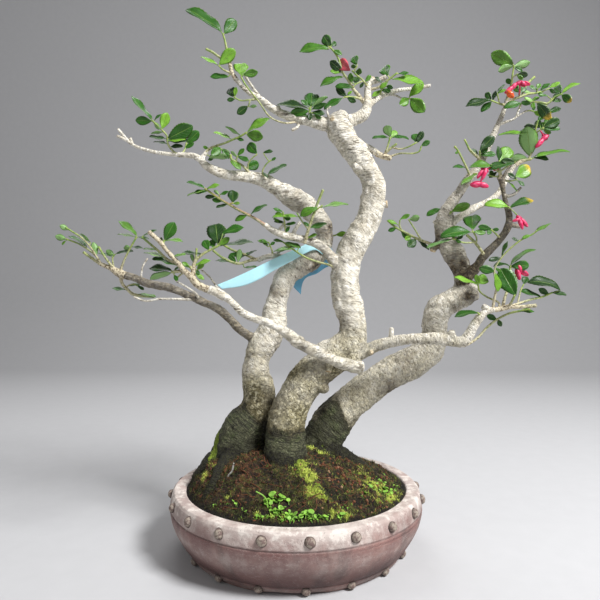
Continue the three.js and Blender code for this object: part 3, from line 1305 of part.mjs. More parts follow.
// Materials
const material = (color, roughness) => new THREE.MeshStandardMaterial({ color, roughness, metalness: 0 });
const clay = material(0x826462, 0.85);
const peat = material(0x3b3424, 0.95);
const bark = material(0xc8c0af, 0.8);
const foliage = material(0x46823c, 0.5);
const capsule = material(0xd73264, 0.45);
const seedCoat = material(0xf56e3c, 0.4);
const autumnLeaf = material(0xcd5a64, 0.55);
const labelPlastic = material(0xa5e6f0, 0.4);
const netPlastic = material(0x2c2e2c, 0.6);
const steelWire = new THREE.MeshStandardMaterial({ color: 0x9a9a98, roughness: 0.4, metalness: 0.9 });

// Each new piece keeps its clearance from what is already placed near it
const tree = new THREE.Group();
const placed = [];

function place(name, solid, grown, finish) {
  const near = placed.filter((other) => boxesMeet(solid, other));
  const cleared = near.reduce((rest, other) => rest.subtract(other), solid);
  const mesh = new THREE.Mesh(toGeometry(largestPart(cleared)), finish);
  mesh.name = name;
  tree.add(mesh);
  if (grown) {
    placed.push(grown);
  }
}

place('pot', makePot(), null, clay);
place('drain_mesh_left', makeDrainMesh(-DRAIN_OFFSET), null, netPlastic);
place('drain_mesh_right', makeDrainMesh(DRAIN_OFFSET), null, netPlastic);
const grownWood = wood(GAP);
place('tree_wood', wood(), grownWood, bark);
const grownWire = makeWire(GAP);
place('anchor_wire', makeWire(), grownWire, steelWire);
const filledPot = joined([soilBody(), ...WEEDS.flatMap(weed)]);
const bedded = filledPot.subtract(meshRecess(-DRAIN_OFFSET)).subtract(meshRecess(DRAIN_OFFSET));
place('soil', bedded, null, peat);
place('label_tag', makeTag(), makeTag(GAP), labelPlastic);
Object.entries(SHOOTS).forEach(([name, parts]) => {
  place(`shoot_${name}`, shoot(parts), shoot(parts, GAP), foliage);
});
Object.entries(FRUITS).forEach(([name, parts]) => {
  place(name, fruit(parts), fruit(parts, GAP), capsule);
});
const arilRow = [...ARIL.from, ARIL.width, ARIL.depth];
place('aril', lobe(arilRow), lobe(arilRow, GAP), seedCoat);
place('red_leaf', redLeaf(), redLeaf(GAP), autumnLeaf);

// The frame's origin is under the middle of the object's box
const bounds = new THREE.Box3().setFromObject(tree);
const middle = bounds.getCenter(new THREE.Vector3());
tree.position.set(-middle.x, -middle.y, -bounds.min.z);

export default tree;
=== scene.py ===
"""Burning bush bonsai in a drum pot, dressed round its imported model.

Metres, +Z up, +X to the right and +Y away from the viewer. The tree was read from one picture, taken by a
level eye in front of it, so stems and leaves are given as a place in that picture and a depth behind the
pot's axis. Every surface is a grid of two parameters or a profile carried along a path.
"""

import logging
import math
from dataclasses import dataclass, field
from enum import Enum

import bpy
import numpy as np
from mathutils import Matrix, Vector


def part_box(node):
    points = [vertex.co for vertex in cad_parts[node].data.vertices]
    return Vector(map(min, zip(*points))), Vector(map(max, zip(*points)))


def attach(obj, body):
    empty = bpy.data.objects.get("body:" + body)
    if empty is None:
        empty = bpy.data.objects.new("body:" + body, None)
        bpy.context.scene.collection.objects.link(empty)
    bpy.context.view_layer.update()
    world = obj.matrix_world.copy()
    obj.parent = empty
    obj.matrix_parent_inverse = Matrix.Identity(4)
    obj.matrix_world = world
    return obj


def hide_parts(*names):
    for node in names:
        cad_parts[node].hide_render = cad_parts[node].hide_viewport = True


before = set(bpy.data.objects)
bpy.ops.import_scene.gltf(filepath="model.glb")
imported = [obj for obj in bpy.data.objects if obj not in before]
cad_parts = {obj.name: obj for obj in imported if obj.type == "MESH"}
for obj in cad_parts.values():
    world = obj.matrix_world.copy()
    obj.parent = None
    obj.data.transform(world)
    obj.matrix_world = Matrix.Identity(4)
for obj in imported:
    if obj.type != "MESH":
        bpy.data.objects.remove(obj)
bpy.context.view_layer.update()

Rows = tuple[tuple[float, ...], ...]
Colour = tuple[float, float, float]
Place = tuple[float, float, float]

MM = 0.001
POT_AXIS = (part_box("pot")[0].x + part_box("pot")[1].x) / 2
EYE = np.array((POT_AXIS + 0.0046, -0.675, 0.292))
METRES_PER_UNIT = 0.0012162
PICTURE_CENTRE = 300.0
SCATTER_WAY = np.array((12.9898, 78.233, 37.719))
SCATTER_STEP = 4.1414
SCATTER_SCALE = 43758.5453
SHORTEST = 1e-12

# Ridges where moss glows: x and y along each in millimetres from the pot's axis, width and share
MOSSY_RIDGES = (
    (((10, -60), (13, -73), (18, -88)), 10.5, 1.0),
    (((21, -94), (30, -103), (40, -110)), 7.0, 0.8),
    (((43, -109), (53, -112)), 4.5, 0.7),
    (((-92, -8), (-98, -16), (-99, -31), (-102, -47)), 6.0, 0.85),
    (((-67, -85), (-74, -88)), 3.5, 0.5),
    (((-46, -113), (-15, -121), (25, -120)), 4.0, 0.3),
    (((16, -18), (27, -26), (40, -8)), 7.0, 0.4),
)

# Trunks and limbs: u, v, depth in millimetres, seen width
LIMBS: dict[str, Rows] = {
    "trunkLeft": ((238, 470, -6, 54), (240, 452, -4, 50), (240, 440, -2, 45), (247, 425, 0, 41),
        (256, 410, 2, 33), (259, 396, 3, 31), (257, 383, 4, 30), (255, 371, 5, 27), (257, 359, 6, 25),
        (261, 347, 8, 28), (268, 336, 10, 29), (274, 324, 12, 28), (275, 310, 13, 23), (278, 297, 14, 20),
        (282, 285, 16, 20), (290, 273, 18, 21), (303, 264, 21, 22), (315, 256, 23, 20), (323, 244, 25, 17),
        (324, 230, 23, 17), (316, 215, 19, 20), (304, 204, 14, 22), (290, 196, 10, 20), (277, 188, 6, 15),
        (262, 180, 3, 13), (250, 177, 0, 11), (238, 176, -2, 10.5), (225, 174.5, -4, 9.5), (213, 170, -6, 9),
        (204, 164, -8, 8), (199, 158, -9, 6.5)),
    "trunkMiddle": ((282, 480, -30, 54), (284, 462, -30, 50), (284, 448, -29, 42), (284, 435, -28, 38),
        (286, 420, -28, 36), (291, 405, -27, 35), (300, 390, -25, 36), (312, 375, -22, 37),
        (328, 361, -20, 38), (346, 348, -17, 33), (353, 336, -14, 28.5), (353.5, 323, -12, 27),
        (349.5, 309, -10, 29), (345.5, 291, -8, 29), (345, 277, -6, 29), (348, 265, -5, 26),
        (351, 252, -3, 28), (359, 237, -2, 28), (368, 221, 0, 24.5), (372.5, 206, 0, 23.5),
        (374.5, 192, 0, 23), (373, 180, 0, 22), (363, 164, 0, 25), (352, 148, 0, 26), (341, 132, 0, 26),
        (335, 116, 0, 22)),
    "trunkRight": ((304, 476, 2, 54), (314, 458, 6, 48), (320, 445, 10, 40), (326, 432, 12, 38),
        (336, 418, 14, 38), (347, 405, 16, 34), (362, 393, 18, 33), (380, 380, 20, 32), (399, 369, 22, 33),
        (416, 360, 22, 32), (428, 349, 22, 30), (434, 335, 22, 27), (435, 320, 20, 25), (441, 307, 18, 24),
        (453, 300, 17, 24), (465, 294, 16, 24), (475, 290, 16, 18)),
    "trunkRightUpper": ((463, 291, 15, 18), (463, 278, 14, 17), (460, 266, 13, 19), (454, 254, 12, 21),
        (449, 244, 12, 19), (444.5, 235, 12, 17.5), (443.5, 225, 11, 17), (446, 213, 11, 15),
        (451, 204, 10, 12.5), (459, 193, 10, 11), (467, 181, 10, 10), (477, 168, 10, 9), (487, 148, 10, 8),
        (498, 124, 10, 6), (504, 110, 10, 5), (507, 100, 10, 4.5)),
    "frontLeft": ((362, 368, -42, 14), (350, 365.5, -44, 13), (333, 360, -47, 12.5), (315, 351, -49, 12),
        (300, 343, -52, 13), (285, 332, -55, 10), (270, 324, -59, 8.5), (256, 319, -62, 8),
        (241, 311.5, -67, 8), (232, 302.5, -70, 8), (219.6, 294, -73, 9), (208, 289, -76, 9)),
    "lowerLeft": ((264, 344, 8, 10), (253, 338, 3, 9), (239, 329, 5, 9), (229, 318, 9, 9),
        (217, 308.5, 12, 8.5), (203, 302, 16, 8), (189, 295.5, 20, 8), (171, 288, 24, 8),
        (159, 285.5, 27, 8), (147, 283, 30, 8), (135, 278, 33, 8), (126, 275.5, 36, 8.5)),
    "middleLeft": ((342, 270, -8, 11), (336, 264.5, -10, 11), (331, 256, -12, 10.5), (324, 248.5, -13, 9.5),
        (315, 242.5, -14, 9), (303, 239, -16, 8.5), (291, 237, -18, 8), (283, 235, -20, 8),
        (274, 231, -23, 7), (264, 224.5, -26, 6)),
    "behindTag": ((296, 267, 14, 6.5), (286, 259.5, 9, 6), (275, 256, 4, 5.5), (265, 257, 1, 5),
        (258, 260, 0, 5)),
    "topLeft": ((331, 125, 0, 14), (320, 123, -1, 13), (310, 121, -2, 12), (300, 119.5, -4, 10.5),
        (290, 117, -6, 9), (280, 113, -8, 9), (270, 107, -9, 7.5), (262, 100, -11, 7), (250, 93, -13, 6),
        (240, 84.5, -14, 5.5), (234, 77, -15, 5.5)),
    "topRight": ((343, 124, 0, 14), (355, 119, 2, 11.5), (364, 114, 4, 12), (367, 105, 5, 9.5),
        (367.5, 93, 7, 7), (368.5, 85, 8, 6), (373, 77, 8, 5.5)),
    "topRightCut": ((369, 83, 8, 4.5), (378, 80.5, 6, 5), (386, 77, 4, 5)),
    "topRightLong": ((366, 107, 5, 7.5), (374, 101, 8, 6.5), (381, 96.5, 11, 5.5), (391, 92.5, 15, 5),
        (400, 90, 18, 4), (415, 88.5, 22, 3.5), (430, 85.5, 26, 3.5)),
    "rightStub": ((356, 146, 0, 8), (366, 147, -3, 7), (373, 150.5, -5, 6.5), (379, 155, -7, 6)),
    "frontRight": ((352, 357, -20, 13), (366, 350.5, -24, 12), (376, 345.5, -27, 11),
        (391, 341.5, -31, 10.7), (406, 339.5, -34, 11), (421, 339.5, -36, 12), (436, 339, -38, 12),
        (450, 340.5, -39, 12), (461, 342, -39, 11.5), (468, 336, -39, 10.5), (474.5, 325, -39, 9.5),
        (480, 317, -39, 8.5), (486, 311.5, -39, 7), (495, 309.5, -39, 6)),
    "darkRight": ((462, 284, 12, 13), (468, 276, 6, 12), (476, 267.5, 0, 10), (483, 257, -6, 8.5),
        (492, 248, -11, 8), (501, 238.5, -15, 7.5), (508.5, 225, -19, 7), (509, 215, -20, 6),
        (506, 205, -22, 5), (503.5, 193, -24, 5), (502, 183, -25, 6), (500.5, 176, -25, 8)),
    "whiteRight": ((446, 227, 11, 9), (455, 220, 12, 8), (464, 214, 15, 7.5), (475, 207.5, 20, 7),
        (487, 202, 24, 6.5), (497, 195, 28, 6), (503, 186, 30, 5.5), (508, 176, 32, 5), (513, 168, 34, 5),
        (518, 163.5, 35, 5)),
    "leftTip": ((203, 162, -8, 6.5), (195, 156.5, -10, 6), (184, 155, -12, 5), (170, 154, -15, 4.2),
        (157, 152.5, -17, 3.6), (143, 149, -19, 3.2), (134, 145.5, -21, 3), (126, 140, -22, 3),
        (117, 136, -23, 2.8)),
}
# Bare twigs, read as the limbs are
BARE_TWIGS: dict[str, Rows] = {
    "leftTipBuds": ((128, 141, -22, 3.2), (122, 134, -22, 3), (118, 129, -22, 2.5)),
    "leftTipBud": ((133, 145, -21, 3), (130, 138, -21, 3)),
    "leftUpStub": ((200, 161, -9, 6), (204, 155, -8, 4.5), (208, 150, -7, 3.5)),
    "knobHighLeft": ((365, 170, -8, 8), (354, 166, -12, 7)),
    "knobRight": ((378, 205, 0, 8), (387.5, 204, -2, 7)),
    "knobElbow": ((320, 384, -30, 14), (325, 390, -38, 10)),
    "elbowLobe": ((340, 356, -22, 30), (357, 361, -24, 22)),
    "frontLeftKnob": ((297, 345, -50, 9), (302, 337, -54, 6.5)),
    "frontLeftUnder": ((330, 361, -45, 8), (328.5, 372, -45, 6)),
    "whiteStub": ((292, 238, -17, 5), (295, 230, -16, 4), (300, 222.5, -15, 4)),
    "smallFork": ((281, 235, -20, 4), (279.5, 230, -21, 3), (283.5, 225, -21, 3)),
    "tagTwigStub": ((276, 256, 4, 3), (280, 250.5, 3, 2.5), (285, 246, 2, 2.2)),
    "curledTwig": ((141, 280, 31, 2.6), (141.5, 273, 31, 2), (143, 266, 31, 1.8), (147.5, 258.5, 31, 1.8)),
    "palePinkTwig": ((198, 300, 18, 4), (189, 299.5, 16, 3), (171, 299, 14, 2.4), (159, 299, 13, 2.2),
        (146, 301, 12, 2.2), (134, 297, 12, 2)),
    "thinLeftTwig": ((230, 300, -70, 2.5), (217, 287, -62, 1.8), (210, 277.5, -58, 1.8),
        (200.5, 269, -55, 1.6)),
    "lowStubLeft": ((199, 299, 16, 3), (196, 294, 8, 2.6), (188, 288, -10, 2), (176, 281, -30, 1.8)),
    "creamStubTop": ((262, 101, -11, 4), (255, 90.5, -12, 2.8), (248, 80.5, -13, 2.5), (245, 75, -13, 2.5)),
    "scarKnobTop": ((281, 114, -8, 6), (277, 107, -10, 5.5)),
    "lowStubTop": ((299, 121, -4, 4), (297.5, 127, -6, 3), (292, 130.5, -7, 3)),
    "trunkTopTwig": ((331, 122, -8, 3), (327, 110, -9, 1.8), (331, 106.5, -10, 1.8)),
    "rightCollarKnob": ((472, 294, 4, 14), (474, 285, 2, 8)),
    "leftStump": ((446, 241, 12, 9), (434.5, 246.5, 14, 7.5), (432.5, 251.5, 14, 5.5)),
    "leftStumpHigh": ((444, 226, 11, 6), (433.5, 221.5, 12, 3.5)),
    "frontRightUpStub": ((391, 341, -31, 6), (391.8, 328, -33, 4.5)),
    "frontRightKnob": ((452, 338, -39, 9), (452, 330.5, -41, 7)),
    "frontRightKnobEnd": ((489, 310, -39, 6), (483, 306, -39, 6)),
    "redCut": ((364, 352, -24, 8), (372, 352, -34, 5)),
    "darkForkStub": ((508, 224, -19, 5), (514, 225.5, -18, 4.5), (519.5, 227, -17, 3.5)),
    "upperForkStub": ((503.5, 195, -24, 4), (509, 196, -25, 3.4), (515, 193.5, -26, 3),
        (521, 187.5, -27, 2.6)),
    "longRightTwig": ((496, 126, 10, 3.5), (505.5, 122, 8, 2.6), (511.6, 120, 6, 2.2), (516, 117, 4, 2),
        (518, 111.6, 2, 2), (521, 105.5, 0, 2)),
    "bentRightTwig": ((516.5, 117, 4, 1.8), (521, 114, 4, 1.6), (527, 110.5, 4, 1.6)),
    "topRightFine": ((389, 94, 15, 2.4), (397, 96, 12, 1.8), (402, 98.5, 10, 1.6), (408, 98.8, 9, 1.6)),
    "darkStem": ((503, 178, -25, 3.4), (507, 170.5, -24, 2.8), (511, 165, -23, 2.4)),
}
# Surface roots: x and y from the pot's axis, z, radius, all in millimetres
ROOTS: dict[str, Rows] = {
    "leftRoot": ((-84, -6, 104, 20), (-102, -12, 93, 13), (-115, -14, 83, 8), (-121, -14, 73, 5)),
    "leftFrontRoot": ((-74, -26, 104, 16), (-84, -46, 97, 10), (-90, -60, 88, 6.5), (-97, -68, 80, 5),
        (-101, -72, 72, 3.5)),
    "frontRoot": ((-8, -40, 104, 15), (6, -60, 97, 12), (17, -80, 89, 10), (27, -95, 83, 8),
        (38, -103, 75, 6)),
    "rightRoot": ((36, 8, 104, 18), (62, 6, 94, 13), (84, 0, 83, 9), (98, -6, 74, 6)),
    "backRoot": ((-20, 20, 108, 20), (-26, 50, 98, 14), (-30, 76, 88, 9), (-32, 92, 77, 6)),
    "rootBall": ((-20, -4, 46, 48), (-20, -4, 66, 62), (-22, -4, 90, 56), (-24, -4, 110, 34)),
}
# Stems of each shoot, read as the limbs are; each starts on the ones before
SHOOT_STEMS: dict[str, tuple[Rows, ...]] = {
    "topLeftTip": (((236, 79, -15, 4.5), (232, 73, -15, 4.5), (229.5, 62, -16, 3.8), (227, 51, -17, 2.8),
        (225, 41, -18, 2.2), (223, 34, -18, 1.8)), ((229.5, 63, -16, 3), (220, 57.5, -18, 2.6),
        (213, 52.5, -19, 2.6), (206, 49, -20, 2.6)), ((232.5, 74, -15, 2.6), (223, 69.5, -18, 1.8),
        (219, 66, -19, 1.5))),
    "longThinTop": (((296, 122, -6, 2.4), (285, 123, -14, 1.8), (275, 120, -17, 1.7), (268, 115, -19, 1.7),
        (259, 102, -21, 1.7), (251, 92, -22, 1.7), (246, 85.5, -22, 1.7), (241, 77, -22, 1.7)),),
    "lowTopLeft": (((257, 99, -12, 3), (249, 100, -14, 2), (241, 100.5, -16, 1.6), (235, 98, -17, 1.4)),
        ((250, 99.8, -14, 1.6), (248.5, 106, -15, 1.4))),
    "trunkTopCluster": (((306, 120, -5, 3), (309, 115, -9, 2.2), (310, 108, -10, 2)),),
    "crownStem": (((365, 104, 5, 4.6), (359, 96, 2, 4.2), (354, 90, 0, 3.6), (348, 80, -2, 2.8),
        (342.5, 72, -4, 2.4), (338.5, 59, -6, 2.2), (335, 53, -7, 2), (330, 47, -8, 1.8)),),
    "crownSide": (((368, 87, 7, 2.6), (362, 79.5, -2, 2), (356, 74.5, -7, 1.8), (352, 70.5, -10, 1.7)),
        ((353, 71.5, -9, 1.6), (357, 66, -11, 1.4)), ((363, 80.5, -1, 1.6), (356, 84, -4, 1.4))),
    "crownLow": (((361, 99, 2, 3), (353, 97, -2, 2), (344.5, 97, -5, 1.6)),),
    "topRightBranchlet": (((370, 89.5, 8, 3.4), (378, 87.5, 5, 2.6), (385, 82.5, 2, 2.4),
        (390, 78.5, 0, 2.2), (397, 73, -2, 2)),),
    "topRightFar": (((405, 98.8, 9, 1.8), (410.5, 98.5, 7, 1.6)),),
    "topRightInner": (((380, 97, 10, 2.4), (382, 89, 4, 1.8), (386, 86, 2, 1.6)),),
    "rightStubTwigs": (((377, 153.5, -7, 6.2), (383.5, 156.5, -9, 6), (390.5, 158, -11, 6)),
        ((384.5, 155, -9, 3), (387.5, 147, -10, 2.2), (390, 138, -11, 2)), ((386, 154, -9, 2.8),
        (391, 148, -12, 2.4), (396.5, 144, -14, 2.4)), ((388, 156, -10, 2.6), (400, 153.5, -13, 1.8),
        (412, 153.5, -16, 1.7), (419, 151.5, -18, 1.6), (421.5, 146, -19, 1.6)), ((392, 147.5, -12, 2),
        (400, 149, -15, 1.7), (408, 147, -17, 1.6), (415.5, 143, -19, 1.6))),
    "lowerLeftEnd": (((125, 275.5, 36, 8.5), (119, 273, 37, 9), (110.6, 268, 37, 5.6), (102, 264.5, 37, 4.4),
        (91, 257.5, 36, 3.2), (83.5, 252.3, 35, 3)), ((116, 272, 36, 3.4), (107, 260, 32, 2.4),
        (98.5, 246.6, 29, 2.2)), ((121, 270, 36, 3.4), (124.5, 259.5, 33, 2.2), (130, 248.5, 31, 2),
        (136, 238, 29, 1.9)), ((103, 262, 35, 2.4), (95, 255, 30, 2), (80, 244.5, 25, 1.8),
        (66, 239, 22, 1.7)), ((96, 256, 31, 2), (90, 246.5, 22, 1.9), (82, 238, 17, 1.9), (73, 232, 14, 1.9),
        (65.5, 227.5, 11, 1.7)), ((114.5, 270, 36, 1.8), (112.5, 259, 38, 1.6), (114.5, 254.5, 38, 1.5)),
        ((119.5, 276, 37, 4.6), (122, 283, 38, 3.4), (127, 289, 40, 3.2), (134, 294.5, 42, 3.6),
        (154, 297, 46, 2.2)), ((125, 287, 39, 1.8), (133, 284, 36, 1.5), (138, 286, 35, 1.4))),
    "frontLeftEnd": (((211, 290.5, -75.5, 8.4), (204, 288, -77, 8), (197, 284, -79, 8.2),
        (191, 277, -81, 7.4), (185, 271.5, -83, 6), (177.5, 262.5, -86, 5.4), (168, 252, -89, 4.8),
        (159, 241, -92, 4.8), (149, 232, -95, 4.8)), ((176, 270, -83, 3.6), (167, 259, -85, 2.8),
        (158, 250.5, -87, 2.5), (149, 243, -89, 2.5), (142, 237, -91, 2.3)), ((193, 278, -81, 6),
        (193.5, 270, -80, 5), (195, 261.5, -80, 3.6), (203, 254, -80, 2.8), (211, 249.5, -80, 2.6),
        (218, 246, -80, 2.4)), ((194.5, 263, -80, 3), (196, 256, -82, 2.4), (196.6, 248.5, -83, 2.2)),
        ((184, 271, -83, 4), (176, 271.5, -82, 3.6), (172, 272, -81, 3)), ((194, 271, -80, 3),
        (190, 266.5, -81, 3)), ((184, 272, -82, 2.2), (178, 277, -78, 1.8), (176, 281, -76, 1.6)),
        ((162, 246, -91, 2.4), (164, 241, -90, 2))),
    "reddishShoot": (((267, 227, -25, 4.6), (259, 221, -28, 3.2), (250, 215.8, -31, 2.9),
        (240, 210.8, -35, 2.7), (230.6, 205.4, -39, 2.6), (223, 201, -42, 2.4), (214, 195, -45, 2.2),
        (205, 188.5, -48, 2)), ((229, 204.8, -39, 2), (232.8, 203, -40, 1.8)), ((220, 199, -43, 1.6),
        (219, 194.5, -44, 1.4))),
    "greenCutShoot": (((304.5, 243, -18, 4.2), (307, 234, -22, 3.4), (310, 224.5, -24, 3.2),
        (313.5, 214.5, -26, 3), (317, 204.5, -27, 2.8), (320.5, 196, -28, 2.8), (323, 190, -29, 3)),
        ((313.5, 215, -26, 2), (317, 209.5, -29, 1.8), (322.5, 205.5, -31, 1.7)), ((308, 230, -23, 1.8),
        (302.5, 222, -27, 1.6), (297, 213, -29, 1.6))),
    "hiddenShoot": (((322, 241, 34, 3.4), (329, 237, 38, 2), (336, 235, 38, 1.8)),),
    "smallForkShoot": (((286, 234, -20, 2.6), (284.5, 222, -24, 1.8), (283, 212, -26, 1.7)),),
    "behindTagShoot": (((262, 258.6, 0.5, 4.6), (250, 260.6, -1, 3.4), (238, 263.6, -3, 3),
        (223, 258, -6, 2.6), (213, 250.5, -8, 2.6)), ((256, 260, -0.5, 3.2), (243, 253.8, 3, 2.6),
        (232, 249.8, 5, 2.5), (222, 244, 7, 2.5))),
    "aboveTagShoot": (((272.5, 256.5, 3, 3), (272, 250.5, 1, 1.8), (268.5, 242, -1, 1.6)),),
    "overTagTwig": (((334, 266.5, -13, 2.8), (326, 264, -17, 2.3), (318, 262, -18, 2.2),
        (306, 257.5, -18, 2.1), (294, 250, -17, 2), (283, 242, -16, 1.8)),),
    "leftUpper": (((180, 156, -13, 3.6), (174, 152, -16, 2.4), (169, 146, -18, 2.2), (167.2, 141, -19, 2),
        (167, 136, -20, 1.9), (161, 129, -21, 1.8), (152, 120.5, -22, 1.7)), ((186, 156, -12, 2.6),
        (184.5, 150, -8, 2), (186.5, 143, -6, 1.8))),
    "leftInner": (((204, 155.5, -8, 3.4), (208, 150, -8, 3), (213, 147, -9, 2.6), (225, 143, -12, 2.3),
        (233, 139.5, -14, 2.2), (240, 136.5, -16, 2.1), (246.5, 132.5, -18, 1.9)), ((216, 146.4, -10, 1.6),
        (221, 149, -13, 1.4))),
    "archTwig": (((249, 172.5, -3, 3.4), (243.5, 166.5, -8, 2.6), (237, 162, -10, 2.4),
        (231.5, 159.5, -12, 2.4), (230.5, 154.5, -13, 2.4)), ((247.5, 170.5, -4, 2), (248.5, 163, -9, 1.6),
        (253, 157.5, -11, 1.4), (257, 154.5, -12, 1.3)), ((235.5, 161.3, -10.5, 1.8),
        (237.5, 156, -13, 1.5))),
    "archShoot": (((265, 178.5, -2, 2.6), (262.5, 171.5, -8, 1.8), (266, 164.5, -10, 1.5),
        (271, 160, -11, 1.4)),),
    "gapShoot": (((437, 246, 14, 4.2), (427, 242.5, 20, 3.2), (417, 238.5, 25, 2.8), (407, 233.5, 29, 2.6),
        (396, 227.5, 31, 2.4), (387.5, 220.5, 33, 2.2)), ((402, 231, 30, 1.8), (399.5, 225, 29, 1.5),
        (400, 220, 28, 1.4)), ((421, 240, 23, 1.8), (414, 228, 20, 1.5), (408.5, 219.5, 18, 1.4))),
    "heartShoot": (((485.5, 257, -8, 4), (480, 249, -13, 3.2), (474.5, 242, -16, 3), (467, 235, -18, 3.2)),
        ((476, 244, -15, 2), (476.5, 238, -20, 1.7), (472.5, 231, -23, 1.7)), ((475, 242.5, -16, 2),
        (463, 242.5, -24, 1.8), (453, 238.5, -28, 1.6))),
    "darkRightPair": (((500, 238, -16, 2.8), (495, 233, -21, 1.8), (491, 229.5, -23, 1.6)),),
    "trunkRightPair": (((445, 212, 16, 2.6), (441, 209, 24, 1.8)),),
    "forkLeaves": (((449, 215, 6, 2.6), (451.5, 211.5, -1, 1.8)),),
    "cutTwigRight": (((470, 177, 8, 3), (468, 171, 2, 2.4), (463, 160.5, -1, 2.2), (457.5, 150, -3, 2.2),
        (454.5, 146.5, -4, 2.6)),),
    "darkLeafRight": (((473, 174, 6, 2.4), (477, 173.5, -1, 1.6)),),
    "upperTwigRight": (((482, 160, 8, 3.6), (475, 155, 3, 3.2), (469.5, 149.5, 0, 2.6), (467, 144.5, -2, 2),
        (464.5, 139.5, -3, 2)), ((480.5, 158.5, 7, 2.2), (479.5, 151, 0, 1.8))),
    "nodeCluster": (((500.5, 178, -26, 6), (500, 172, -29, 3), (499.5, 166, -31, 2), (499, 161, -32, 1.8)),
        ((500, 173, -29, 2), (494, 168, -33, 1.7), (491, 164.5, -35, 1.5)), ((500, 176, -27, 2.4),
        (494, 176.5, -31, 1.6), (488, 175, -33, 1.5)), ((500.5, 171.5, -29.5, 2), (508, 166, -33, 1.8),
        (515.5, 162, -36, 1.7))),
    "sideNodeShoot": (((503.5, 180.5, -25, 2.6), (510, 181, -28, 1.7), (517, 179.5, -30, 1.6)),),
    "whiteTip": (((515.5, 165.5, 34.5, 5), (521, 161.5, 35, 4.6), (526, 160, 34, 3.4), (531, 159, 32, 3)),
        ((528.5, 160, 33, 2.6), (532.5, 150, 31, 2.2), (533.5, 140, 30, 2.2), (535.2, 131, 28, 2.2),
        (538, 120.5, 26, 2)), ((534.5, 134, 28.5, 1.7), (540, 130, 25, 1.5), (543.5, 127.5, 24, 1.5))),
    "budPair": (((506, 208, -22, 2.6), (509.5, 207.5, -27, 1.9)), ((509, 207.6, -26.5, 1.6),
        (513, 211, -31, 1.3), (517, 215, -32, 1.3))),
    "topShoot": (((506.5, 102, 10, 3.6), (509, 91, 6, 2.4), (511.8, 82, 3, 2.1), (512.3, 76, 1, 1.9),
        (514, 66, -1, 1.8)), ((512.3, 77, 1, 1.6), (517.5, 74, -3, 1.4))),
    "topLeftLeaves": (((504, 105, 10, 3), (497.5, 103, 4, 1.9), (491.5, 100.5, 1, 1.7)), ((500, 104, 7, 1.6),
        (497, 93, 2, 1.4))),
    "topRightSpray": (((505.5, 105, 11, 3.8), (513, 99.5, 14, 3), (520, 97, 16, 2.6), (528, 94, 18, 2.2),
        (536, 93, 20, 2.1), (543, 91.5, 22, 1.9)), ((520, 97, 16, 2), (519.5, 92, 12, 1.8)),
        ((521, 96.5, 16, 2.2), (525, 88, 20, 2), (529, 82, 22, 2.4), (534.5, 77, 23, 2.5)),
        ((536, 93, 20, 1.6), (537.5, 88.5, 17, 1.5)), ((542, 91.6, 22, 1.6), (549, 88.5, 23, 1.5))),
    "lowerSpray": (((519.5, 108.5, 1, 2.2), (521.5, 103.5, -1, 2), (531, 101.8, -3, 2.2),
        (541, 102.5, -5, 2.2), (547.5, 103.5, -6, 2.6), (555, 97, -8, 2), (561.5, 94, -10, 1.8)),),
    "bentTwigLeaves": (((525, 111.5, 4, 2), (529.5, 110.5, 6, 1.7), (534, 111.5, 8, 1.5)),),
    "frontRightEnd": (((491.5, 310, -39, 6.2), (500, 309, -38, 5.6), (510, 306.5, -37, 6)),
        ((509, 307.6, -37, 4.6), (522, 306.8, -39, 4.2), (536, 305.5, -41, 4.2)), ((492, 309, -39, 3.4),
        (494.5, 298, -41, 2.7), (496.5, 287, -43, 2.5), (494.5, 270, -44, 1.9), (502.5, 256.5, -46, 1.9),
        (512, 247, -48, 1.9), (521, 240, -50, 1.8), (532, 234.5, -52, 1.7), (537, 231, -53, 1.5)),
        ((498, 308, -38, 2.6), (499, 303, -36, 2.2), (487, 297, -32, 2), (479.5, 291, -30, 1.8),
        (478, 284, -29, 1.8)), ((502.5, 307.5, -38, 3.6), (505, 297, -36, 3), (508, 288, -34, 2.6),
        (510, 275, -32, 2.2), (510, 266, -31, 2)), ((509, 305, -37.5, 3), (513, 299, -46, 2.4),
        (514.5, 295.5, -49, 2.2)), ((510, 306, -37, 3.2), (520, 303, -32, 2.6), (531, 299.5, -28, 2.3),
        (542, 297, -25, 2.2), (552.5, 292.5, -22, 1.9)), ((518, 303.5, -33, 1.9), (520.5, 291, -28, 1.6),
        (523.5, 284.5, -26, 1.5)), ((511, 267, -31, 1.6), (515, 268, -31, 1.4))),
    "lowRightTwig": (((464, 346, -38, 3), (471, 342.5, -32, 2.7), (478.5, 337, -29, 2.6),
        (487, 327.5, -28, 2.5), (497, 319.5, -29, 2.5), (509, 313.5, -31, 2.4), (520, 311, -33, 2.3),
        (530, 309.4, -35, 2.2)),),
    "frontRightLeaf": (((481, 316, -39, 2.8), (477.5, 312.5, -46, 1.7)),),
}
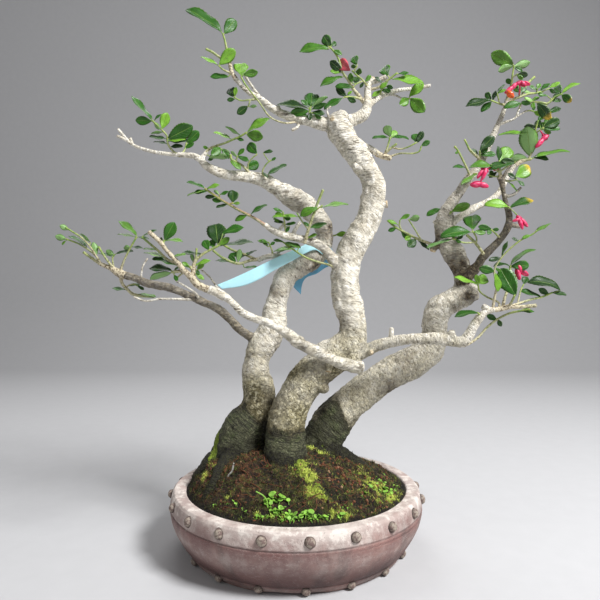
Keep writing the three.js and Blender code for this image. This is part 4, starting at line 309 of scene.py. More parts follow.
# Leaves of each shoot: foot u, v, tip u, v, seen width, then 1 or -1 where the upper or under side shows
# (upper where it isn't given), and the arch where it isn't the usual one
SHOOT_LEAVES: dict[str, Rows] = {
    "topLeftTip": ((222, 33, 185, 10, 9, 1, 0.2), (224, 34, 236, 18, 11), (219, 65, 235, 49, 11),
        (219, 66, 200, 57, 3), (229, 77, 210, 77, 5)),
    "longThinTop": ((241, 76, 241, 61, 14), (243, 75, 258, 72, 7)),
    "lowTopLeft": ((234, 97, 229, 87, 9), (235, 97, 236, 87, 4), (235, 99, 227, 100, 4),
        (248, 106, 237, 114, 7), (249, 107, 257, 106, 3, -1)),
    "trunkTopCluster": ((309, 109, 276, 105.5, 6, 1, 0.14), (309, 111, 290, 113.5, 8.5),
        (311, 107, 312, 91, 14), (311, 108, 328, 97, 5, -1), (311, 110, 327, 104, 5),
        (309, 107, 301, 100, 4), (311, 113, 325, 114, 5), (308, 116, 295, 114, 3), (311, 112, 309, 121, 5),
        (314, 113, 321, 119, 4)),
    "crownStem": ((331.5, 48, 322.5, 34.5, 9), (329, 49, 299, 52.5, 7.5, 1, 0.16), (331, 46, 337, 42, 4.5),
        (333, 50, 342, 55, 4), (328, 46.5, 327, 40, 4), (343, 72, 330, 61, 8), (341, 73, 330, 71, 4),
        (343, 77, 320, 87, 6, 1, 0.16)),
    "crownSide": ((357, 65, 352.5, 55.5, 8), (356, 71, 362, 72.5, 6), (355, 84, 357, 75.5, 7),
        (352, 83, 350, 73, 5), (357, 67, 351, 66, 3.5), (353, 87.5, 335, 87, 5), (364, 82, 360, 88, 3),
        (365, 82, 371, 75, 4)),
    "crownLow": ((347, 97, 336, 88, 6), (344, 98, 324, 109.5, 6, 1, 0.16), (347, 97.5, 356, 102, 5),
        (347, 96, 352, 91, 2.5)),
    "topRightBranchlet": ((388, 76, 383, 66, 11), (392, 79.5, 424, 83.5, 7, 1, 0.12), (398, 74, 409, 73, 3),
        (382, 83, 375, 77, 3), (388, 82, 380, 89, 4)),
    "topRightFar": ((409, 97, 423.5, 83, 8.5), (410, 98.5, 425, 112.5, 12), (409, 99, 398, 105.5, 8)),
    "topRightInner": ((381, 90, 391, 91.5, 4), (386, 86, 393, 88, 4), (382, 90, 372, 97, 4)),
    "rightStubTwigs": ((389, 138, 372, 138.5, 3, 1, 0.16), (391, 138, 409, 139.5, 3, 1, 0.18),
        (391, 137.5, 397, 130, 6), (390, 137, 386.5, 127, 8, -1), (415.5, 142.5, 415, 132.5, 7.5),
        (417, 143, 423, 131, 6), (421, 146, 430, 141, 5)),
    "lowerLeftEnd": ((66, 239, 55, 236, 6, -1), (66, 240.5, 62, 245, 2), (69, 230, 61, 226, 5, -1),
        (87, 247, 68, 236, 3.5), (96.6, 255, 93, 242, 6, -1), (91, 243, 80, 234, 2.5, -1),
        (114, 255.5, 106, 250, 5, -1), (112.5, 257, 97, 253.5, 2), (115.5, 254, 133.6, 251.3, 3),
        (130, 247.5, 122.5, 248, 5, -1), (131, 247, 143, 248.5, 2.5), (137, 236, 118, 221, 6, 1, 0.16),
        (136, 237, 117, 234.5, 2), (126, 290, 112, 288.4, 3.2), (137, 285.5, 144, 290, 3),
        (137, 237, 149, 239, 2.5), (138, 294, 156, 297, 2.5), (128, 286, 140, 285, 2.5)),
    "frontLeftEnd": ((164.5, 240.5, 174.5, 222, 11), (164.5, 241, 183, 242, 3, 1, 0.15),
        (143, 236, 157, 230, 2.5), (163, 240, 159.5, 238, 3), (156, 250, 143, 249, 2),
        (166, 259, 143, 253, 3, 1, 0.12), (173, 256.5, 186, 254.5, 2.5), (165, 260, 152, 259, 4),
        (181, 266.5, 161, 261, 4), (172, 270.5, 149, 269, 6.5, 1, 0.14),
        (172, 273, 150, 279.5, 6.5, -1, 0.14), (174, 275, 178, 281, 4), (189.5, 266, 174, 270.5, 3, 1, 0.18),
        (218, 245, 215.5, 221.5, 18), (209, 250, 203.5, 239.5, 8), (214, 248, 211, 239, 7),
        (219, 245.5, 229.5, 237.5, 6), (219, 246, 253.6, 242.4, 4, 1, 0.1), (202, 254.5, 182, 252.7, 3.5),
        (194.5, 266, 211, 260.6, 4), (195, 269, 199.6, 274.5, 3), (222, 234, 244, 227.5, 7, 1, 0.1),
        (193, 262, 191, 253.5, 3.5, -1), (190, 268, 182, 262, 4), (197, 270, 204, 262, 5),
        (195, 273, 204, 280, 4)),
    "reddishShoot": ((205, 188.5, 186, 182.4, 3, 1, 0.18), (206.5, 189.5, 220, 185, 3.5, 1, 0.18),
        (207.6, 191, 194, 193, 4), (206, 190.5, 187, 196, 2), (215, 197, 205, 197, 4),
        (222.5, 201.5, 212, 199.5, 4.5), (219, 194.8, 214, 190, 3, -1), (219.5, 195, 229, 191.5, 3),
        (233, 203, 233, 189, 10), (233.2, 203.6, 240, 203, 3), (250, 215.5, 267.5, 205, 4, 1, 0.14),
        (247.5, 215.5, 235, 221, 5, 1, 0.15), (227.5, 204.5, 216, 207.5, 3)),
    "greenCutShoot": ((318, 208, 300, 216.5, 7.5, 1, 0.22), (321, 208, 349, 205, 3.8, 1, 0.12),
        (308.5, 228.5, 327, 223.6, 5, 1, 0.1), (299, 217, 272, 217.5, 3, 1, 0.1), (303, 222, 309, 226, 3),
        (308, 238, 317, 234, 3)),
    "hiddenShoot": ((335.5, 235, 347, 233.5, 5, 1, 0.14), (333, 236, 326, 229, 4)),
    "smallForkShoot": ((282.7, 212, 273, 208.5, 3), (283, 214, 275, 214, 4), (284, 217, 291, 219, 5),
        (284.4, 222.5, 274, 221.5, 3), (284.8, 225, 296, 223, 3), (290, 226, 286, 232, 3),
        (283, 224, 273, 218.5, 3)),
    "behindTagShoot": ((236, 263, 215, 261, 3, 1, 0.1), (236, 262, 229, 255, 5), (239, 252.5, 228, 258, 5),
        (246, 255, 257, 250.5, 2), (238, 262, 240, 249, 6, -1), (240, 258, 252, 253, 2.5),
        (244, 268, 257, 267, 2.5)),
    "aboveTagShoot": ((269, 243, 257, 241, 3), (272.4, 252, 289, 249.5, 3.5, 1, 0.1),
        (270, 245, 275, 242, 3), (268, 247, 262, 239, 4)),
    "overTagTwig": ((284, 242.8, 301, 248, 4), (283.5, 242.2, 273, 240, 3), (300, 247, 277, 250.5, 4)),
    "leftUpper": ((152, 120, 131, 96, 5, 1, 0.08), (152, 121, 135.5, 120.5, 8),
        (153, 121.5, 159.5, 129.5, 4, -1), (154, 121, 162, 114, 2), (162, 129, 167, 112.5, 9),
        (167.3, 139, 193, 126, 14, 1, 0.14), (186.5, 143, 199, 131, 9), (167.3, 141, 186, 139, 5),
        (167, 139, 149, 136.5, 3.5), (164, 132, 151, 134, 2.5, -1), (168.5, 144.5, 153, 142, 2.5),
        (170, 147, 183, 146.5, 4), (168, 141.5, 188, 141, 5), (185, 148.5, 194, 142.5, 4.5)),
    "leftInner": ((247, 133, 270, 118.5, 7, 1, 0.14), (246.5, 134, 264, 137.5, 10),
        (232, 139.5, 213, 132.5, 3), (241, 136, 225, 127, 3, -1), (236, 138.5, 244, 140.5, 3),
        (221, 148, 211, 155, 8), (221, 149, 230, 153.5, 3.4, -1), (209, 149, 203, 146.5, 3),
        (222, 149, 229, 159, 5), (231, 158, 209, 157.5, 5.5, -1), (214, 158, 208, 160, 3)),
    "archTwig": ((230, 161, 241, 169.5, 5), (237.5, 156, 244.5, 148.5, 4), (237.4, 156.5, 249, 161, 4.5),
        (237, 157, 230.5, 151.5, 3, -1), (257, 154, 247, 142.5, 9.5), (246, 168, 259, 163.5, 9)),
    "archShoot": ((263, 153, 273, 151.5, 3.4, 1, 0.14), (271, 161, 276, 157.5, 2.5),
        (266.5, 176, 287, 165, 4.4, 1, 0.12), (262.7, 172, 268, 178, 2.5)),
    "gapShoot": ((398, 225, 387, 220.5, 3, 1, 0.16), (400, 219.5, 410, 214.5, 4),
        (409, 219.5, 418.5, 217.5, 6, -1), (396.5, 228, 388, 231, 4), (401, 231, 408, 239, 4.5),
        (411, 236.5, 404, 240, 5), (416, 239.5, 407, 248, 8), (418, 241, 429, 250, 3.4)),
    "heartShoot": ((472.3, 230, 472, 214, 16), (472, 232.5, 440, 237.5, 10, 1, 0.22),
        (473, 232, 486, 233, 5), (453, 239, 426.5, 249, 3.6, 1, 0.12), (455, 239.5, 461, 242.5, 3),
        (454, 238.8, 452, 233.5, 4), (456, 239, 463, 236, 3.5)),
    "darkRightPair": ((491.5, 229, 478, 226.5, 6), (491, 230, 487, 235, 4.5), (492, 229.5, 499, 229.5, 3.4)),
    "trunkRightPair": ((441.5, 209, 426.5, 216, 5.5, 1, 0.14),),
    "forkLeaves": ((451.5, 212, 470, 204.5, 8, 1, 0.12),),
    "cutTwigRight": ((466, 168, 452.5, 167.5, 3, 1, 0.16), (458.5, 152, 454.5, 153.5, 2.5)),
    "darkLeafRight": ((477, 174, 461, 185.5, 4.5, 1, 0.14),),
    "upperTwigRight": ((479.5, 151, 494, 136, 9, 1, 0.12), (480, 152.5, 488, 148.5, 4.5),
        (480, 155, 496, 154.5, 5), (478.5, 154.5, 471.5, 149, 3)),
    "nodeCluster": ((495, 168.5, 469, 168, 6, 1, 0.26), (499.2, 161.5, 512, 145.5, 13),
        (515, 162, 501, 160.5, 6), (515.5, 163, 488.5, 170, 7, 1, 0.2), (498.5, 161.5, 498, 146, 5),
        (489, 175, 493.5, 170.5, 4), (497, 172, 489, 178, 4)),
    "sideNodeShoot": ((515, 177.5, 532.5, 165.5, 13, 1, 0.1), (516.5, 179, 507.5, 173.5, 4),
        (517, 180.3, 524.5, 186, 3), (508, 181.5, 517, 192, 1.6)),
    "whiteTip": ((529, 159, 511.5, 157.5, 8, -1, 0.18), (530.5, 157, 527, 129, 16, -1),
        (532, 158.6, 570, 152, 3.4, 1, 0.1), (532.5, 157.5, 549, 159.5, 4.5), (543, 127.5, 560, 120, 9),
        (536, 127, 524, 126.4, 5.5), (543, 127.2, 535.5, 122.5, 7), (543.5, 128.5, 560, 129, 5),
        (543, 129, 551, 133.5, 4), (541, 131, 545, 121, 6), (538, 137, 532, 129, 3.5),
        (544, 125, 551, 116, 6), (534.6, 134, 498, 135.6, 2.6), (533.8, 136, 520, 131, 4),
        (537.5, 122, 546, 112.5, 5)),
    "budPair": ((509, 207, 484, 205, 8, 1, 0.2), (509.8, 207.8, 534, 200.5, 7, 1, 0.16)),
    "topShoot": ((513.7, 64.5, 491, 53, 12.5), (513.7, 66, 498, 71, 6.5, -1, 0.14),
        (514.3, 66, 530.5, 62.4, 7.5, -1, 0.12), (514, 67.5, 522.5, 71.5, 3.5), (517.5, 74, 528, 75, 5.5),
        (517, 75, 523, 79.5, 3.5), (512.5, 84, 506, 79.5, 4.5)),
    "topLeftLeaves": ((491.5, 100.4, 465.5, 107, 7, 1, 0.18), (492, 101.2, 481, 112, 6),
        (491.5, 99.8, 485.5, 92.5, 5.5), (497, 93.5, 505, 84.5, 2.6), (497.2, 94, 506, 89.5, 3),
        (493, 101, 496, 90.5, 4)),
    "topRightSpray": ((519.5, 92.5, 514.5, 86.5, 5.5), (519.8, 92.5, 526.5, 86, 5.5),
        (537.5, 89, 540, 82.5, 4.5), (540, 91, 550, 83.5, 4), (549, 88.5, 560, 82.3, 4),
        (549, 89, 556, 92.5, 4), (537, 90, 529, 86, 3), (538, 92.5, 543, 96, 3.5),
        (531, 93.5, 523, 91, 2.6)),
    "lowerSpray": ((561.8, 94, 580.5, 83.5, 4, 1, 0.2), (561.5, 93.5, 555.5, 87, 8),
        (561.8, 94.5, 571, 101.5, 7), (537, 102.5, 550, 119.5, 9.5, 1, 0.12), (551, 101, 561.5, 100.5, 3.5),
        (552, 99.5, 560, 91.5, 3), (522, 103.5, 503.5, 108.5, 6.5, 1, 0.22), (533, 102, 524, 98, 3),
        (531, 101.8, 539.5, 97, 3.2), (550, 101.5, 558, 96, 2.5), (533, 102.2, 533, 109, 4),
        (547, 113.5, 561, 108, 5), (531, 104, 521, 102, 4.5), (548, 96, 538, 95, 2.5)),
    "bentTwigLeaves": ((533.5, 111.5, 541, 114.5, 4.5), (533, 111.2, 534.5, 105.5, 3)),
    "frontRightEnd": ((516, 296, 501, 269.5, 17), (494.5, 271.5, 479, 268, 8, 1, 0.1),
        (494.4, 272, 498, 292, 6), (478, 284.5, 453.5, 277.5, 4.2, 1, 0.1), (478, 284, 487.5, 275.5, 10),
        (478.5, 284, 476, 274.5, 5), (561, 291, 527, 283, 8.5, 1, 0.3), (541, 297, 519, 291.5, 4.6, 1, 0.08),
        (549, 294.5, 538.5, 288.5, 5.5), (551, 293, 566.5, 295, 4), (510, 266, 536, 249.5, 4.4, 1, 0.14),
        (510.5, 266, 529, 265, 9, 1, 0.3), (523.5, 284.5, 526.5, 276, 6.5),
        (510, 266.5, 493, 267, 3, 1, 0.3), (501, 258, 488.6, 260.7, 4.6, 1, 0.12),
        (533, 234, 551.5, 223.6, 3.2, 1, 0.1), (531, 235, 522, 239, 3.5), (519, 241.2, 511.5, 238, 2.6),
        (502, 256, 508, 241, 3.5), (495, 268, 501, 271.5, 3)),
    "lowRightTwig": ((518, 311.5, 534.5, 311.8, 4), (498, 319.5, 501, 326, 4.4),
        (497, 319.7, 486.5, 315, 5.5)),
    "frontRightLeaf": ((478, 313, 454.5, 317.5, 5.5, 1, 0.16),),
}
# Stalks of the capsules: u, v, depth
FRUIT_STALKS: dict[str, Rows] = {
    "fruitTop": ((519, 95, 14), (520, 88, 5), (519, 83, 2)),
    "fruitMiddleRight": ((540, 130, 25), (544.5, 137, 26.5)),
    "fruitHanging": ((494.5, 167, -33), (489, 168, -36), (486, 169, -37)),
    "fruitSmall": ((499.5, 173, -29), (497.5, 170.5, -24)),
    "fruitBelow": ((517, 215, -32), (518.5, 218, -32)),
    "fruitFrontRight": ((515, 268, -31), (517, 268, -31)),
}
# Lobes of the capsules: u and v of either end, width, depth
FRUIT_LOBES: dict[str, Rows] = {
    "fruitTop": ((515.5, 84.5, 521.5, 81.5, 4.4, 2), (520.5, 82, 525, 85.5, 5, 1.5),
        (523, 82.4, 529.2, 84.5, 4.4, 2.5), (516, 83.8, 511.5, 88.5, 4.6, 1.5),
        (512.8, 87, 505.5, 92.5, 5.2, 1)),
    "fruitMiddleRight": ((548, 135.5, 540.5, 141.5, 5.4, 26), (543.5, 139, 536, 147, 5.2, 25),
        (543, 134.5, 546.5, 139, 5, 28)),
    "fruitHanging": ((484, 168.5, 477.5, 178, 4.4, -38), (486.5, 168.5, 482, 179.5, 4.4, -40),
        (482, 168.5, 487.5, 171.5, 5, -38), (471.5, 184.5, 481.5, 184, 7, -39),
        (478.5, 184, 487.5, 186.5, 5.6, -40), (482, 177, 480.5, 183, 2.2, -40)),
    "fruitSmall": ((498.5, 167.5, 494.5, 169.5, 5, -24),),
    "fruitBelow": ((518.5, 217.5, 522.5, 229, 4.6, -33), (520, 218, 527.5, 226.5, 4.6, -31),
        (519.5, 219, 513, 221, 3.4, -33), (517, 217, 521.5, 219.5, 5, -31)),
    "fruitFrontRight": ((518, 265, 520.5, 272, 6.5, -31), (516.5, 268.5, 519.5, 279, 5.6, -32),
        (520, 270, 527.5, 275, 5.6, -30)),
}
# The label's edges: u and v of the upper one, u and v of the lower one, depth
TAG_EDGES: Rows = (
    (217, 285, 222, 289, -11), (238, 276, 243, 286, -10), (255, 268, 259, 279.5, -9),
    (273, 259, 275, 270, -5.8), (291, 251, 293, 260.5, -1.5), (302, 246, 306, 253, 5.1),
    (311, 242.5, 315, 250, 9.1), (321, 243.5, 322, 254, 11.1), (331, 248.5, 329, 259, 19.1),
    (334, 254, 331, 262.5, 29), (331, 256.5, 330, 265.5, 38), (322, 259.5, 325, 268, 43),
    (313, 264.5, 317, 273.5, 43), (302, 270.5, 306, 278, 42), (297, 278.5, 302, 285, 40),
    (293.6, 287, 300.8, 294.5, 38),
)
# The wire's axis: x from the pot's axis, y, z in millimetres
WIRE_PATH: Rows = (
    (-76, -60, 82), (-75.5, -62, 92), (-74, -64, 99), (-70, -64, 104), (-68.7, -63, 112.5),
)

# Tips of the leaves that have turned yellow
GOLD_TIPS = ((550.0, 118.0), (571.0, 101.0), (533.0, 166.0), (533.0, 200.0))


def sight(rows: np.ndarray) -> np.ndarray:
    """Place of readings: the eye plus the ray through (u, v), lengthened by 1 + depth / eye distance.

    Args:
        rows: Readings, one a row, as u, v and a depth in millimetres.

    Returns:
        Points in metres, one a row.
    """
    rays = np.stack(
        (
            METRES_PER_UNIT * (rows[:, 0] - PICTURE_CENTRE),
            np.full(len(rows), -EYE[1]),
            METRES_PER_UNIT * (PICTURE_CENTRE - rows[:, 1]),
        ),
        axis=1,
    )
    return EYE + rays * (1 - MM * rows[:, 2] / EYE[1])[:, None]


def seen_size(units: np.ndarray, depths: np.ndarray) -> np.ndarray:
    """Size in metres of something seen units wide at a depth in millimetres."""
    return units * METRES_PER_UNIT * (1 - MM * depths / EYE[1])


def unit(vectors: np.ndarray) -> np.ndarray:
    """The vectors, each divided by its length."""
    return vectors / np.maximum(np.linalg.norm(vectors, axis=-1, keepdims=True), SHORTEST)


def scatter(points: np.ndarray, seed: int) -> np.ndarray:
    """A number from 0 to 1 for each whole lattice point: the fraction of a large sine of its coordinates."""
    key = points @ SCATTER_WAY + SCATTER_STEP * seed
    return np.modf(np.abs(np.sin(key) * SCATTER_SCALE))[0]


def lattice_noise(points: np.ndarray, seed: int) -> np.ndarray:
    """Smooth noise from -1 to 1: random values on a unit lattice, blended by 3t^2 - 2t^3 on each axis.

    Args:
        points: Places, one a row, in lattice cells.
        seed: Which noise.

    Returns:
        One value a place.
    """
    cell = np.floor(points)
    blend = points - cell
    blend = blend * blend * (3 - 2 * blend)
    total = np.zeros(len(points))
    for corner in np.ndindex(2, 2, 2):
        weight = np.prod(np.where(corner, blend, 1 - blend), axis=1)
        total += weight * scatter(cell + corner, seed)
    return 2 * total - 1


def layered_noise(points: np.ndarray, seed: int, layers: int = 3) -> np.ndarray:
    """Sum of lattice noises, each twice as fine and half as strong as the one before."""
    return sum(lattice_noise(points * 2**k, seed + 7 * k) * 0.5**k for k in range(layers))


def full_turn(count: int) -> np.ndarray:
    """Angles all the way round, evenly, as many as the count."""
    return np.linspace(0, 2 * np.pi, count, endpoint=False)


def around(angles: np.ndarray, radius: np.ndarray, height: np.ndarray) -> np.ndarray:
    """Points round the z axis at a radius and a height; the angle 0 faces the viewer."""
    return np.stack((np.sin(angles) * radius, -np.cos(angles) * radius, height), axis=-1)


def path_run(path: np.ndarray) -> np.ndarray:
    """Distance along a path to each of its stations."""
    return np.concatenate(((0,), np.cumsum(np.linalg.norm(np.diff(path, axis=0), axis=1))))


def smooth_rows(rows: np.ndarray, step: float) -> np.ndarray:
    """Even readings along the smooth curve through rows.

    Between two rows the curve is the cubic that passes both, and its slope at a row is the chord between the
    row's neighbours over the distance between them.

    Args:
        rows: Values, one row a station; the first three are its place.
        step: Spacing of the new rows.

    Returns:
        New rows, the first and last as given.
    """
    chords = np.linalg.norm(np.diff(rows[:, :3], axis=0), axis=1)
    run = path_run(rows[:, :3])
    slopes = np.empty_like(rows)
    slopes[1:-1] = (rows[2:] - rows[:-2]) / (run[2:] - run[:-2])[:, None]
    slopes[0] = (rows[1] - rows[0]) / chords[0]
    slopes[-1] = (rows[-1] - rows[-2]) / chords[-1]
    places = np.linspace(0, run[-1], max(int(round(run[-1] / step)), 2) + 1)
    left = np.clip(np.searchsorted(run, places, side="right") - 1, 0, len(rows) - 2)
    span = chords[left][:, None]
    t = (places - run[left])[:, None] / span
    return (
        rows[left] * (2 * t**3 - 3 * t**2 + 1)
        + slopes[left] * span * (t**3 - 2 * t**2 + t)
        + rows[left + 1] * (3 * t**2 - 2 * t**3)
        + slopes[left + 1] * span * (t**3 - t**2)
    )


@dataclass
class Shell:
    """Points and faces of one or more closed surfaces, with values carried by the points."""

    points: np.ndarray
    faces: list[tuple[int, ...]]
    values: dict[str, np.ndarray] = field(default_factory=dict)

    def with_value(self, name: str, value: float | np.ndarray) -> "Shell":
        """This shell, carrying a value at each point."""
        self.values[name] = np.broadcast_to(np.asarray(value, float), (len(self.points),)).copy()
        return self


def face_list(index: np.ndarray) -> list[tuple[int, ...]]:
    """Faces given as rows of point numbers, each as a tuple."""
    return [tuple(face) for face in index.tolist()]


def joined(shells: list[Shell]) -> Shell:
    """All shells as one; a value that one of them lacks is 0 there.

    Args:
        shells: The surfaces, in order.

    Returns:
        One shell of them all.
    """
    names = sorted({name for shell in shells for name in shell.values})
    starts = np.cumsum([0] + [len(shell.points) for shell in shells])
    faces = [tuple(i + start for i in face) for shell, start in zip(shells, starts) for face in shell.faces]
    values = {
        name: np.concatenate([shell.values.get(name, np.zeros(len(shell.points))) for shell in shells])
        for name in names
    }
    return Shell(np.concatenate([shell.points for shell in shells]), faces, values)


def closed_rings(rings: np.ndarray, start: np.ndarray | Place, end: np.ndarray | Place) -> Shell:
    """A closed surface of rings, one after the other, with a pole at either end.

    Args:
        rings: Ring points, shaped (rings, round, 3), turning about the way from start to end.
        start: Pole before the first ring.
        end: Pole after the last ring.

    Returns:
        The surface, faces outwards.
    """
    count, sides, _ = rings.shape
    index = np.arange(count * sides).reshape(count, sides)
    turned = np.roll(index, -1, axis=1)
    walls = np.stack((index[:-1], turned[:-1], turned[1:], index[1:]), axis=-1).reshape(-1, 4)
    low, high = count * sides, count * sides + 1
    floor = [(low, b, a) for a, b in zip(index[0].tolist(), turned[0].tolist())]
    roof = [(high, a, b) for a, b in zip(index[-1].tolist(), turned[-1].tolist())]
    points = np.concatenate((rings.reshape(-1, 3), (start, end)))
    return Shell(points, face_list(walls) + floor + roof)


def carried_frames(path: np.ndarray) -> tuple[np.ndarray, np.ndarray, np.ndarray]:
    """Directions along and across a path that turn with it as little as they can.

    Args:
        path: Stations, one a row.

    Returns:
        Unit vectors along, across, and square to both, one a station.
    """
    along = unit(np.gradient(path, axis=0))
    across = np.empty_like(along)
    side = np.cross(along[0], (0.0, 0.0, 1.0))
    if np.linalg.norm(side) < 0.2:
        side = np.cross(along[0], (0.0, 1.0, 0.0))
    for i, direction in enumerate(along):
        side = side - direction * (side @ direction)
        side = side / np.linalg.norm(side)
        across[i] = side
    return along, across, np.cross(along, across)


def swept_tube(path: np.ndarray, radii: np.ndarray, sides: int, dome: float = 0.25) -> Shell:
    """A tube: centre + radius (cos a across + sin a third) for the angle a, at each station of a path.

    Args:
        path: Stations, one a row.
        radii: Radius at each station, or at each station and angle.
        sides: Points round it.
        dome: How far its ends stand out, as a share of the radius.

    Returns:
        The closed tube, carrying its run (0 to 1) and its turn (radians).
    """
    along, across, third = carried_frames(path)
    angles = full_turn(sides)
    spokes = np.cos(angles)[None, :, None] * across[:, None] + np.sin(angles)[None, :, None] * third[:, None]
    reach = np.broadcast_to(np.asarray(radii).reshape(len(path), -1), (len(path), sides))
    rings = path[:, None] + spokes * reach[..., None]
    shell = closed_rings(
        rings,
        path[0] - along[0] * reach[0].mean() * dome,
        path[-1] + along[-1] * reach[-1].mean() * dome,
    )
    run = np.repeat(np.linspace(0, 1, len(path)), sides)
    shell.with_value("run", np.concatenate((run, (0, 1))))
    return shell


def gap_to_path(points: np.ndarray, path: np.ndarray) -> np.ndarray:
    """Distance from each point to the nearest station of a path, both seen from above.

    Args:
        points: Places, one a row.
        path: Corners of the path, as x and y.

    Returns:
        One distance a point.
    """
    run = np.linspace(0, len(path) - 1, 8 * len(path))
    dense = np.stack([np.interp(run, np.arange(len(path)), path[:, axis]) for axis in (0, 1)], axis=1)
    best = np.full(len(points), np.inf)
    for x, y in dense:
        best = np.minimum(best, np.hypot(points[:, 0] - x, points[:, 1] - y))
    return best


def mesh_of(name: str, shell: Shell) -> bpy.types.Mesh:
    """A bare mesh with the points and faces of a shell."""
    mesh = bpy.data.meshes.new(name)
    mesh.from_pydata(shell.points.tolist(), [], shell.faces)
    return mesh


def linked(name: str, data: bpy.types.ID) -> bpy.types.Object:
    """A new object with its data, in the scene."""
    thing = bpy.data.objects.new(name, data)
    bpy.context.scene.collection.objects.link(thing)
    return thing


def make_piece(
    name: str, shell: Shell, finishes: list[bpy.types.Material], node: str
) -> bpy.types.Object:
    """A piece of the object from a shell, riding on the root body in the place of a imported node.

    Args:
        name: Name of the piece.
        shell: Its surface; a value named "finish" picks the material of a face by its first point, and
            values named "u" and "v" become its texture map.
        finishes: Its materials.
        node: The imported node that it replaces.

    Returns:
        The linked object.
    """
    mesh = mesh_of(name, shell)
    mesh.polygons.foreach_set("use_smooth", np.ones(len(mesh.polygons), bool))
    for finish in finishes:
        mesh.materials.append(finish)
    values = dict(shell.values)
    if "finish" in values:
        picks = values.pop("finish")
        firsts = np.array([face[0] for face in shell.faces])
        mesh.polygons.foreach_set("material_index", picks[firsts].astype(np.int32))
    if "u" in values and "v" in values:
        corners = np.empty(len(mesh.loops), np.int32)
        mesh.loops.foreach_get("vertex_index", corners)
        chart = np.stack((values.pop("u")[corners], values.pop("v")[corners]), axis=1)
        mesh.uv_layers.new(name="UVMap").data.foreach_set("uv", chart.astype(np.float32).ravel())
    for key, value in values.items():
        layer = mesh.attributes.new(key, "FLOAT", "POINT")
        layer.data.foreach_set("value", value.astype(np.float32))
    mesh.update()
    piece = linked(name, mesh)
    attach(piece, "root")
    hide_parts(node)
    report(piece)
    return piece


def report(piece: bpy.types.Object) -> None:
    """Tells the log what a finished piece is, and its reach from left to right in millimetres."""
    low, high = (end(corner[0] for corner in piece.bound_box) / MM for end in (min, max))
    logging.info("%s: %d faces, %.0f to %.0f", piece.name, len(piece.data.polygons), low, high)


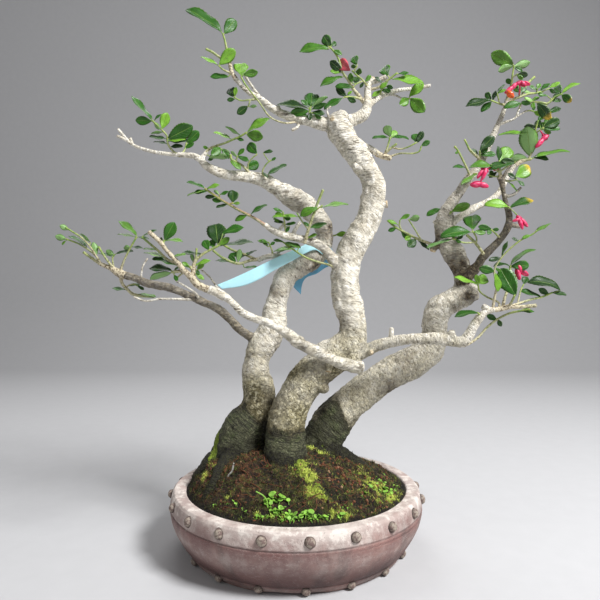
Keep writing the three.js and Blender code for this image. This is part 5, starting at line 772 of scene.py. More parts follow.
class Graph:
    """Writes the nodes of one material."""

    def __init__(self, name: str) -> None:
        """Starts a material with a bare shader."""
        self.material = bpy.data.materials.new(name)
        self.material.use_nodes = True
        self.nodes = self.material.node_tree.nodes
        self.links = self.material.node_tree.links
        self.shader = self.nodes["Principled BSDF"]
        self.place = self.add("ShaderNodeTexCoord").outputs["Object"]

    def add(self, kind: str, **settings: object) -> bpy.types.Node:
        """A new node with the given settings.

        Args:
            kind: Type of the node.
            settings: Its properties, by name.

        Returns:
            The node.
        """
        node = self.nodes.new(kind)
        for key, value in settings.items():
            setattr(node, key, value)
        return node

    def feed(self, socket: bpy.types.NodeSocket, value: object) -> None:
        """Links a socket to another, or sets its value.

        Args:
            socket: An input.
            value: An output, or a plain value.
        """
        if isinstance(value, bpy.types.NodeSocket):
            self.links.new(value, socket)
        else:
            socket.default_value = value

    def carried(self, name: str) -> bpy.types.NodeSocket:
        """A value that the mesh carries."""
        return self.add("ShaderNodeAttribute", attribute_name=name).outputs["Fac"]

    def chart(self) -> bpy.types.NodeSocket:
        """The piece's own texture map."""
        return self.add("ShaderNodeUVMap", uv_map="UVMap").outputs["UV"]

    def stretched(self, scale: Place) -> bpy.types.NodeSocket:
        """Object coordinates, scaled on each axis.

        Args:
            scale: Scale on x, y and z.

        Returns:
            The socket that gives it.
        """
        node = self.add("ShaderNodeMapping")
        self.feed(node.inputs["Vector"], self.place)
        node.inputs["Scale"].default_value = scale
        return node.outputs["Vector"]

    def ringed(self, along: float, around: float) -> bpy.types.NodeSocket:
        """Object coordinates times one scale, shifted by another times the run that a limb carries.

        Args:
            along: Cells a metre along the limb.
            around: Cells a metre in space.

        Returns:
            The socket that gives it.
        """
        spread = self.add("ShaderNodeVectorMath", operation="SCALE")
        self.feed(spread.inputs[0], self.place)
        spread.inputs["Scale"].default_value = around
        shift = self.add("ShaderNodeCombineXYZ")
        self.feed(shift.inputs[0], self.calc("MULTIPLY", self.carried("run"), along))
        total = self.add("ShaderNodeVectorMath", operation="ADD")
        self.feed(total.inputs[0], spread.outputs[0])
        self.feed(total.inputs[1], shift.outputs[0])
        return total.outputs[0]

    def facing_up(self) -> bpy.types.NodeSocket:
        """How far the surface faces up, from -1 to 1."""
        split = self.add("ShaderNodeSeparateXYZ")
        self.feed(split.inputs[0], self.add("ShaderNodeNewGeometry").outputs["Normal"])
        return split.outputs[2]

    def line(self, value: bpy.types.NodeSocket, width: float) -> bpy.types.NodeSocket:
        """1 where a noise crosses its middle, falling to 0 a width away: thin winding lines."""
        off = self.calc("ABSOLUTE", self.calc("SUBTRACT", value, 0.5))
        return self.calc("SUBTRACT", 1.0, self.span(off, 0.0, width))

    def noise(
        self, scale: float, detail: float = 4, rough: float = 0.55, place: bpy.types.NodeSocket | None = None
    ) -> bpy.types.NodeSocket:
        """Cloudy noise from 0 to 1 at a scale in cells a metre.

        Args:
            scale: Cells a metre.
            detail: Number of finer layers.
            rough: Strength of each finer layer.
            place: Coordinates, or the object's own.

        Returns:
            The socket that gives it.
        """
        node = self.add("ShaderNodeTexNoise")
        self.feed(node.inputs["Vector"], place or self.place)
        node.inputs["Scale"].default_value = scale
        node.inputs["Detail"].default_value = detail
        node.inputs["Roughness"].default_value = rough
        return node.outputs["Fac"]

    def cells(self, scale: float, edges: bool = False) -> bpy.types.NodeSocket:
        """Distance to the nearest cell's middle, or to its edge.

        Args:
            scale: Cells a metre.
            edges: Whether to measure to the edge.

        Returns:
            The socket that gives it.
        """
        node = self.add("ShaderNodeTexVoronoi", feature="DISTANCE_TO_EDGE" if edges else "F1")
        self.feed(node.inputs["Vector"], self.place)
        node.inputs["Scale"].default_value = scale
        return node.outputs["Distance"]

    def calc(
        self, operation: str, first: object, second: object = 0.0, third: object = 0.0
    ) -> bpy.types.NodeSocket:
        """A sum, product or other operation on numbers.

        Args:
            operation: Name of the operation.
            first: First number.
            second: Second number.
            third: Third number.

        Returns:
            The socket that gives it.
        """
        node = self.add("ShaderNodeMath", operation=operation)
        for socket, value in zip(node.inputs, (first, second, third)):
            self.feed(socket, value)
        return node.outputs[0]

    def span(self, value: bpy.types.NodeSocket, low: float, high: float) -> bpy.types.NodeSocket:
        """0 where a value is under low, 1 where it is over high, smooth between.

        Args:
            value: What is measured.
            low: Where the rise starts.
            high: Where it ends.

        Returns:
            The socket that gives it.
        """
        node = self.add("ShaderNodeMapRange", interpolation_type="SMOOTHSTEP")
        self.feed(node.inputs["Value"], value)
        node.inputs["From Min"].default_value = low
        node.inputs["From Max"].default_value = high
        return node.outputs["Result"]

    def mix(self, share: object, first: object, second: object) -> bpy.types.NodeSocket:
        """The first colour, turning into the second as the share goes from 0 to 1.

        Args:
            share: How far it has turned.
            first: Colour at 0.
            second: Colour at 1.

        Returns:
            The socket that gives it.
        """
        node = self.add("ShaderNodeMix", data_type="RGBA")
        self.feed(node.inputs["Factor"], share)
        ends = (socket for socket in node.inputs if socket.type == "RGBA")
        for socket, value in zip(ends, (first, second), strict=True):
            self.feed(socket, paint(value) if isinstance(value, tuple) else value)
        return next(socket for socket in node.outputs if socket.type == "RGBA")

    def tint(
        self, mask: bpy.types.NodeSocket, share: float, first: object, second: object
    ) -> bpy.types.NodeSocket:
        """The first colour, turned a share of the way into the second where the mask is 1."""
        return self.mix(self.calc("MULTIPLY", mask, share), first, second)

    def clouds(self, low: float, high: float, *cloud: float) -> bpy.types.NodeSocket:
        """Patches: 0 where a noise is under low, 1 where it is over high."""
        return self.span(self.noise(*cloud), low, high)

    def height(self, value: bpy.types.NodeSocket, distance: float, strength: float = 1.0) -> None:
        """Raises the surface's shading by a value over a distance in metres.

        Args:
            value: Height, from 0 to about 1.
            distance: Metres that 1 stands for.
            strength: Share of the relief that shows.
        """
        node = self.add("ShaderNodeBump")
        node.inputs["Strength"].default_value = strength
        node.inputs["Distance"].default_value = distance
        self.feed(node.inputs["Height"], value)
        self.links.new(node.outputs["Normal"], self.shader.inputs["Normal"])

    def finished(self, colour: object, roughness: object, **fixed: float) -> bpy.types.Material:
        """The material, with its colour, roughness and fixed shader values, named as its sockets are.

        Args:
            colour: Colour of the surface.
            roughness: Its roughness.
            fixed: Other values of the shader.

        Returns:
            The finished material.
        """
        self.feed(self.shader.inputs["Base Color"], paint(colour) if isinstance(colour, tuple) else colour)
        self.feed(self.shader.inputs["Roughness"], roughness)
        for key, value in fixed.items():
            self.shader.inputs[key.replace("_", " ")].default_value = value
        return self.material


def paint(colour: Colour) -> tuple[float, float, float, float]:
    """The linear colour of a display colour given from 0 to 255."""
    shares = [c / 255 for c in colour]
    light = [s / 12.92 if s <= 0.04045 else ((s + 0.055) / 1.055) ** 2.4 for s in shares]
    return (light[0], light[1], light[2], 1.0)


@dataclass(frozen=True)
class Clay:
    """Mauve-brown unglazed clay with a white bloom of salts, most of it on the rim."""

    body: Colour = (116, 78, 75)
    warm: Colour = (138, 95, 88)
    haze: Colour = (158, 138, 130)
    bloom: Colour = (224, 214, 206)
    stain: Colour = (74, 56, 54)
    # Colour of the painted shade
    painted_shade: Colour = (58, 44, 42)

    def material(self) -> bpy.types.Material:
        """The clay: cloudy body, salts in streaks and specks, thin scratches, dark pores, and painted shade.

        Returns:
            The finished material.
        """
        g = Graph("unglazed_clay")
        colour = g.mix(g.clouds(0.4, 0.64, 16, 6, 0.6), self.body, self.warm)
        drips = g.noise(26, 5, 0.62, g.stretched((1.0, 1.0, 0.35)))
        colour = g.tint(g.span(drips, 0.5, 0.66), 0.6, colour, self.stain)
        veil = g.clouds(0.5, 0.68, 34, 7, 0.66)
        colour = g.tint(veil, 0.3, colour, self.haze)
        salt = g.clouds(0.46, 0.6, 95, 8, 0.72)
        thick = g.clouds(0.36, 0.62, 24, 6, 0.62)
        cover = g.calc("ADD", g.calc("MULTIPLY", salt, 0.42), g.calc("MULTIPLY", thick, 0.3))
        cover = g.calc("ADD", cover, 0.48)
        dust = g.calc("MULTIPLY", g.carried("bloom"), cover)
        colour = g.tint(dust, 1.1, colour, self.bloom)
        scratches = g.line(g.noise(60, 3, 0.5, g.stretched((1.0, 1.0, 3.5))), 0.006)
        colour = g.tint(scratches, 0.35, colour, self.bloom)
        pores = g.calc("SUBTRACT", 1.0, g.span(g.cells(380), 0.06, 0.2))
        colour = g.tint(pores, 0.5, colour, self.stain)
        # Painted shade, by the shade that the shell carries: in the incised lines and towards the bottom
        colour = g.mix(g.carried("shade"), colour, self.painted_shade)
        grit = g.calc("ADD", g.noise(900, 3, 0.7), g.calc("MULTIPLY", g.noise(150, 5), 2.0))
        g.height(g.calc("ADD", grit, g.calc("MULTIPLY", pores, -0.8)), 0.0006, 0.7)
        rough = g.calc("MULTIPLY_ADD", dust, 0.22, 0.62)
        return g.finished(colour, rough)


@dataclass(frozen=True)
class RivetClay:
    """The same clay on the rivets, paler where hands and water wear them."""

    face: Colour = (168, 156, 142)
    edge: Colour = (112, 92, 86)
    # Colour of the dark specks and of the painted shade at the seat
    speck_and_seat_shade: Colour = (56, 42, 40)

    def material(self) -> bpy.types.Material:
        """Grey worn clay with dark specks, and painted shade where it meets the wall.

        Returns:
            The finished material.
        """
        g = Graph("rivet_clay")
        colour = g.mix(g.clouds(0.38, 0.6, 300, 5, 0.65), self.edge, self.face)
        colour = g.tint(g.clouds(0.54, 0.66, 700, 4), 0.5, colour, self.speck_and_seat_shade)
        # Painted shade where the rivet meets the wall, by the shade that the rivet carries
        colour = g.mix(g.carried("shade"), colour, self.speck_and_seat_shade)
        g.height(g.noise(700, 4, 0.7), 0.0006, 0.7)
        return g.finished(colour, 0.7)


@dataclass(frozen=True)
class Bark:
    """Pale flecked bark with painted highlights, olive and cracked low down, grey-green at the foot, dark on
    some limbs and painted shade in places.
    """

    pale: Colour = (232, 226, 211)
    grey: Colour = (206, 198, 180)
    light: Colour = (248, 244, 234)
    fleck: Colour = (88, 76, 58)
    olive: Colour = (178, 168, 130)
    deep_olive: Colour = (100, 94, 62)
    foot: Colour = (82, 84, 60)
    dark: Colour = (62, 50, 38)
    moss: Colour = (50, 50, 22)
    bright: Colour = (150, 172, 46)
    cut: Colour = (234, 218, 186)
    speck: Colour = (140, 128, 106)
    low_speck: Colour = (112, 102, 64)
    crack: Colour = (76, 68, 44)
    low_fleck: Colour = (66, 57, 38)
    low_light: Colour = (232, 224, 190)
    above_foot: Colour = (92, 84, 54)
    foot_ring: Colour = (70, 62, 44)
    foot_green: Colour = (74, 88, 42)
    foot_light: Colour = (142, 140, 108)
    wrinkle: Colour = (30, 28, 19)
    foot_pit: Colour = (36, 34, 22)
    foot_shade: Colour = (50, 49, 32)
    husk_pale: Colour = (122, 108, 84)
    husk_light: Colour = (176, 164, 138)
    husk_pit: Colour = (44, 36, 26)
    moss_shade: Colour = (24, 20, 12)
    bright_deep: Colour = (84, 100, 26)
    cut_ring: Colour = (186, 160, 122)

    def material(self) -> bpy.types.Material:
        """The bark, from what the wood carries: run, dark, olive, foot, moss, bright and cut; the dark is
        partly painted shade.

        Returns:
            The finished material.
        """
        g = Graph("flecked_bark")
        flecks = g.noise(1.0, 3, 0.6, g.ringed(330, 230))
        speckle = g.noise(1.0, 4, 0.65, g.ringed(620, 420))
        creases = g.line(g.noise(1.0, 4, 0.6, g.ringed(240, 70)), 0.03)
        cracks = g.calc("SUBTRACT", 1.0, g.span(g.cells(210, True), 0.0, 0.1))
        skin = g.mix(g.clouds(0.42, 0.66, 48, 5, 0.6), self.pale, self.grey)
        # Pale clouds of the light colour: painted highlights
        skin = g.tint(g.clouds(0.5, 0.62, 150, 4, 0.6), 0.75, skin, self.light)
        skin = g.tint(g.span(speckle, 0.53, 0.58), 0.5, skin, self.speck)
        patchy = g.clouds(0.4, 0.62, 60, 3)
        dots = g.calc("MULTIPLY", g.span(flecks, 0.58, 0.61), g.calc("MULTIPLY_ADD", patchy, 0.6, 0.15))
        skin = g.mix(dots, skin, self.fleck)
        skin = g.tint(creases, 0.14, skin, self.fleck)
        low = g.mix(g.clouds(0.36, 0.58, 110, 5, 0.62), self.deep_olive, self.olive)
        low = g.tint(g.span(speckle, 0.48, 0.62), 0.5, low, self.low_speck)
        low = g.tint(cracks, 0.5, low, self.crack)
        low = g.tint(g.span(flecks, 0.57, 0.61), 0.6, low, self.low_fleck)
        # Pale clouds on the lower bark: painted highlights
        lit = g.clouds(0.52, 0.64, 240, 3, 0.6)
        low = g.tint(lit, 0.7, low, self.low_light)
        colour = g.mix(g.carried("olive"), skin, low)
        nearing = g.calc("ADD", g.carried("foot"), g.calc("MULTIPLY", g.noise(60, 4), 0.8))
        colour = g.tint(g.span(nearing, 0.5, 1.5), 0.7, colour, self.above_foot)
        wrinkles = g.noise(1.0, 4, 0.6, g.ringed(420, 60))
        band = g.span(g.calc("ADD", g.carried("foot"), g.noise(90, 4)), 1.6, 2.4)
        foot = g.mix(band, self.foot_ring, self.foot)
        foot = g.tint(g.clouds(0.48, 0.62, 80, 5), 0.5, foot, self.foot_green)
        foot = g.tint(g.span(speckle, 0.52, 0.6), 0.5, foot, self.foot_light)
        foot = g.tint(g.span(wrinkles, 0.5, 0.6), 0.7, foot, self.wrinkle)
        foot = g.tint(g.span(flecks, 0.54, 0.6), 0.6, foot, self.foot_pit)
        foot = g.tint(g.clouds(0.45, 0.6, 36, 4), 0.7, foot, self.foot_shade)
        at_foot = g.span(g.calc("MULTIPLY_ADD", g.noise(70, 5, 0.65), 3.0, g.carried("foot")), 2.3, 2.7)
        colour = g.mix(at_foot, colour, foot)
        fissures = g.noise(1.0, 5, 0.66, g.ringed(110, 300))
        husk = g.mix(g.span(fissures, 0.44, 0.62), self.dark, self.husk_pale)
        husk = g.tint(g.clouds(0.56, 0.66, 260, 4), 0.6, husk, self.husk_light)
        husk = g.tint(g.span(speckle, 0.5, 0.58), 0.6, husk, self.husk_pit)
        # Dark limbs and dark places on the bark; some of these places are painted shade
        colour = g.mix(g.carried("dark"), colour, husk)
        mossy = g.span(g.calc("ADD", g.carried("moss"), g.noise(150, 6, 0.68)), 0.94, 1.12)
        tufts = g.mix(g.clouds(0.44, 0.6, 520, 4, 0.7), self.moss_shade, self.moss)
        colour = g.mix(mossy, colour, tufts)
        lively = g.span(g.calc("ADD", g.carried("bright"), g.noise(240, 5, 0.65)), 0.98, 1.16)
        colour = g.mix(lively, colour, g.mix(g.noise(600, 3), self.bright, self.bright_deep))
        growth = g.mix(g.clouds(0.4, 0.62, 500, 4), self.cut, self.cut_ring)
        colour = g.mix(g.carried("cut"), colour, growth)
        relief = g.calc("ADD", flecks, g.calc("MULTIPLY", creases, 0.3))
        deep_cracks = g.calc("MULTIPLY", cracks, g.calc("MULTIPLY", g.carried("olive"), 0.6))
        relief = g.calc("ADD", relief, deep_cracks)
        relief = g.calc("SUBTRACT", g.calc("MULTIPLY", g.noise(110, 5, 0.6), 1.4), relief)
        relief = g.calc("SUBTRACT", relief, g.calc("MULTIPLY", wrinkles, at_foot))
        g.height(relief, 0.0018, 1.0)
        return g.finished(colour, 0.8)


@dataclass(frozen=True)
class StemSkin:
    """Skin of thin stems: cream bark that turns green towards the leaves, red on one shoot."""

    bark: Colour = (206, 194, 166)
    fleck: Colour = (92, 74, 50)
    green: Colour = (112, 146, 62)
    red: Colour = (138, 50, 44)
    lime: Colour = (164, 180, 92)
    lenticel: Colour = (110, 88, 52)
    dark: Colour = (62, 50, 38)

    def material(self) -> bpy.types.Material:
        """The skin, from the share of green, red and dark that a stem carries; red keeps to the top.

        Returns:
            The finished material.
        """
        g = Graph("stem_skin")
        colour = g.mix(g.clouds(0.48, 0.62, 420, 5, 0.65), self.bark, self.fleck)
        young = g.mix(g.clouds(0.4, 0.62, 260, 4), self.green, self.lime)
        young = g.tint(g.clouds(0.58, 0.68, 520, 4), 0.5, young, self.lenticel)
        colour = g.mix(g.carried("green"), colour, young)
        blush = g.span(g.calc("ADD", g.facing_up(), g.noise(200, 3)), 0.1, 0.8)
        colour = g.mix(g.calc("MULTIPLY", g.carried("red"), blush), colour, self.red)
        colour = g.mix(g.carried("dark"), colour, self.dark)
        g.height(g.noise(700, 4, 0.6), 0.0006, 0.8)
        return g.finished(colour, 0.58)


@dataclass(frozen=True)
class LeafSkin:
    """Fresh leaf: green upper side with a fine pale midrib, side veins and a yellow-green edge."""

    deep: Colour = (11, 44, 4)
    mid: Colour = (42, 100, 12)
    fresh: Colour = (132, 186, 54)
    under: Colour = (136, 178, 108)
    rib: Colour = (152, 184, 96)
    edge: Colour = (146, 182, 62)
    gold: Colour = (222, 182, 58)
    name: str = "leaf_skin"

    def material(self) -> bpy.types.Material:
        """The leaf, drawn on its chart: x along the midrib, y from edge to edge.

        Returns:
            The finished material.
        """
        g = Graph(self.name)
        split = g.add("ShaderNodeSeparateXYZ")
        g.feed(split.inputs[0], g.chart())
        along, across = split.outputs[0], split.outputs[1]
        off = g.calc("ABSOLUTE", g.calc("MULTIPLY_ADD", across, 2.0, -1.0))
        wobble = g.calc("MULTIPLY_ADD", g.noise(500, 2), 0.06, -0.03)
        slant = g.calc("MULTIPLY_ADD", off, -0.3, g.calc("ADD", along, wobble))
        wave = g.calc("ABSOLUTE", g.calc("SINE", g.calc("MULTIPLY", slant, 24.0)))
        vein = g.calc("SUBTRACT", 1.0, g.span(wave, 0.0, 0.22))
        rib = g.calc("SUBTRACT", 1.0, g.span(off, 0.0, 0.07))
        tone = g.carried("tone")
        blade = g.mix(g.span(tone, 0.0, 0.5), self.deep, self.mid)
        blade = g.mix(g.span(tone, 0.5, 1.0), blade, self.fresh)
        patch = g.calc("MULTIPLY", g.clouds(0.42, 0.7, 160, 4), 0.4)
        blade = g.mix(patch, blade, self.deep)
        blade = g.tint(vein, 0.16, blade, self.rib)
        blade = g.tint(g.span(off, 0.88, 1.0), 0.4, blade, self.edge)
        below = g.tint(vein, 0.4, self.under, self.rib)
        blade = g.mix(g.carried("under"), blade, below)
        blade = g.tint(rib, 0.6, blade, self.rib)
        blade = g.mix(g.carried("gold"), blade, self.gold)
        quilt = g.calc("ADD", g.calc("MULTIPLY", vein, -0.8), g.calc("MULTIPLY", rib, -1.4))
        g.height(g.calc("ADD", quilt, g.calc("MULTIPLY", g.noise(1500, 3), 0.4)), 0.0005, 0.8)
        rough = g.calc("MULTIPLY_ADD", g.noise(200, 2), 0.2, 0.3)
        return g.finished(blade, rough, Specular_IOR_Level=0.44)


@dataclass(frozen=True)
class CapsuleSkin:
    """Ripe pink seed capsule with a waxy bloom."""

    ripe: Colour = (206, 26, 84)
    pale: Colour = (232, 92, 132)
    deep: Colour = (132, 10, 50)

    def material(self) -> bpy.types.Material:
        """Pink with paler clouds, and painted shade in the grooves.

        Returns:
            The finished material.
        """
        g = Graph("capsule_skin")
        colour = g.mix(g.clouds(0.44, 0.66, 320, 4), self.ripe, self.pale)
        # Painted shade along the grooves
        colour = g.mix(g.carried("groove"), colour, self.deep)
        g.height(g.noise(900, 3), 0.0003, 0.6)
        return g.finished(colour, 0.4, Subsurface_Weight=0.08)


@dataclass(frozen=True)
class SeedCoat:
    """Orange seed coat, glossy where the capsule has split."""

    skin: Colour = (246, 104, 34)
    shade: Colour = (206, 56, 22)

    def material(self) -> bpy.types.Material:
        """Orange with red clouds and a gloss.

        Returns:
            The finished material.
        """
        g = Graph("seed_coat")
        colour = g.mix(g.clouds(0.4, 0.7, 350, 4), self.skin, self.shade)
        g.height(g.noise(800, 3), 0.0003, 0.5)
        return g.finished(colour, 0.28, Coat_Weight=0.4)


@dataclass(frozen=True)
class LabelPlastic:
    """Thin pale blue plastic strip, with painted shade, deeper blue, on the part that turns away behind the
    trunk.
    """

    front: Colour = (186, 238, 248)
    shade: Colour = (104, 188, 230)
    scuffed: Colour = (214, 242, 248)
    dirty: Colour = (108, 130, 128)

    def material(self) -> bpy.types.Material:
        """Blue plastic with faint creases and scuffs, and painted shade on its far part.

        Returns:
            The finished material.
        """
        g = Graph("label_plastic")
        # Painted shade where the strip turns away behind the trunk
        colour = g.mix(g.carried("behind"), self.front, self.shade)
        scuffs = g.span(g.noise(300, 5, 0.7, g.stretched((1, 1, 0.2))), 0.58, 0.74)
        colour = g.tint(scuffs, 0.35, colour, self.scuffed)
        dirt = g.calc("MULTIPLY", g.clouds(0.6, 0.78, 70, 5), 0.25)
        colour = g.mix(dirt, colour, self.dirty)
        g.height(g.noise(240, 3), 0.0004, 0.4)
        return g.finished(colour, 0.34, Subsurface_Weight=0.05)


@dataclass(frozen=True)
class NetPlastic:
    """Black plastic netting, dusty with soil."""

    black: Colour = (28, 30, 29)
    dusty: Colour = (88, 74, 58)

    def material(self) -> bpy.types.Material:
        """Near black with brown dust.

        Returns:
            The finished material.
        """
        g = Graph("net_plastic")
        colour = g.mix(g.clouds(0.46, 0.7, 160, 5), self.black, self.dusty)
        g.height(g.noise(900, 3), 0.0003, 0.5)
        return g.finished(colour, 0.55)


@dataclass(frozen=True)
class WireMetal:
    """Dull aluminium wire with oxide and soil on it."""

    metal: Colour = (196, 194, 188)
    oxide: Colour = (110, 100, 88)

    def material(self) -> bpy.types.Material:
        """Grey metal, dulled in patches.

        Returns:
            The finished material.
        """
        g = Graph("wire_metal")
        dull = g.clouds(0.42, 0.64, 300, 5)
        colour = g.mix(dull, self.metal, self.oxide)
        g.height(g.noise(1200, 3), 0.0002, 0.5)
        return g.finished(colour, g.calc("MULTIPLY_ADD", dull, 0.4, 0.3), Metallic=0.6)


@dataclass(frozen=True)
class Ground:
    """Bonsai soil: dark fibrous peat and moss with patches of living green."""

    peat: Colour = (44, 34, 21)
    fibre: Colour = (122, 70, 42)
    moss: Colour = (76, 82, 28)
    bright: Colour = (186, 202, 74)
    near_black: Colour = (12, 10, 7)
    tan: Colour = (150, 118, 76)
    bright_deep: Colour = (84, 98, 26)
    hole: Colour = (9, 8, 5)

    def material(self) -> bpy.types.Material:
        """Peat and moss, from the green and the rust that the mound carries, with painted shade in its
        hollows.

        Returns:
            The finished material.
        """
        g = Graph("mossy_soil")
        # Near black clouds in the peat
        colour = g.mix(g.clouds(0.42, 0.6, 260, 6, 0.7), self.near_black, self.peat)
        colour = g.mix(g.clouds(0.48, 0.56, 120, 6, 0.68), colour, self.moss)
        tan = g.calc("MULTIPLY", g.clouds(0.54, 0.62, 330, 5, 0.7), 0.8)
        colour = g.mix(tan, colour, self.tan)
        rust = g.calc("MULTIPLY", g.carried("rust"), g.clouds(0.42, 0.58, 420, 5, 0.7))
        colour = g.mix(rust, colour, self.fibre)
        green = g.span(g.calc("ADD", g.carried("bright"), g.noise(240, 5, 0.68)), 0.92, 1.12)
        colour = g.mix(green, colour, g.mix(g.noise(800, 3), self.bright, self.bright_deep))
        # Painted shade: near black in the hollows that the mound carries
        colour = g.tint(g.carried("hollow"), 0.92, colour, self.hole)
        g.height(g.calc("ADD", g.noise(600, 5, 0.7), g.noise(200, 4)), 0.0035, 1.0)
        return g.finished(colour, 0.9)


@dataclass(frozen=True)
class Tuft:
    """Moss leaflets, from near black to bright yellow-green."""

    dead: Colour = (26, 22, 12)
    green: Colour = (74, 86, 28)
    bright: Colour = (216, 228, 106)
    rusty: Colour = (70, 42, 22)

    def material(self) -> bpy.types.Material:
        """Moss green, by the liveliness that a tuft carries.

        Returns:
            The finished material.
        """
        g = Graph("moss_tuft")
        colour = g.mix(g.span(g.carried("lively"), 0.0, 0.35), self.dead, self.green)
        colour = g.mix(g.span(g.carried("lively"), 0.4, 1.0), colour, self.bright)
        colour = g.tint(g.clouds(0.5, 0.62, 140, 3), 0.55, colour, self.rusty)
        return g.finished(colour, 0.85)


@dataclass(frozen=True)
class Granule:
    """Fired clay granules: rust, tan and grey."""

    dark: Colour = (44, 30, 22)
    rust: Colour = (118, 70, 44)
    tan: Colour = (166, 132, 100)
    pore: Colour = (50, 36, 26)

    def material(self) -> bpy.types.Material:
        """Grain colour by what each carries, with pores.

        Returns:
            The finished material.
        """
        g = Graph("soil_granule")
        colour = g.mix(g.span(g.carried("grain"), 0.0, 0.6), self.dark, self.rust)
        colour = g.mix(g.span(g.carried("grain"), 0.8, 1.0), colour, self.tan)
        colour = g.mix(g.clouds(0.5, 0.7, 1400, 4), colour, self.pore)
        g.height(g.noise(1300, 4), 0.0005, 0.8)
        return g.finished(colour, 0.9)


@dataclass(frozen=True)
class StudioPaper:
    """Pale backdrop paper."""

    grey: Colour = (192, 192, 194)
    pale: Colour = (198, 198, 200)

    def material(self) -> bpy.types.Material:
        """Pale grey with the faintest tooth."""
        g = Graph("studio_paper")
        colour = g.mix(g.noise(40, 3), self.grey, self.pale)
        return g.finished(colour, 0.9)


@dataclass(frozen=True)
class WeedSkin:
    """Light green leaf of the small weeds."""

    deep: Colour = (46, 98, 24)
    light: Colour = (140, 196, 62)
    speck: Colour = (176, 214, 110)

    def material(self) -> bpy.types.Material:
        """Light green, darker towards some leaves.

        Returns:
            The finished material.
        """
        g = Graph("weed_leaf")
        colour = g.mix(g.carried("tone"), self.deep, self.light)
        colour = g.tint(g.noise(600, 3), 0.35, colour, self.speck)
        g.height(g.noise(1200, 3), 0.0003, 0.5)
        return g.finished(colour, 0.5)


class Cut(Enum):
    """How a limb ends."""

    ROUND = 0.35
    SAWN = 0.02


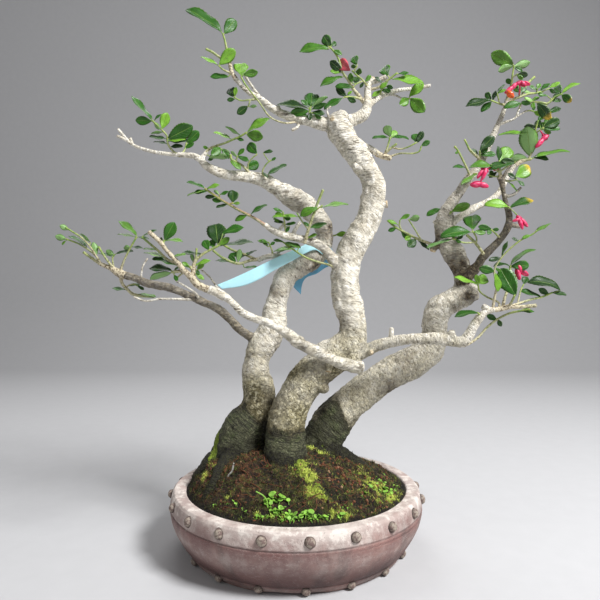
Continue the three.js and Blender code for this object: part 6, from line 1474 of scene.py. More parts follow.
@dataclass
class Pot:
    """Drum pot: a turned shell with incised lines, two rows of clay rivets and three low feet."""

    radius: float = 150 * MM
    rim_top: float = 70 * MM
    rim_radius: float = 146 * MM
    lip_radius: float = 131 * MM
    floor_bottom: float = 3 * MM
    floor_top: float = 13 * MM
    belly: float = 50 * MM
    belly_power: float = 1.7
    band_top: float = 9.4 * MM
    band_radius: float = 132 * MM
    base_radius: float = 126 * MM
    edge_round: float = 2.6 * MM
    line_depth: float = 1.3 * MM
    line_width: float = 0.6 * MM
    wave_depth: float = 0.45 * MM
    pit_depth: float = 0.22 * MM
    wear: float = 0.35 * MM
    worn_from: float = 120 * MM
    wall_rows: int = 76
    lines: tuple[float, ...] = (52.2 * MM, 9.4 * MM)
    second_line: float = 47.6 * MM
    inner: Rows = (
        (0.1315, 0.064), (0.135, 0.052), (0.1355, 0.044), (0.132, 0.031), (0.1245, 0.0205),
        (0.117, 0.0150), (0.110, 0.013),
    )
    floor_rings: tuple[float, ...] = (0.3, 0.6, 0.85, 0.97)
    sides: int = 288
    upper_rivets: tuple[float, float, float, int] = (61.5 * MM, 5.1 * MM, 5.5, 20)
    lower_rivets: tuple[float, float, float, int] = (5.3 * MM, 4.5 * MM, 4.7, 17)
    # Rivet rings: level and spread as shares of the radius, and share of painted shade at the seat
    rivet_rings: Rows = (
        (-0.35, 1.1, 1), (0.0, 1.1, 0.8), (0.08, 1.0, 0.6), (0.3, 0.96, 0.15),
        (0.52, 0.84, 0), (0.68, 0.66, 0), (0.79, 0.44, 0), (0.85, 0.2, 0),
    )
    rivet_top: float = 0.87
    # Scale height of the painted shade towards the bottom
    painted_shade_top: float = 30 * MM
    bloom_edge: tuple[float, float] = (50.5 * MM, 4 * MM)
    bloom_rim: tuple[float, float] = (58 * MM, 10 * MM)
    bloom_belly: tuple[float, float, float] = (36 * MM, 12 * MM, 0.3)
    bloom_foot: tuple[float, float] = (8 * MM, 0.5)
    foot_radii: tuple[float, float] = (100 * MM, 126 * MM)
    foot_middles: tuple[float, ...] = (90.0, 210.0, 330.0)
    foot_half_angle: float = 48.0
    foot_rings: int = 40
    foot_sides: int = 24
    rivet_sides: int = 20
    drain_radius: float = 10 * MM
    drain_offset: float = 58 * MM

    def outer_radius(self, z: np.ndarray) -> np.ndarray:
        """Radius of the wall: full at the belly, less by a power of the way down or up, then a band.

        Args:
            z: Heights in metres.

        Returns:
            One radius a height.
        """
        down = np.clip((self.belly - z) / (self.belly - self.band_top), 0, 1)
        up = np.clip((z - self.belly) / (self.rim_top - self.belly), 0, 1)
        wall = self.radius - (self.radius - self.band_radius) * down**self.belly_power
        wall = wall - (self.radius - self.rim_radius) * up**2
        band = self.base_radius + (self.band_radius - self.base_radius) * z / self.band_top
        return np.where(z < self.band_top, band, wall)

    def profile(self) -> np.ndarray:
        """The shell's outline from under the floor, up the wall, over the rim and down to the floor.

        Returns:
            Radius and height, one row a ring.
        """
        z = np.linspace(self.floor_bottom, self.rim_top - self.edge_round, self.wall_rows)
        wall = np.stack((self.outer_radius(z), z), axis=1)
        turn = np.linspace(0, np.pi / 2, 7)[1:]
        lift = self.rim_top - self.edge_round + self.edge_round * np.sin(turn)
        over = np.stack((self.rim_radius - self.edge_round * (1 - np.cos(turn)), lift), axis=1)
        flat = np.linspace(over[-1, 0], self.lip_radius + self.edge_round, 7)[1:-1]
        top = np.stack((flat, np.full(len(flat), self.rim_top)), axis=1)
        inward = np.stack((self.lip_radius + self.edge_round * (1 - np.cos(turn)), lift), axis=1)[::-1]
        down = smooth_rows(np.column_stack((self.inner, np.zeros(len(self.inner)))), 3 * MM)[:, :2]
        under = np.array([(share * wall[0, 0], self.floor_bottom) for share in self.floor_rings])
        inside = np.array([(r, self.floor_top) for r in (0.09, 0.06, 0.03)])
        return np.concatenate((under, wall, over, top, inward, down, inside))

    def shell(self) -> Shell:
        """The turned shell: the outline carried round the axis, less the incised lines and slight waves.

        Returns:
            The shell with its shade and bloom.
        """
        outline = self.profile()
        angles = full_turn(self.sides)
        radius = np.repeat(outline[:, :1], self.sides, axis=1)
        height = np.repeat(outline[:, 1:], self.sides, axis=1)
        is_wall = (outline[:, 0] > self.base_radius) & (outline[:, 1] < self.rim_top - self.edge_round)
        is_outside = is_wall & (np.arange(len(outline)) < self.wall_rows + len(self.floor_rings) + 1)
        cut = sum(np.exp(-(((height - line) / self.line_width) ** 2)) for line in self.lines)
        on_right = np.clip(1.6 * np.sin(angles + 0.1) - 0.5, 0, 1)[None]
        second = np.exp(-(((height - self.second_line) / self.line_width) ** 2)) * on_right * 0.7
        radius = radius - np.where(is_outside[:, None], self.line_depth * (cut + second), 0)
        spots = around(angles, radius, height).reshape(-1, 3)
        waves = layered_noise(spots / 0.05, 3, 2).reshape(radius.shape) * self.wave_depth
        pits = layered_noise(spots / 0.007, 9, 2).reshape(radius.shape) * self.pit_depth
        radius = radius + np.where(radius > self.worn_from, np.minimum(waves + pits - self.wear, 0), 0)
        rings = around(angles, radius, height) + (POT_AXIS, 0, 0)
        shell = closed_rings(rings, (POT_AXIS, 0, self.floor_bottom), (POT_AXIS, 0, self.floor_top))
        # Painted shade: darker towards the bottom above the band, a little on the band, and dark in the
        # incised lines
        painted_shade = np.where(height > self.band_top, 0.75 * np.clip(1.2 - height / self.painted_shade_top, 0, 1), 0.25)
        groove = 0.4 * np.clip(cut + second, 0, 1) + painted_shade
        shell.with_value("shade", np.concatenate((np.where(is_outside[:, None], groove, 0).ravel(), (0, 0))))
        return shell.with_value("bloom", self.bloom(shell.points))

    def bloom(self, points: np.ndarray) -> np.ndarray:
        """Share of white bloom: most on the rim, some under it and low on the belly, in clouds.

        Args:
            points: Places in metres, one a row.

        Returns:
            One value a place, from 0 to 1.
        """
        z = points[:, 2]
        rim = 0.5 + 0.5 * np.clip((z - self.bloom_rim[0]) / self.bloom_rim[1], 0, 1)
        rim = rim * np.clip((z - self.bloom_edge[0]) / self.bloom_edge[1], 0, 1)
        middle, spread, share = self.bloom_belly
        belly = share * np.exp(-(((z - middle) / spread) ** 2))
        foot = self.bloom_foot[1] * np.exp(-((z / self.bloom_foot[0]) ** 4))
        clouds = 0.85 + 0.4 * layered_noise(points / 0.03, 21, 3)
        return np.clip((rim + belly + foot) * clouds, 0, 1)

    def rivet(self, height: float, radius: float, turned: float, index: int) -> Shell:
        """One rivet: rings that close in as they rise, square to the wall, at a bearing in degrees.

        Args:
            height: Height of its middle.
            radius: Its radius.
            turned: Bearing in degrees from the front.
            index: Which of its row it is.

        Returns:
            The rivet with its shade.
        """
        angle = math.radians(turned)
        out = np.array((math.sin(angle), -math.cos(angle), 0.0))
        slope = float(self.outer_radius(np.array(height + MM)) - self.outer_radius(np.array(height - MM)))
        normal = unit(out - np.array((0, 0, slope / (2 * MM))))
        side = np.array((math.cos(angle), math.sin(angle), 0.0))
        up = np.cross(normal, side)
        turns = full_turn(self.rivet_sides)
        level, spread, speck_and_seat_shade = np.array(self.rivet_rings).T
        uneven = 1 + 0.05 * np.sin(2 * turns + index) + 0.03 * np.sin(5 * turns + 2.3 * index)
        middle = np.array((POT_AXIS, 0, height)) + out * float(self.outer_radius(np.array(height)))
        spokes = (np.cos(turns)[:, None] * side - np.sin(turns)[:, None] * up) * uneven[:, None]
        rings = middle + radius * (spread[:, None, None] * spokes[None] + level[:, None, None] * normal)
        poles = [middle + share * radius * normal for share in (level[0], self.rivet_top)]
        # Painted shade: full at the rivet's seat on the wall, fading up its side, none on the dome
        shade = np.concatenate((np.repeat(speck_and_seat_shade, len(turns)), (1, 0)))
        return closed_rings(rings, *poles).with_value("shade", shade)

    def foot(self, middle: float) -> Shell:
        """One foot: a rounded bar of the foot's breadth and height carried along its arc.

        Args:
            middle: Bearing of its middle in degrees.

        Returns:
            The closed bar.
        """
        half = math.radians(self.foot_half_angle)
        share = np.linspace(-1, 1, self.foot_rings)
        angles = math.radians(middle) + share * half
        turns = full_turn(self.foot_sides)
        breadth, height = (self.foot_radii[1] - self.foot_radii[0]) / 2, (self.floor_bottom + 2 * MM) / 2
        narrow = np.clip((1 - np.abs(share)) * 14, 0.25, 1) ** 0.5
        radius = (sum(self.foot_radii) / 2 + breadth * squared(np.cos(turns)))[None].repeat(len(share), 0)
        z = height + height * squared(np.sin(turns))[None] * np.where(np.sin(turns) < 0, narrow[:, None], 1)
        rings = np.stack(
            (POT_AXIS + np.cos(angles)[:, None] * radius, np.sin(angles)[:, None] * radius,
             np.broadcast_to(z, radius.shape)), axis=-1,
        )
        return closed_rings(rings, rings[0].mean(0), rings[-1].mean(0))

    def cutter(self, x: float) -> bpy.types.Object:
        """A round bar through the floor at a drain hole."""
        path = np.array([(POT_AXIS + x, 0, z) for z in np.linspace(-0.02, 0.04, 4)])
        bar = swept_tube(path, np.full(4, self.drain_radius), 40, 0)
        return linked("drain_cutter", mesh_of("drain_cutter", bar))

    def pierced(self, piece: bpy.types.Object) -> None:
        """Cuts the two drain holes out of the shell's floor.

        Args:
            piece: The pot's shell.
        """
        cutters = [self.cutter(x) for x in (-self.drain_offset, self.drain_offset)]
        for cutter in cutters:
            cut = piece.modifiers.new("drain", "BOOLEAN")
            cut.operation = "DIFFERENCE"
            cut.solver = "EXACT"
            cut.object = cutter
        settled = bpy.data.meshes.new_from_object(piece.evaluated_get(bpy.context.evaluated_depsgraph_get()))
        piece.modifiers.clear()
        piece.data = settled
        for cutter in cutters:
            bpy.data.objects.remove(cutter)

    def build(self) -> None:
        """Makes the shell with its holes, the feet and the rivets."""
        clay = Clay().material()
        self.pierced(make_piece("pot_shell", self.shell(), [clay], "pot"))
        feet = joined([self.foot(middle) for middle in self.foot_middles])
        feet.with_value("bloom", 0.2).with_value("shade", 0.0)
        make_piece("pot_feet", feet, [clay], "pot")
        studs = [
            self.rivet(height, radius, phase + 360 / count * index, index)
            for height, radius, phase, count in (self.upper_rivets, self.lower_rivets)
            for index in range(count)
        ]
        make_piece("pot_rivets", joined(studs), [RivetClay().material()], "pot")


@dataclass
class Mound:
    """Soil heaped over the lip, with moss, clay granules, fibres and small weeds."""

    top: float = 122 * MM
    edge: float = 68 * MM
    centre: tuple[float, float] = (-20 * MM, -6 * MM)
    power: float = 1.5
    left_fullness: float = 1.3
    lip: float = 130.2 * MM
    sectors: int = 320
    rings: int = 140
    tufts: int = 20000
    tuft_height: float = 2.4 * MM
    tuft_cell: float = 14 * MM
    granules: int = 520
    fibres: int = 240
    most_share: float = 0.955
    ridge_rise: float = 4 * MM
    swell: float = 1.6 * MM
    broad: tuple[float, float] = (17 * MM, 2.8 * MM)
    crumbs: tuple[float, float] = (4.6 * MM, 2.6 * MM)
    hollow_depth: float = 4 * MM
    rust_patch: tuple[float, ...] = (-75 * MM, -45 * MM, 35 * MM, 40 * MM)
    green_patch: tuple[float, ...] = (88 * MM, -56 * MM, 32 * MM, 36 * MM)
    granule_radii: tuple[float, float] = (0.9, 2.2)
    right_granules: tuple[float, float, float] = (0.4, 0.95, 0.3)
    sight_depths: tuple[float, float, int] = (-128, 0, 200)
    skirt: Rows = (
        (0.05, 0.015), (0.10, 0.015), (0.110, 0.016), (0.119, 0.020), (0.1285, 0.031), (0.1325, 0.043),
        (0.1318, 0.055), (0.1293, 0.064),
    )
    litter: Rows = (
        (0.0, 0.9), (2.4, 0.6), (3.4, 0.6), (4.4, 0.55), (5.2, 0.5), (6.2, 0.5), (7.0, 0.42),
    )
    weeds: Rows = (
        (272, 499, 8), (282, 502, 10), (267, 506, 8), (280, 514, 10), (274, 512, 6), (288, 516, 6),
        (295, 518, 8), (303, 519, 10), (311, 519, 8), (315, 521, 5), (320, 518, 6), (325, 518, 5),
        (267, 519, 5), (262, 521, 4), (282, 521, 5), (289, 521, 5), (348, 522, 6), (245, 512, 3),
        (233, 504, 4), (257, 517, 4), (375, 491, 5), (382, 484, 5), (386, 491, 7), (391, 493, 6),
        (371, 488, 5), (366, 496, 4), (379, 479, 4), (345, 508, 3), (216, 508, 3), (397, 488, 4),
    )
    sprout: Rows = ((268, 508, 0), (267, 501, 0), (263, 495.5, 0), (256, 491.5, 0))

    def height(self, share: np.ndarray, angle: np.ndarray) -> np.ndarray:
        """Height of the mound: its rise over the lip is 1 - share to a power, a higher one on the left.

        Args:
            share: How far out, 1 at the lip.
            angle: Bearing from the front.

        Returns:
            Heights in metres.
        """
        lumps = np.sin(3 * angle + 1) + 0.7 * np.sin(5 * angle + 9 * share)
        power = self.power + self.left_fullness * np.maximum(0, -np.sin(angle))
        rise = (self.top - self.edge) * (1 - np.clip(share, 0, 1) ** power)
        return self.edge + rise + self.swell * np.sin(np.pi * share) * lumps

    def chart(self, points: np.ndarray) -> tuple[np.ndarray, np.ndarray]:
        """Share and angle of the mound under points: the root of |p - c(1 - s)| = s lip, c its centre.

        Args:
            points: Places in metres, one a row.

        Returns:
            Share and angle of each.
        """
        centre = np.array(self.centre)
        flat = points[..., :2] - (POT_AXIS, 0) - centre
        lean = flat @ centre
        spare = self.lip**2 - centre @ centre
        share = (lean + np.sqrt(lean**2 + spare * (flat**2).sum(-1))) / spare
        out = flat + centre * share[..., None]
        return np.clip(share, 0, self.most_share), np.arctan2(out[..., 0], -out[..., 1])

    def place(self, share: np.ndarray, angle: np.ndarray) -> np.ndarray:
        """Points of the mound: its centre slides onto the pot's axis as the share goes from 0 to 1.

        Args:
            share: How far out, 1 at the lip.
            angle: Bearing from the front.

        Returns:
            Points in metres.
        """
        x = POT_AXIS + self.centre[0] * (1 - share) + np.sin(angle) * self.lip * share
        y = self.centre[1] * (1 - share) - np.cos(angle) * self.lip * share
        flat = np.stack((x, y, self.height(share, angle)), axis=-1)
        shape = flat.shape
        spots = flat.reshape(-1, 3)
        broad = self.broad[1] * layered_noise(spots / self.broad[0], 31, 3)
        crumbs = self.crumbs[1] * layered_noise(spots / self.crumbs[0], 37, 2)
        fade = np.clip((1 - share.ravel()) / 0.05, 0, 1)
        spots[:, 2] += fade * (broad + crumbs + self.ridge_rise * ridge_glow(spots))
        return spots.reshape(shape)

    def body(self) -> Shell:
        """The soil as one closed body: underside, skirt inside the wall, and the mound.

        Returns:
            The soil with painted shade in its hollows, its rust and bright moss.
        """
        angles = full_turn(self.sectors)
        skirt = np.array(self.skirt)
        low = around(angles, skirt[:, :1], np.repeat(skirt[:, 1:], self.sectors, axis=1)) + (POT_AXIS, 0, 0)
        share, turn = np.meshgrid(np.linspace(1, 0.004, self.rings), angles, indexing="ij")
        rings = np.concatenate((low, self.place(share, turn)))
        crown = self.place(np.zeros(1), np.zeros(1))[0]
        shell = closed_rings(rings, (POT_AXIS, 0, skirt[0, 1]), crown)
        above = shell.points[:, 2] - self.height(*self.chart(shell.points))
        green = self.green(shell.points)
        # Share of painted shade, rising where the surface lies lower than the mound's smooth height, less on
        # bright moss
        shell.with_value("hollow", np.clip(0.45 - above / self.hollow_depth, 0, 1) * (1 - green))
        return shell.with_value("rust", self.rust(shell.points)).with_value("bright", green)

    def within(self, points: np.ndarray, patch: tuple[float, ...]) -> np.ndarray:
        """1 in the middle of a patch given as its x, y and reaches, falling off as exp(-gap^2)."""
        x, y, wide, deep = patch
        return np.exp(-(((points[:, 0] - POT_AXIS - x) / wide) ** 2 + ((points[:, 1] - y) / deep) ** 2))

    def rust(self, points: np.ndarray) -> np.ndarray:
        """Share of red-brown fibre: a patch on the mound's left flank, less elsewhere."""
        return np.clip(0.14 + 0.8 * self.within(points, self.rust_patch), 0, 1)

    def green(self, points: np.ndarray) -> np.ndarray:
        """Share of bright moss: along the mossy ridges, to the right of the trunks, and in spots."""
        right = 0.5 * self.within(points, self.green_patch)
        ragged = 0.75 + 0.9 * layered_noise(points / 0.0075, 43, 2)
        return np.clip((ridge_glow(points) + right) * ragged + 0.34 * (ragged - 0.75), 0, 1)

    def moss(self, seed: int = 5) -> Shell:
        """Moss leaflets: small three-sided spikes that lean at random, thickest where the noise is high.

        Args:
            seed: Start of the random numbers.

        Returns:
            The spikes with their liveliness.
        """
        rng = np.random.default_rng(seed)
        share = np.sqrt(rng.uniform(0.02, 0.97, self.tufts * 2))
        angle = rng.uniform(0, 2 * np.pi, len(share))
        spots = self.place(share, angle)
        wanted = layered_noise(spots / self.tuft_cell, 51, 2) + 0.9 * self.green(spots)
        wanted += rng.uniform(-0.5, 0.5, len(share))
        keep = np.argsort(-wanted)[: self.tufts]
        lively = np.clip(self.green(spots[keep]) * 1.15 + rng.uniform(-0.35, 0.42, len(keep)), 0, 1)
        up = np.tile((0.0, 0.0, 1.0), (len(keep), 1))
        return spikes(spots[keep], up, rng, self.tuft_height).with_value("lively", np.repeat(lively, 4))

    def grains(self, seed: int = 8) -> Shell:
        """Clay granules: uneven icosahedra, half sunk in the mound, most of them near the lip.

        Args:
            seed: Start of the random numbers.

        Returns:
            The granules with their colour.
        """
        rng = np.random.default_rng(seed)
        share = rng.uniform(0.2, self.most_share, self.granules) ** 0.55
        on_right, bearing, spread = self.right_granules
        angle = np.where(
            rng.uniform(0, 1, self.granules) < on_right, rng.normal(bearing, spread, self.granules),
            rng.uniform(0, 2 * np.pi, self.granules),
        )
        spots = self.place(share, angle)
        size = rng.uniform(*self.granule_radii, self.granules) * MM
        ball, faces = icosahedron()
        uneven = rng.uniform(0.72, 1.15, (self.granules, 12, 1)) * ball[None]
        points = spots[:, None] + uneven * size[:, None, None] * rng.uniform(0.7, 1.2, (self.granules, 1, 3))
        index = faces[None] + 12 * np.arange(self.granules)[:, None, None]
        shell = Shell(points.reshape(-1, 3), face_list(index.reshape(-1, 3)))
        return shell.with_value("grain", np.repeat(rng.uniform(0, 1, self.granules), 12))

    def strands(self, seed: int = 12) -> Shell:
        """Root fibres: thin bent tubes that lie on the mound.

        Args:
            seed: Start of the random numbers.

        Returns:
            The fibres with their colour.
        """
        rng = np.random.default_rng(seed)
        out = []
        for _ in range(self.fibres):
            share, angle = rng.uniform(0.3, 0.92), rng.uniform(0, 2 * np.pi)
            run = np.linspace(0, 1, 9)
            shares = np.clip(share + rng.uniform(-0.12, 0.12) * run, 0.05, 0.95)
            angles = angle + rng.uniform(-0.25, 0.25) * run + 0.05 * np.sin(run * rng.uniform(3, 9))
            path = self.place(shares, angles) + np.array((0, 0, 0.5 * MM))
            radii = rng.uniform(0.25, 0.6) * MM * np.linspace(1, 0.6, len(run))
            out.append(swept_tube(path, radii, 5).with_value("grain", rng.uniform(0.2, 0.9)))
        return joined(out)

    def seen(self, readings: np.ndarray) -> np.ndarray:
        """The mound's own points at u, v readings: the first place where a line of sight is under it.

        Args:
            readings: u and v, one a row.

        Returns:
            Points in metres, one a reading.
        """
        depths = np.linspace(*self.sight_depths)
        count = len(readings)
        table = np.column_stack((np.repeat(readings[:, :2], len(depths), axis=0), np.tile(depths, count)))
        rays = sight(table).reshape(count, len(depths), 3)
        under = rays[..., 2] < self.height(*self.chart(rays))
        first = np.where(under.any(axis=1), np.argmax(under, axis=1), len(depths) - 1)
        return self.place(*self.chart(rays[np.arange(count), first]))

    def herbs(self, seed: int = 17) -> Shell:
        """Weeds: rosettes of small round cupped leaves on short stalks, and one bent sprout.

        Args:
            seed: Start of the random numbers.

        Returns:
            The weeds with their tone.
        """
        rng = np.random.default_rng(seed)
        out = []
        for u, v, breadth in self.weeds:
            for away, share in self.litter:
                bearing, turn = rng.uniform(0, 2 * np.pi, 2)
                near = (u + away * math.cos(bearing), v + 0.6 * away * math.sin(bearing), 0)
                size = 0.8 * METRES_PER_UNIT * breadth * share
                back = 0.75 * size * np.array((math.cos(turn), math.sin(turn), 0))
                out.append(round_leaf(self.seen(np.array((near,)))[0] - back, turn, size, rng))
        readings = np.array(self.sprout, float)
        foot = self.seen(readings[:1])[0]
        stations = sight(np.column_stack((readings[:, :2], np.full(len(readings), foot[1] / MM))))
        stem = smooth_rows(stations, 1.2 * MM)
        out.append(swept_tube(stem, np.full(len(stem), 0.65 * MM), 7).with_value("tone", 0.75))
        return joined(out)

    def build(self) -> None:
        """Makes the soil and all that grows or lies on it."""
        made = (
            ("soil_body", self.body(), Ground().material(), "soil"),
            ("soil_moss", self.moss(), Tuft().material(), "soil"),
            ("soil_granules", self.grains(), Granule().material(), "soil"),
            ("soil_fibres", self.strands(), Granule().material(), "soil"),
            ("soil_weeds", self.herbs(), WeedSkin().material(), "soil"),
        )
        for name, shell, finish, slot in made:
            make_piece(name, shell, [finish], "soil")


def icosahedron() -> tuple[np.ndarray, np.ndarray]:
    """Unit corners and faces of an icosahedron, from the golden ratio g.

    Returns:
        Twelve corners and twenty faces.
    """
    g = (1 + 5**0.5) / 2
    corners = unit(np.array(
        ((-1, g, 0), (1, g, 0), (-1, -g, 0), (1, -g, 0), (0, -1, g), (0, 1, g), (0, -1, -g), (0, 1, -g),
         (g, 0, -1), (g, 0, 1), (-g, 0, -1), (-g, 0, 1)), float,
    ))
    faces = np.array(
        ((0, 11, 5), (0, 5, 1), (0, 1, 7), (0, 7, 10), (0, 10, 11), (1, 5, 9), (5, 11, 4), (11, 10, 2),
         (10, 7, 6), (7, 1, 8), (3, 9, 4), (3, 4, 2), (3, 2, 6), (3, 6, 8), (3, 8, 9), (4, 9, 5),
         (2, 4, 11), (6, 2, 10), (8, 6, 7), (9, 8, 1))
    )
    return corners, faces


def squared(wave: np.ndarray) -> np.ndarray:
    """A wave from -1 to 1 with its turns squared off: its sign times its size to a small power."""
    return np.sign(wave) * np.abs(wave) ** 0.35


def ridge_glow(points: np.ndarray) -> np.ndarray:
    """Share of bright moss on the ridges that the front and left roots raise, by the distance to them.

    Args:
        points: Places in metres, one a row.

    Returns:
        One value a place, from 0 to 1.
    """
    spots = points - (POT_AXIS, 0, 0)
    glow = np.zeros(len(points))
    for path, width, strength in MOSSY_RIDGES:
        gap = gap_to_path(spots, np.array(path) * MM) / (width * MM)
        glow = np.maximum(glow, strength * np.exp(-(gap**2)))
    return glow


def spikes(places: np.ndarray, ups: np.ndarray, rng: np.random.Generator, tall: float) -> Shell:
    """Three-sided spikes: a triangle of base points round each place and a tip that leans at random.

    Args:
        places: Feet of the spikes, one a row.
        ups: The way each grows.
        rng: Source of the lean and size.
        tall: Mean height.

    Returns:
        All the spikes, four points each.
    """
    count = len(places)
    lean = unit(ups + rng.normal(0, 0.45, (count, 3)))
    first = unit(np.cross(lean, rng.normal(0, 1, (count, 3))))
    second = np.cross(lean, first)
    size = tall * rng.uniform(0.5, 1.4, (count, 1))
    corners = [
        places - 0.3 * tall * ups + 0.2 * tall * (math.cos(a) * first + math.sin(a) * second)
        for a in (0, 2 * math.pi / 3, 4 * math.pi / 3)
    ]
    points = np.stack((*corners, places + lean * size), axis=1).reshape(-1, 3)
    shape = np.array(((0, 2, 1), (0, 1, 3), (1, 2, 3), (2, 0, 3)))
    index = shape[None] + 4 * np.arange(count)[:, None, None]
    return Shell(points, face_list(index.reshape(-1, 3)))


def round_leaf(foot: np.ndarray, turn: float, size: float, rng: np.random.Generator) -> Shell:
    """A small cupped leaf: rings about its middle that rise with the square of the radius.

    Args:
        foot: Where its plant stands.
        turn: Bearing of the leaf, in radians.
        size: Its breadth in metres.
        rng: Source of the tilt and tone.

    Returns:
        The leaf, closed, with its tone.
    """
    away = np.array((math.cos(turn), math.sin(turn), 0.0))
    tilt = rng.uniform(0.2, 0.9)
    axis = unit(away * math.cos(tilt) + np.array((0, 0, math.sin(tilt))))
    side = np.cross((0, 0, 1), away)
    normal = np.cross(axis, side)
    middle = foot + away * size * 0.75 + np.array((0, 0, size * (0.3 + 0.5 * rng.uniform())))
    turns = full_turn(10)
    spokes = np.cos(turns)[:, None] * axis + np.sin(turns)[:, None] * side
    reach = np.array((0.55, 0.95, 1.0, 0.95, 0.55))[:, None, None] * size / 2
    rise = np.array((-0.05, 0.02, 0.06, 0.1, 0.03))[:, None, None] * size
    rings = middle + reach * spokes[None] + rise * normal
    blade = closed_rings(rings, middle - 0.07 * size * normal, middle)
    stalk = swept_tube(np.linspace(foot - (0, 0, 0.001), middle - 0.03 * size * normal, 4),
                       np.full(4, 0.28 * MM), 5)
    return joined([blade, stalk]).with_value("tone", rng.uniform(0.45, 1.0))


@dataclass
class Tree:
    """Three trunks, their limbs and bare twigs, and the root base, as one grown piece of wood."""

    voxel: float = 1.62 * MM
    thick_from: float = 8.5
    thin: tuple[str, ...] = ("leftTip", "topRightCut", "topRightLong", "behindTag")
    sawn: tuple[str, ...] = (
        "rightStub", "frontLeftUnder", "leftStump", "redCut", "knobRight", "topRight", "topLeft",
    )
    dark: dict[str, float] = field(default_factory=lambda: {
        "trunkRight": -0.45, "trunkRightUpper": 0.28, "darkRight": 0.85, "darkStem": 0.8,
        "darkForkStub": 0.7, "leftStump": 0.7, "upperForkStub": 0.4, "lowerLeft": 0.75, "frontLeft": -0.7,
    })
    foot_edge: Rows = (
        (-75, 170), (-58, 165), (-42, 150), (-30, 147), (-12, 144), (20, 144), (40, 172), (48, 170),
        (56, 154), (63, 139), (75, 135),
    )
    foot_fade: float = 14 * MM
    # Dark places: u, v, reach and share; some are weather-darkened bark, some painted shade
    weathered_and_shaded: Rows = (
        (330, 232, 14, 0.85), (314, 263, 14, 0.85), (300, 202, 14, 0.55), (274, 292, 7, 0.9),
        (434, 238, 9, 0.7), (457, 268, 14, 0.85), (470, 297, 12, 0.9), (340, 322, 10, 0.4),
        (270, 402, 12, 0.5), (333, 384, 8, 0.8), (405, 362, 11, 0.5), (392, 390, 10, 0.7),
        (282, 348, 7, 0.6), (303, 349, 6, 0.5), (455, 306, 7, 0.6), (186, 148, 8, 0.5),
    )
    scar: tuple[float, float, float, float] = (334, 119.5, -9, 4.2)
    sawn_under: float = 1.6 * MM
    sawn_over: float = 4 * MM
    sawn_spread: float = 1.05
    waver: float = 0.085
    relaxing: float = 0.5
    relaxings: int = 2
    block: int = 4000
    lump: float = 1.5 * MM
    grain: float = 0.8 * MM
    ring_pitch: float = 5.5 * MM
    moss_top: float = 0.128
    moss_fade: float = 26 * MM
    olive_top: float = 0.270
    olive_fade: float = 0.10
    glow_top: float = 0.150
    glow_fade: float = 0.02
    spot_top: float = 0.2
    spot_fade: float = 0.06
    cloud_cell: float = 0.03
    spot_cell: float = 0.010
    lump_cell: float = 0.017
    grain_cell: float = 0.0048
    bend_cell: float = 0.012
    full_relief_radius: float = 13 * MM
    wrinkle_top: float = 0.17
    wrinkle_fade: float = 0.05
    tuft_foot: float = 0.066
    tuft_cell: float = 0.012
    tufts: int = 4200
    tuft_height: float = 2.0 * MM
    limb_sides: int = 28
    twig_sides: int = 16
    fine_twig_sides: int = 10
    fine_twig: float = 3 * MM

    def bearing(self, rows: Rows, step: float) -> tuple[np.ndarray, np.ndarray]:
        """Axis in metres and radius of a limb, evenly along the smooth curve through its readings."""
        even = smooth_rows(np.array(rows, float), step)
        return sight(even), seen_size(even[:, 3], even[:, 2]) / 2

    def tube(self, path: np.ndarray, radii: np.ndarray, sides: int, seed: int, cut: Cut) -> Shell:
        """A limb: its radius waves with the turn and the run, by lattice noise on (cos a, sin a, run).

        Args:
            path: Axis of the limb.
            radii: Radius at each station.
            sides: Points round it.
            seed: Which noise.
            cut: How it ends.

        Returns:
            The closed limb.
        """
        angles = full_turn(sides)
        run = path_run(path)[:, None] / (2.2 * radii.max() + 0.006)
        grid = np.stack(np.broadcast_arrays(np.cos(angles) * 0.9, np.sin(angles) * 0.9, run), axis=-1)
        wave = 1 + self.waver * layered_noise(grid.reshape(-1, 3), seed, 2).reshape(len(path), sides)
        return swept_tube(path, radii[:, None] * wave, sides, cut.value)

    def is_thick(self, name: str, rows: Rows) -> bool:
        """Whether a limb is fused into the trunks, or swept on its own."""
        return max(row[3] for row in rows) >= self.thick_from and name not in self.thin

    def fused(self, shells: list[Shell]) -> bpy.types.Mesh:
        """The thick limbs as one skin: their overlap is filled on a voxel grid and relaxed twice.

        Args:
            shells: The limbs and roots.

        Returns:
            The skin's mesh.
        """
        raw = linked("raw_wood", mesh_of("raw_wood", joined(shells)))
        grown = raw.modifiers.new("grown", "REMESH")
        grown.mode = "VOXEL"
        grown.voxel_size = self.voxel
        relaxed = raw.modifiers.new("relaxed", "SMOOTH")
        relaxed.factor = self.relaxing
        relaxed.iterations = self.relaxings
        skin = bpy.data.meshes.new_from_object(raw.evaluated_get(bpy.context.evaluated_depsgraph_get()))
        bpy.data.objects.remove(raw)
        return skin

    def nearest(self, points: np.ndarray, axes: np.ndarray, radii: np.ndarray) -> np.ndarray:
        """Index of the axis station whose ball comes nearest to each point.

        Args:
            points: Places in metres, one a row.
            axes: Stations of all the limbs.
            radii: Radius at each station.

        Returns:
            One index a point.
        """
        picks = np.empty(len(points), int)
        square = (axes**2).sum(1)
        for low in range(0, len(points), self.block):
            part = points[low : low + self.block]
            gap = np.sqrt(np.maximum((part**2).sum(1)[:, None] + square - 2 * part @ axes.T, 0))
            picks[low : low + self.block] = np.argmin(gap / radii[None] ** 0.5 - radii[None] ** 0.5, axis=1)
        return picks

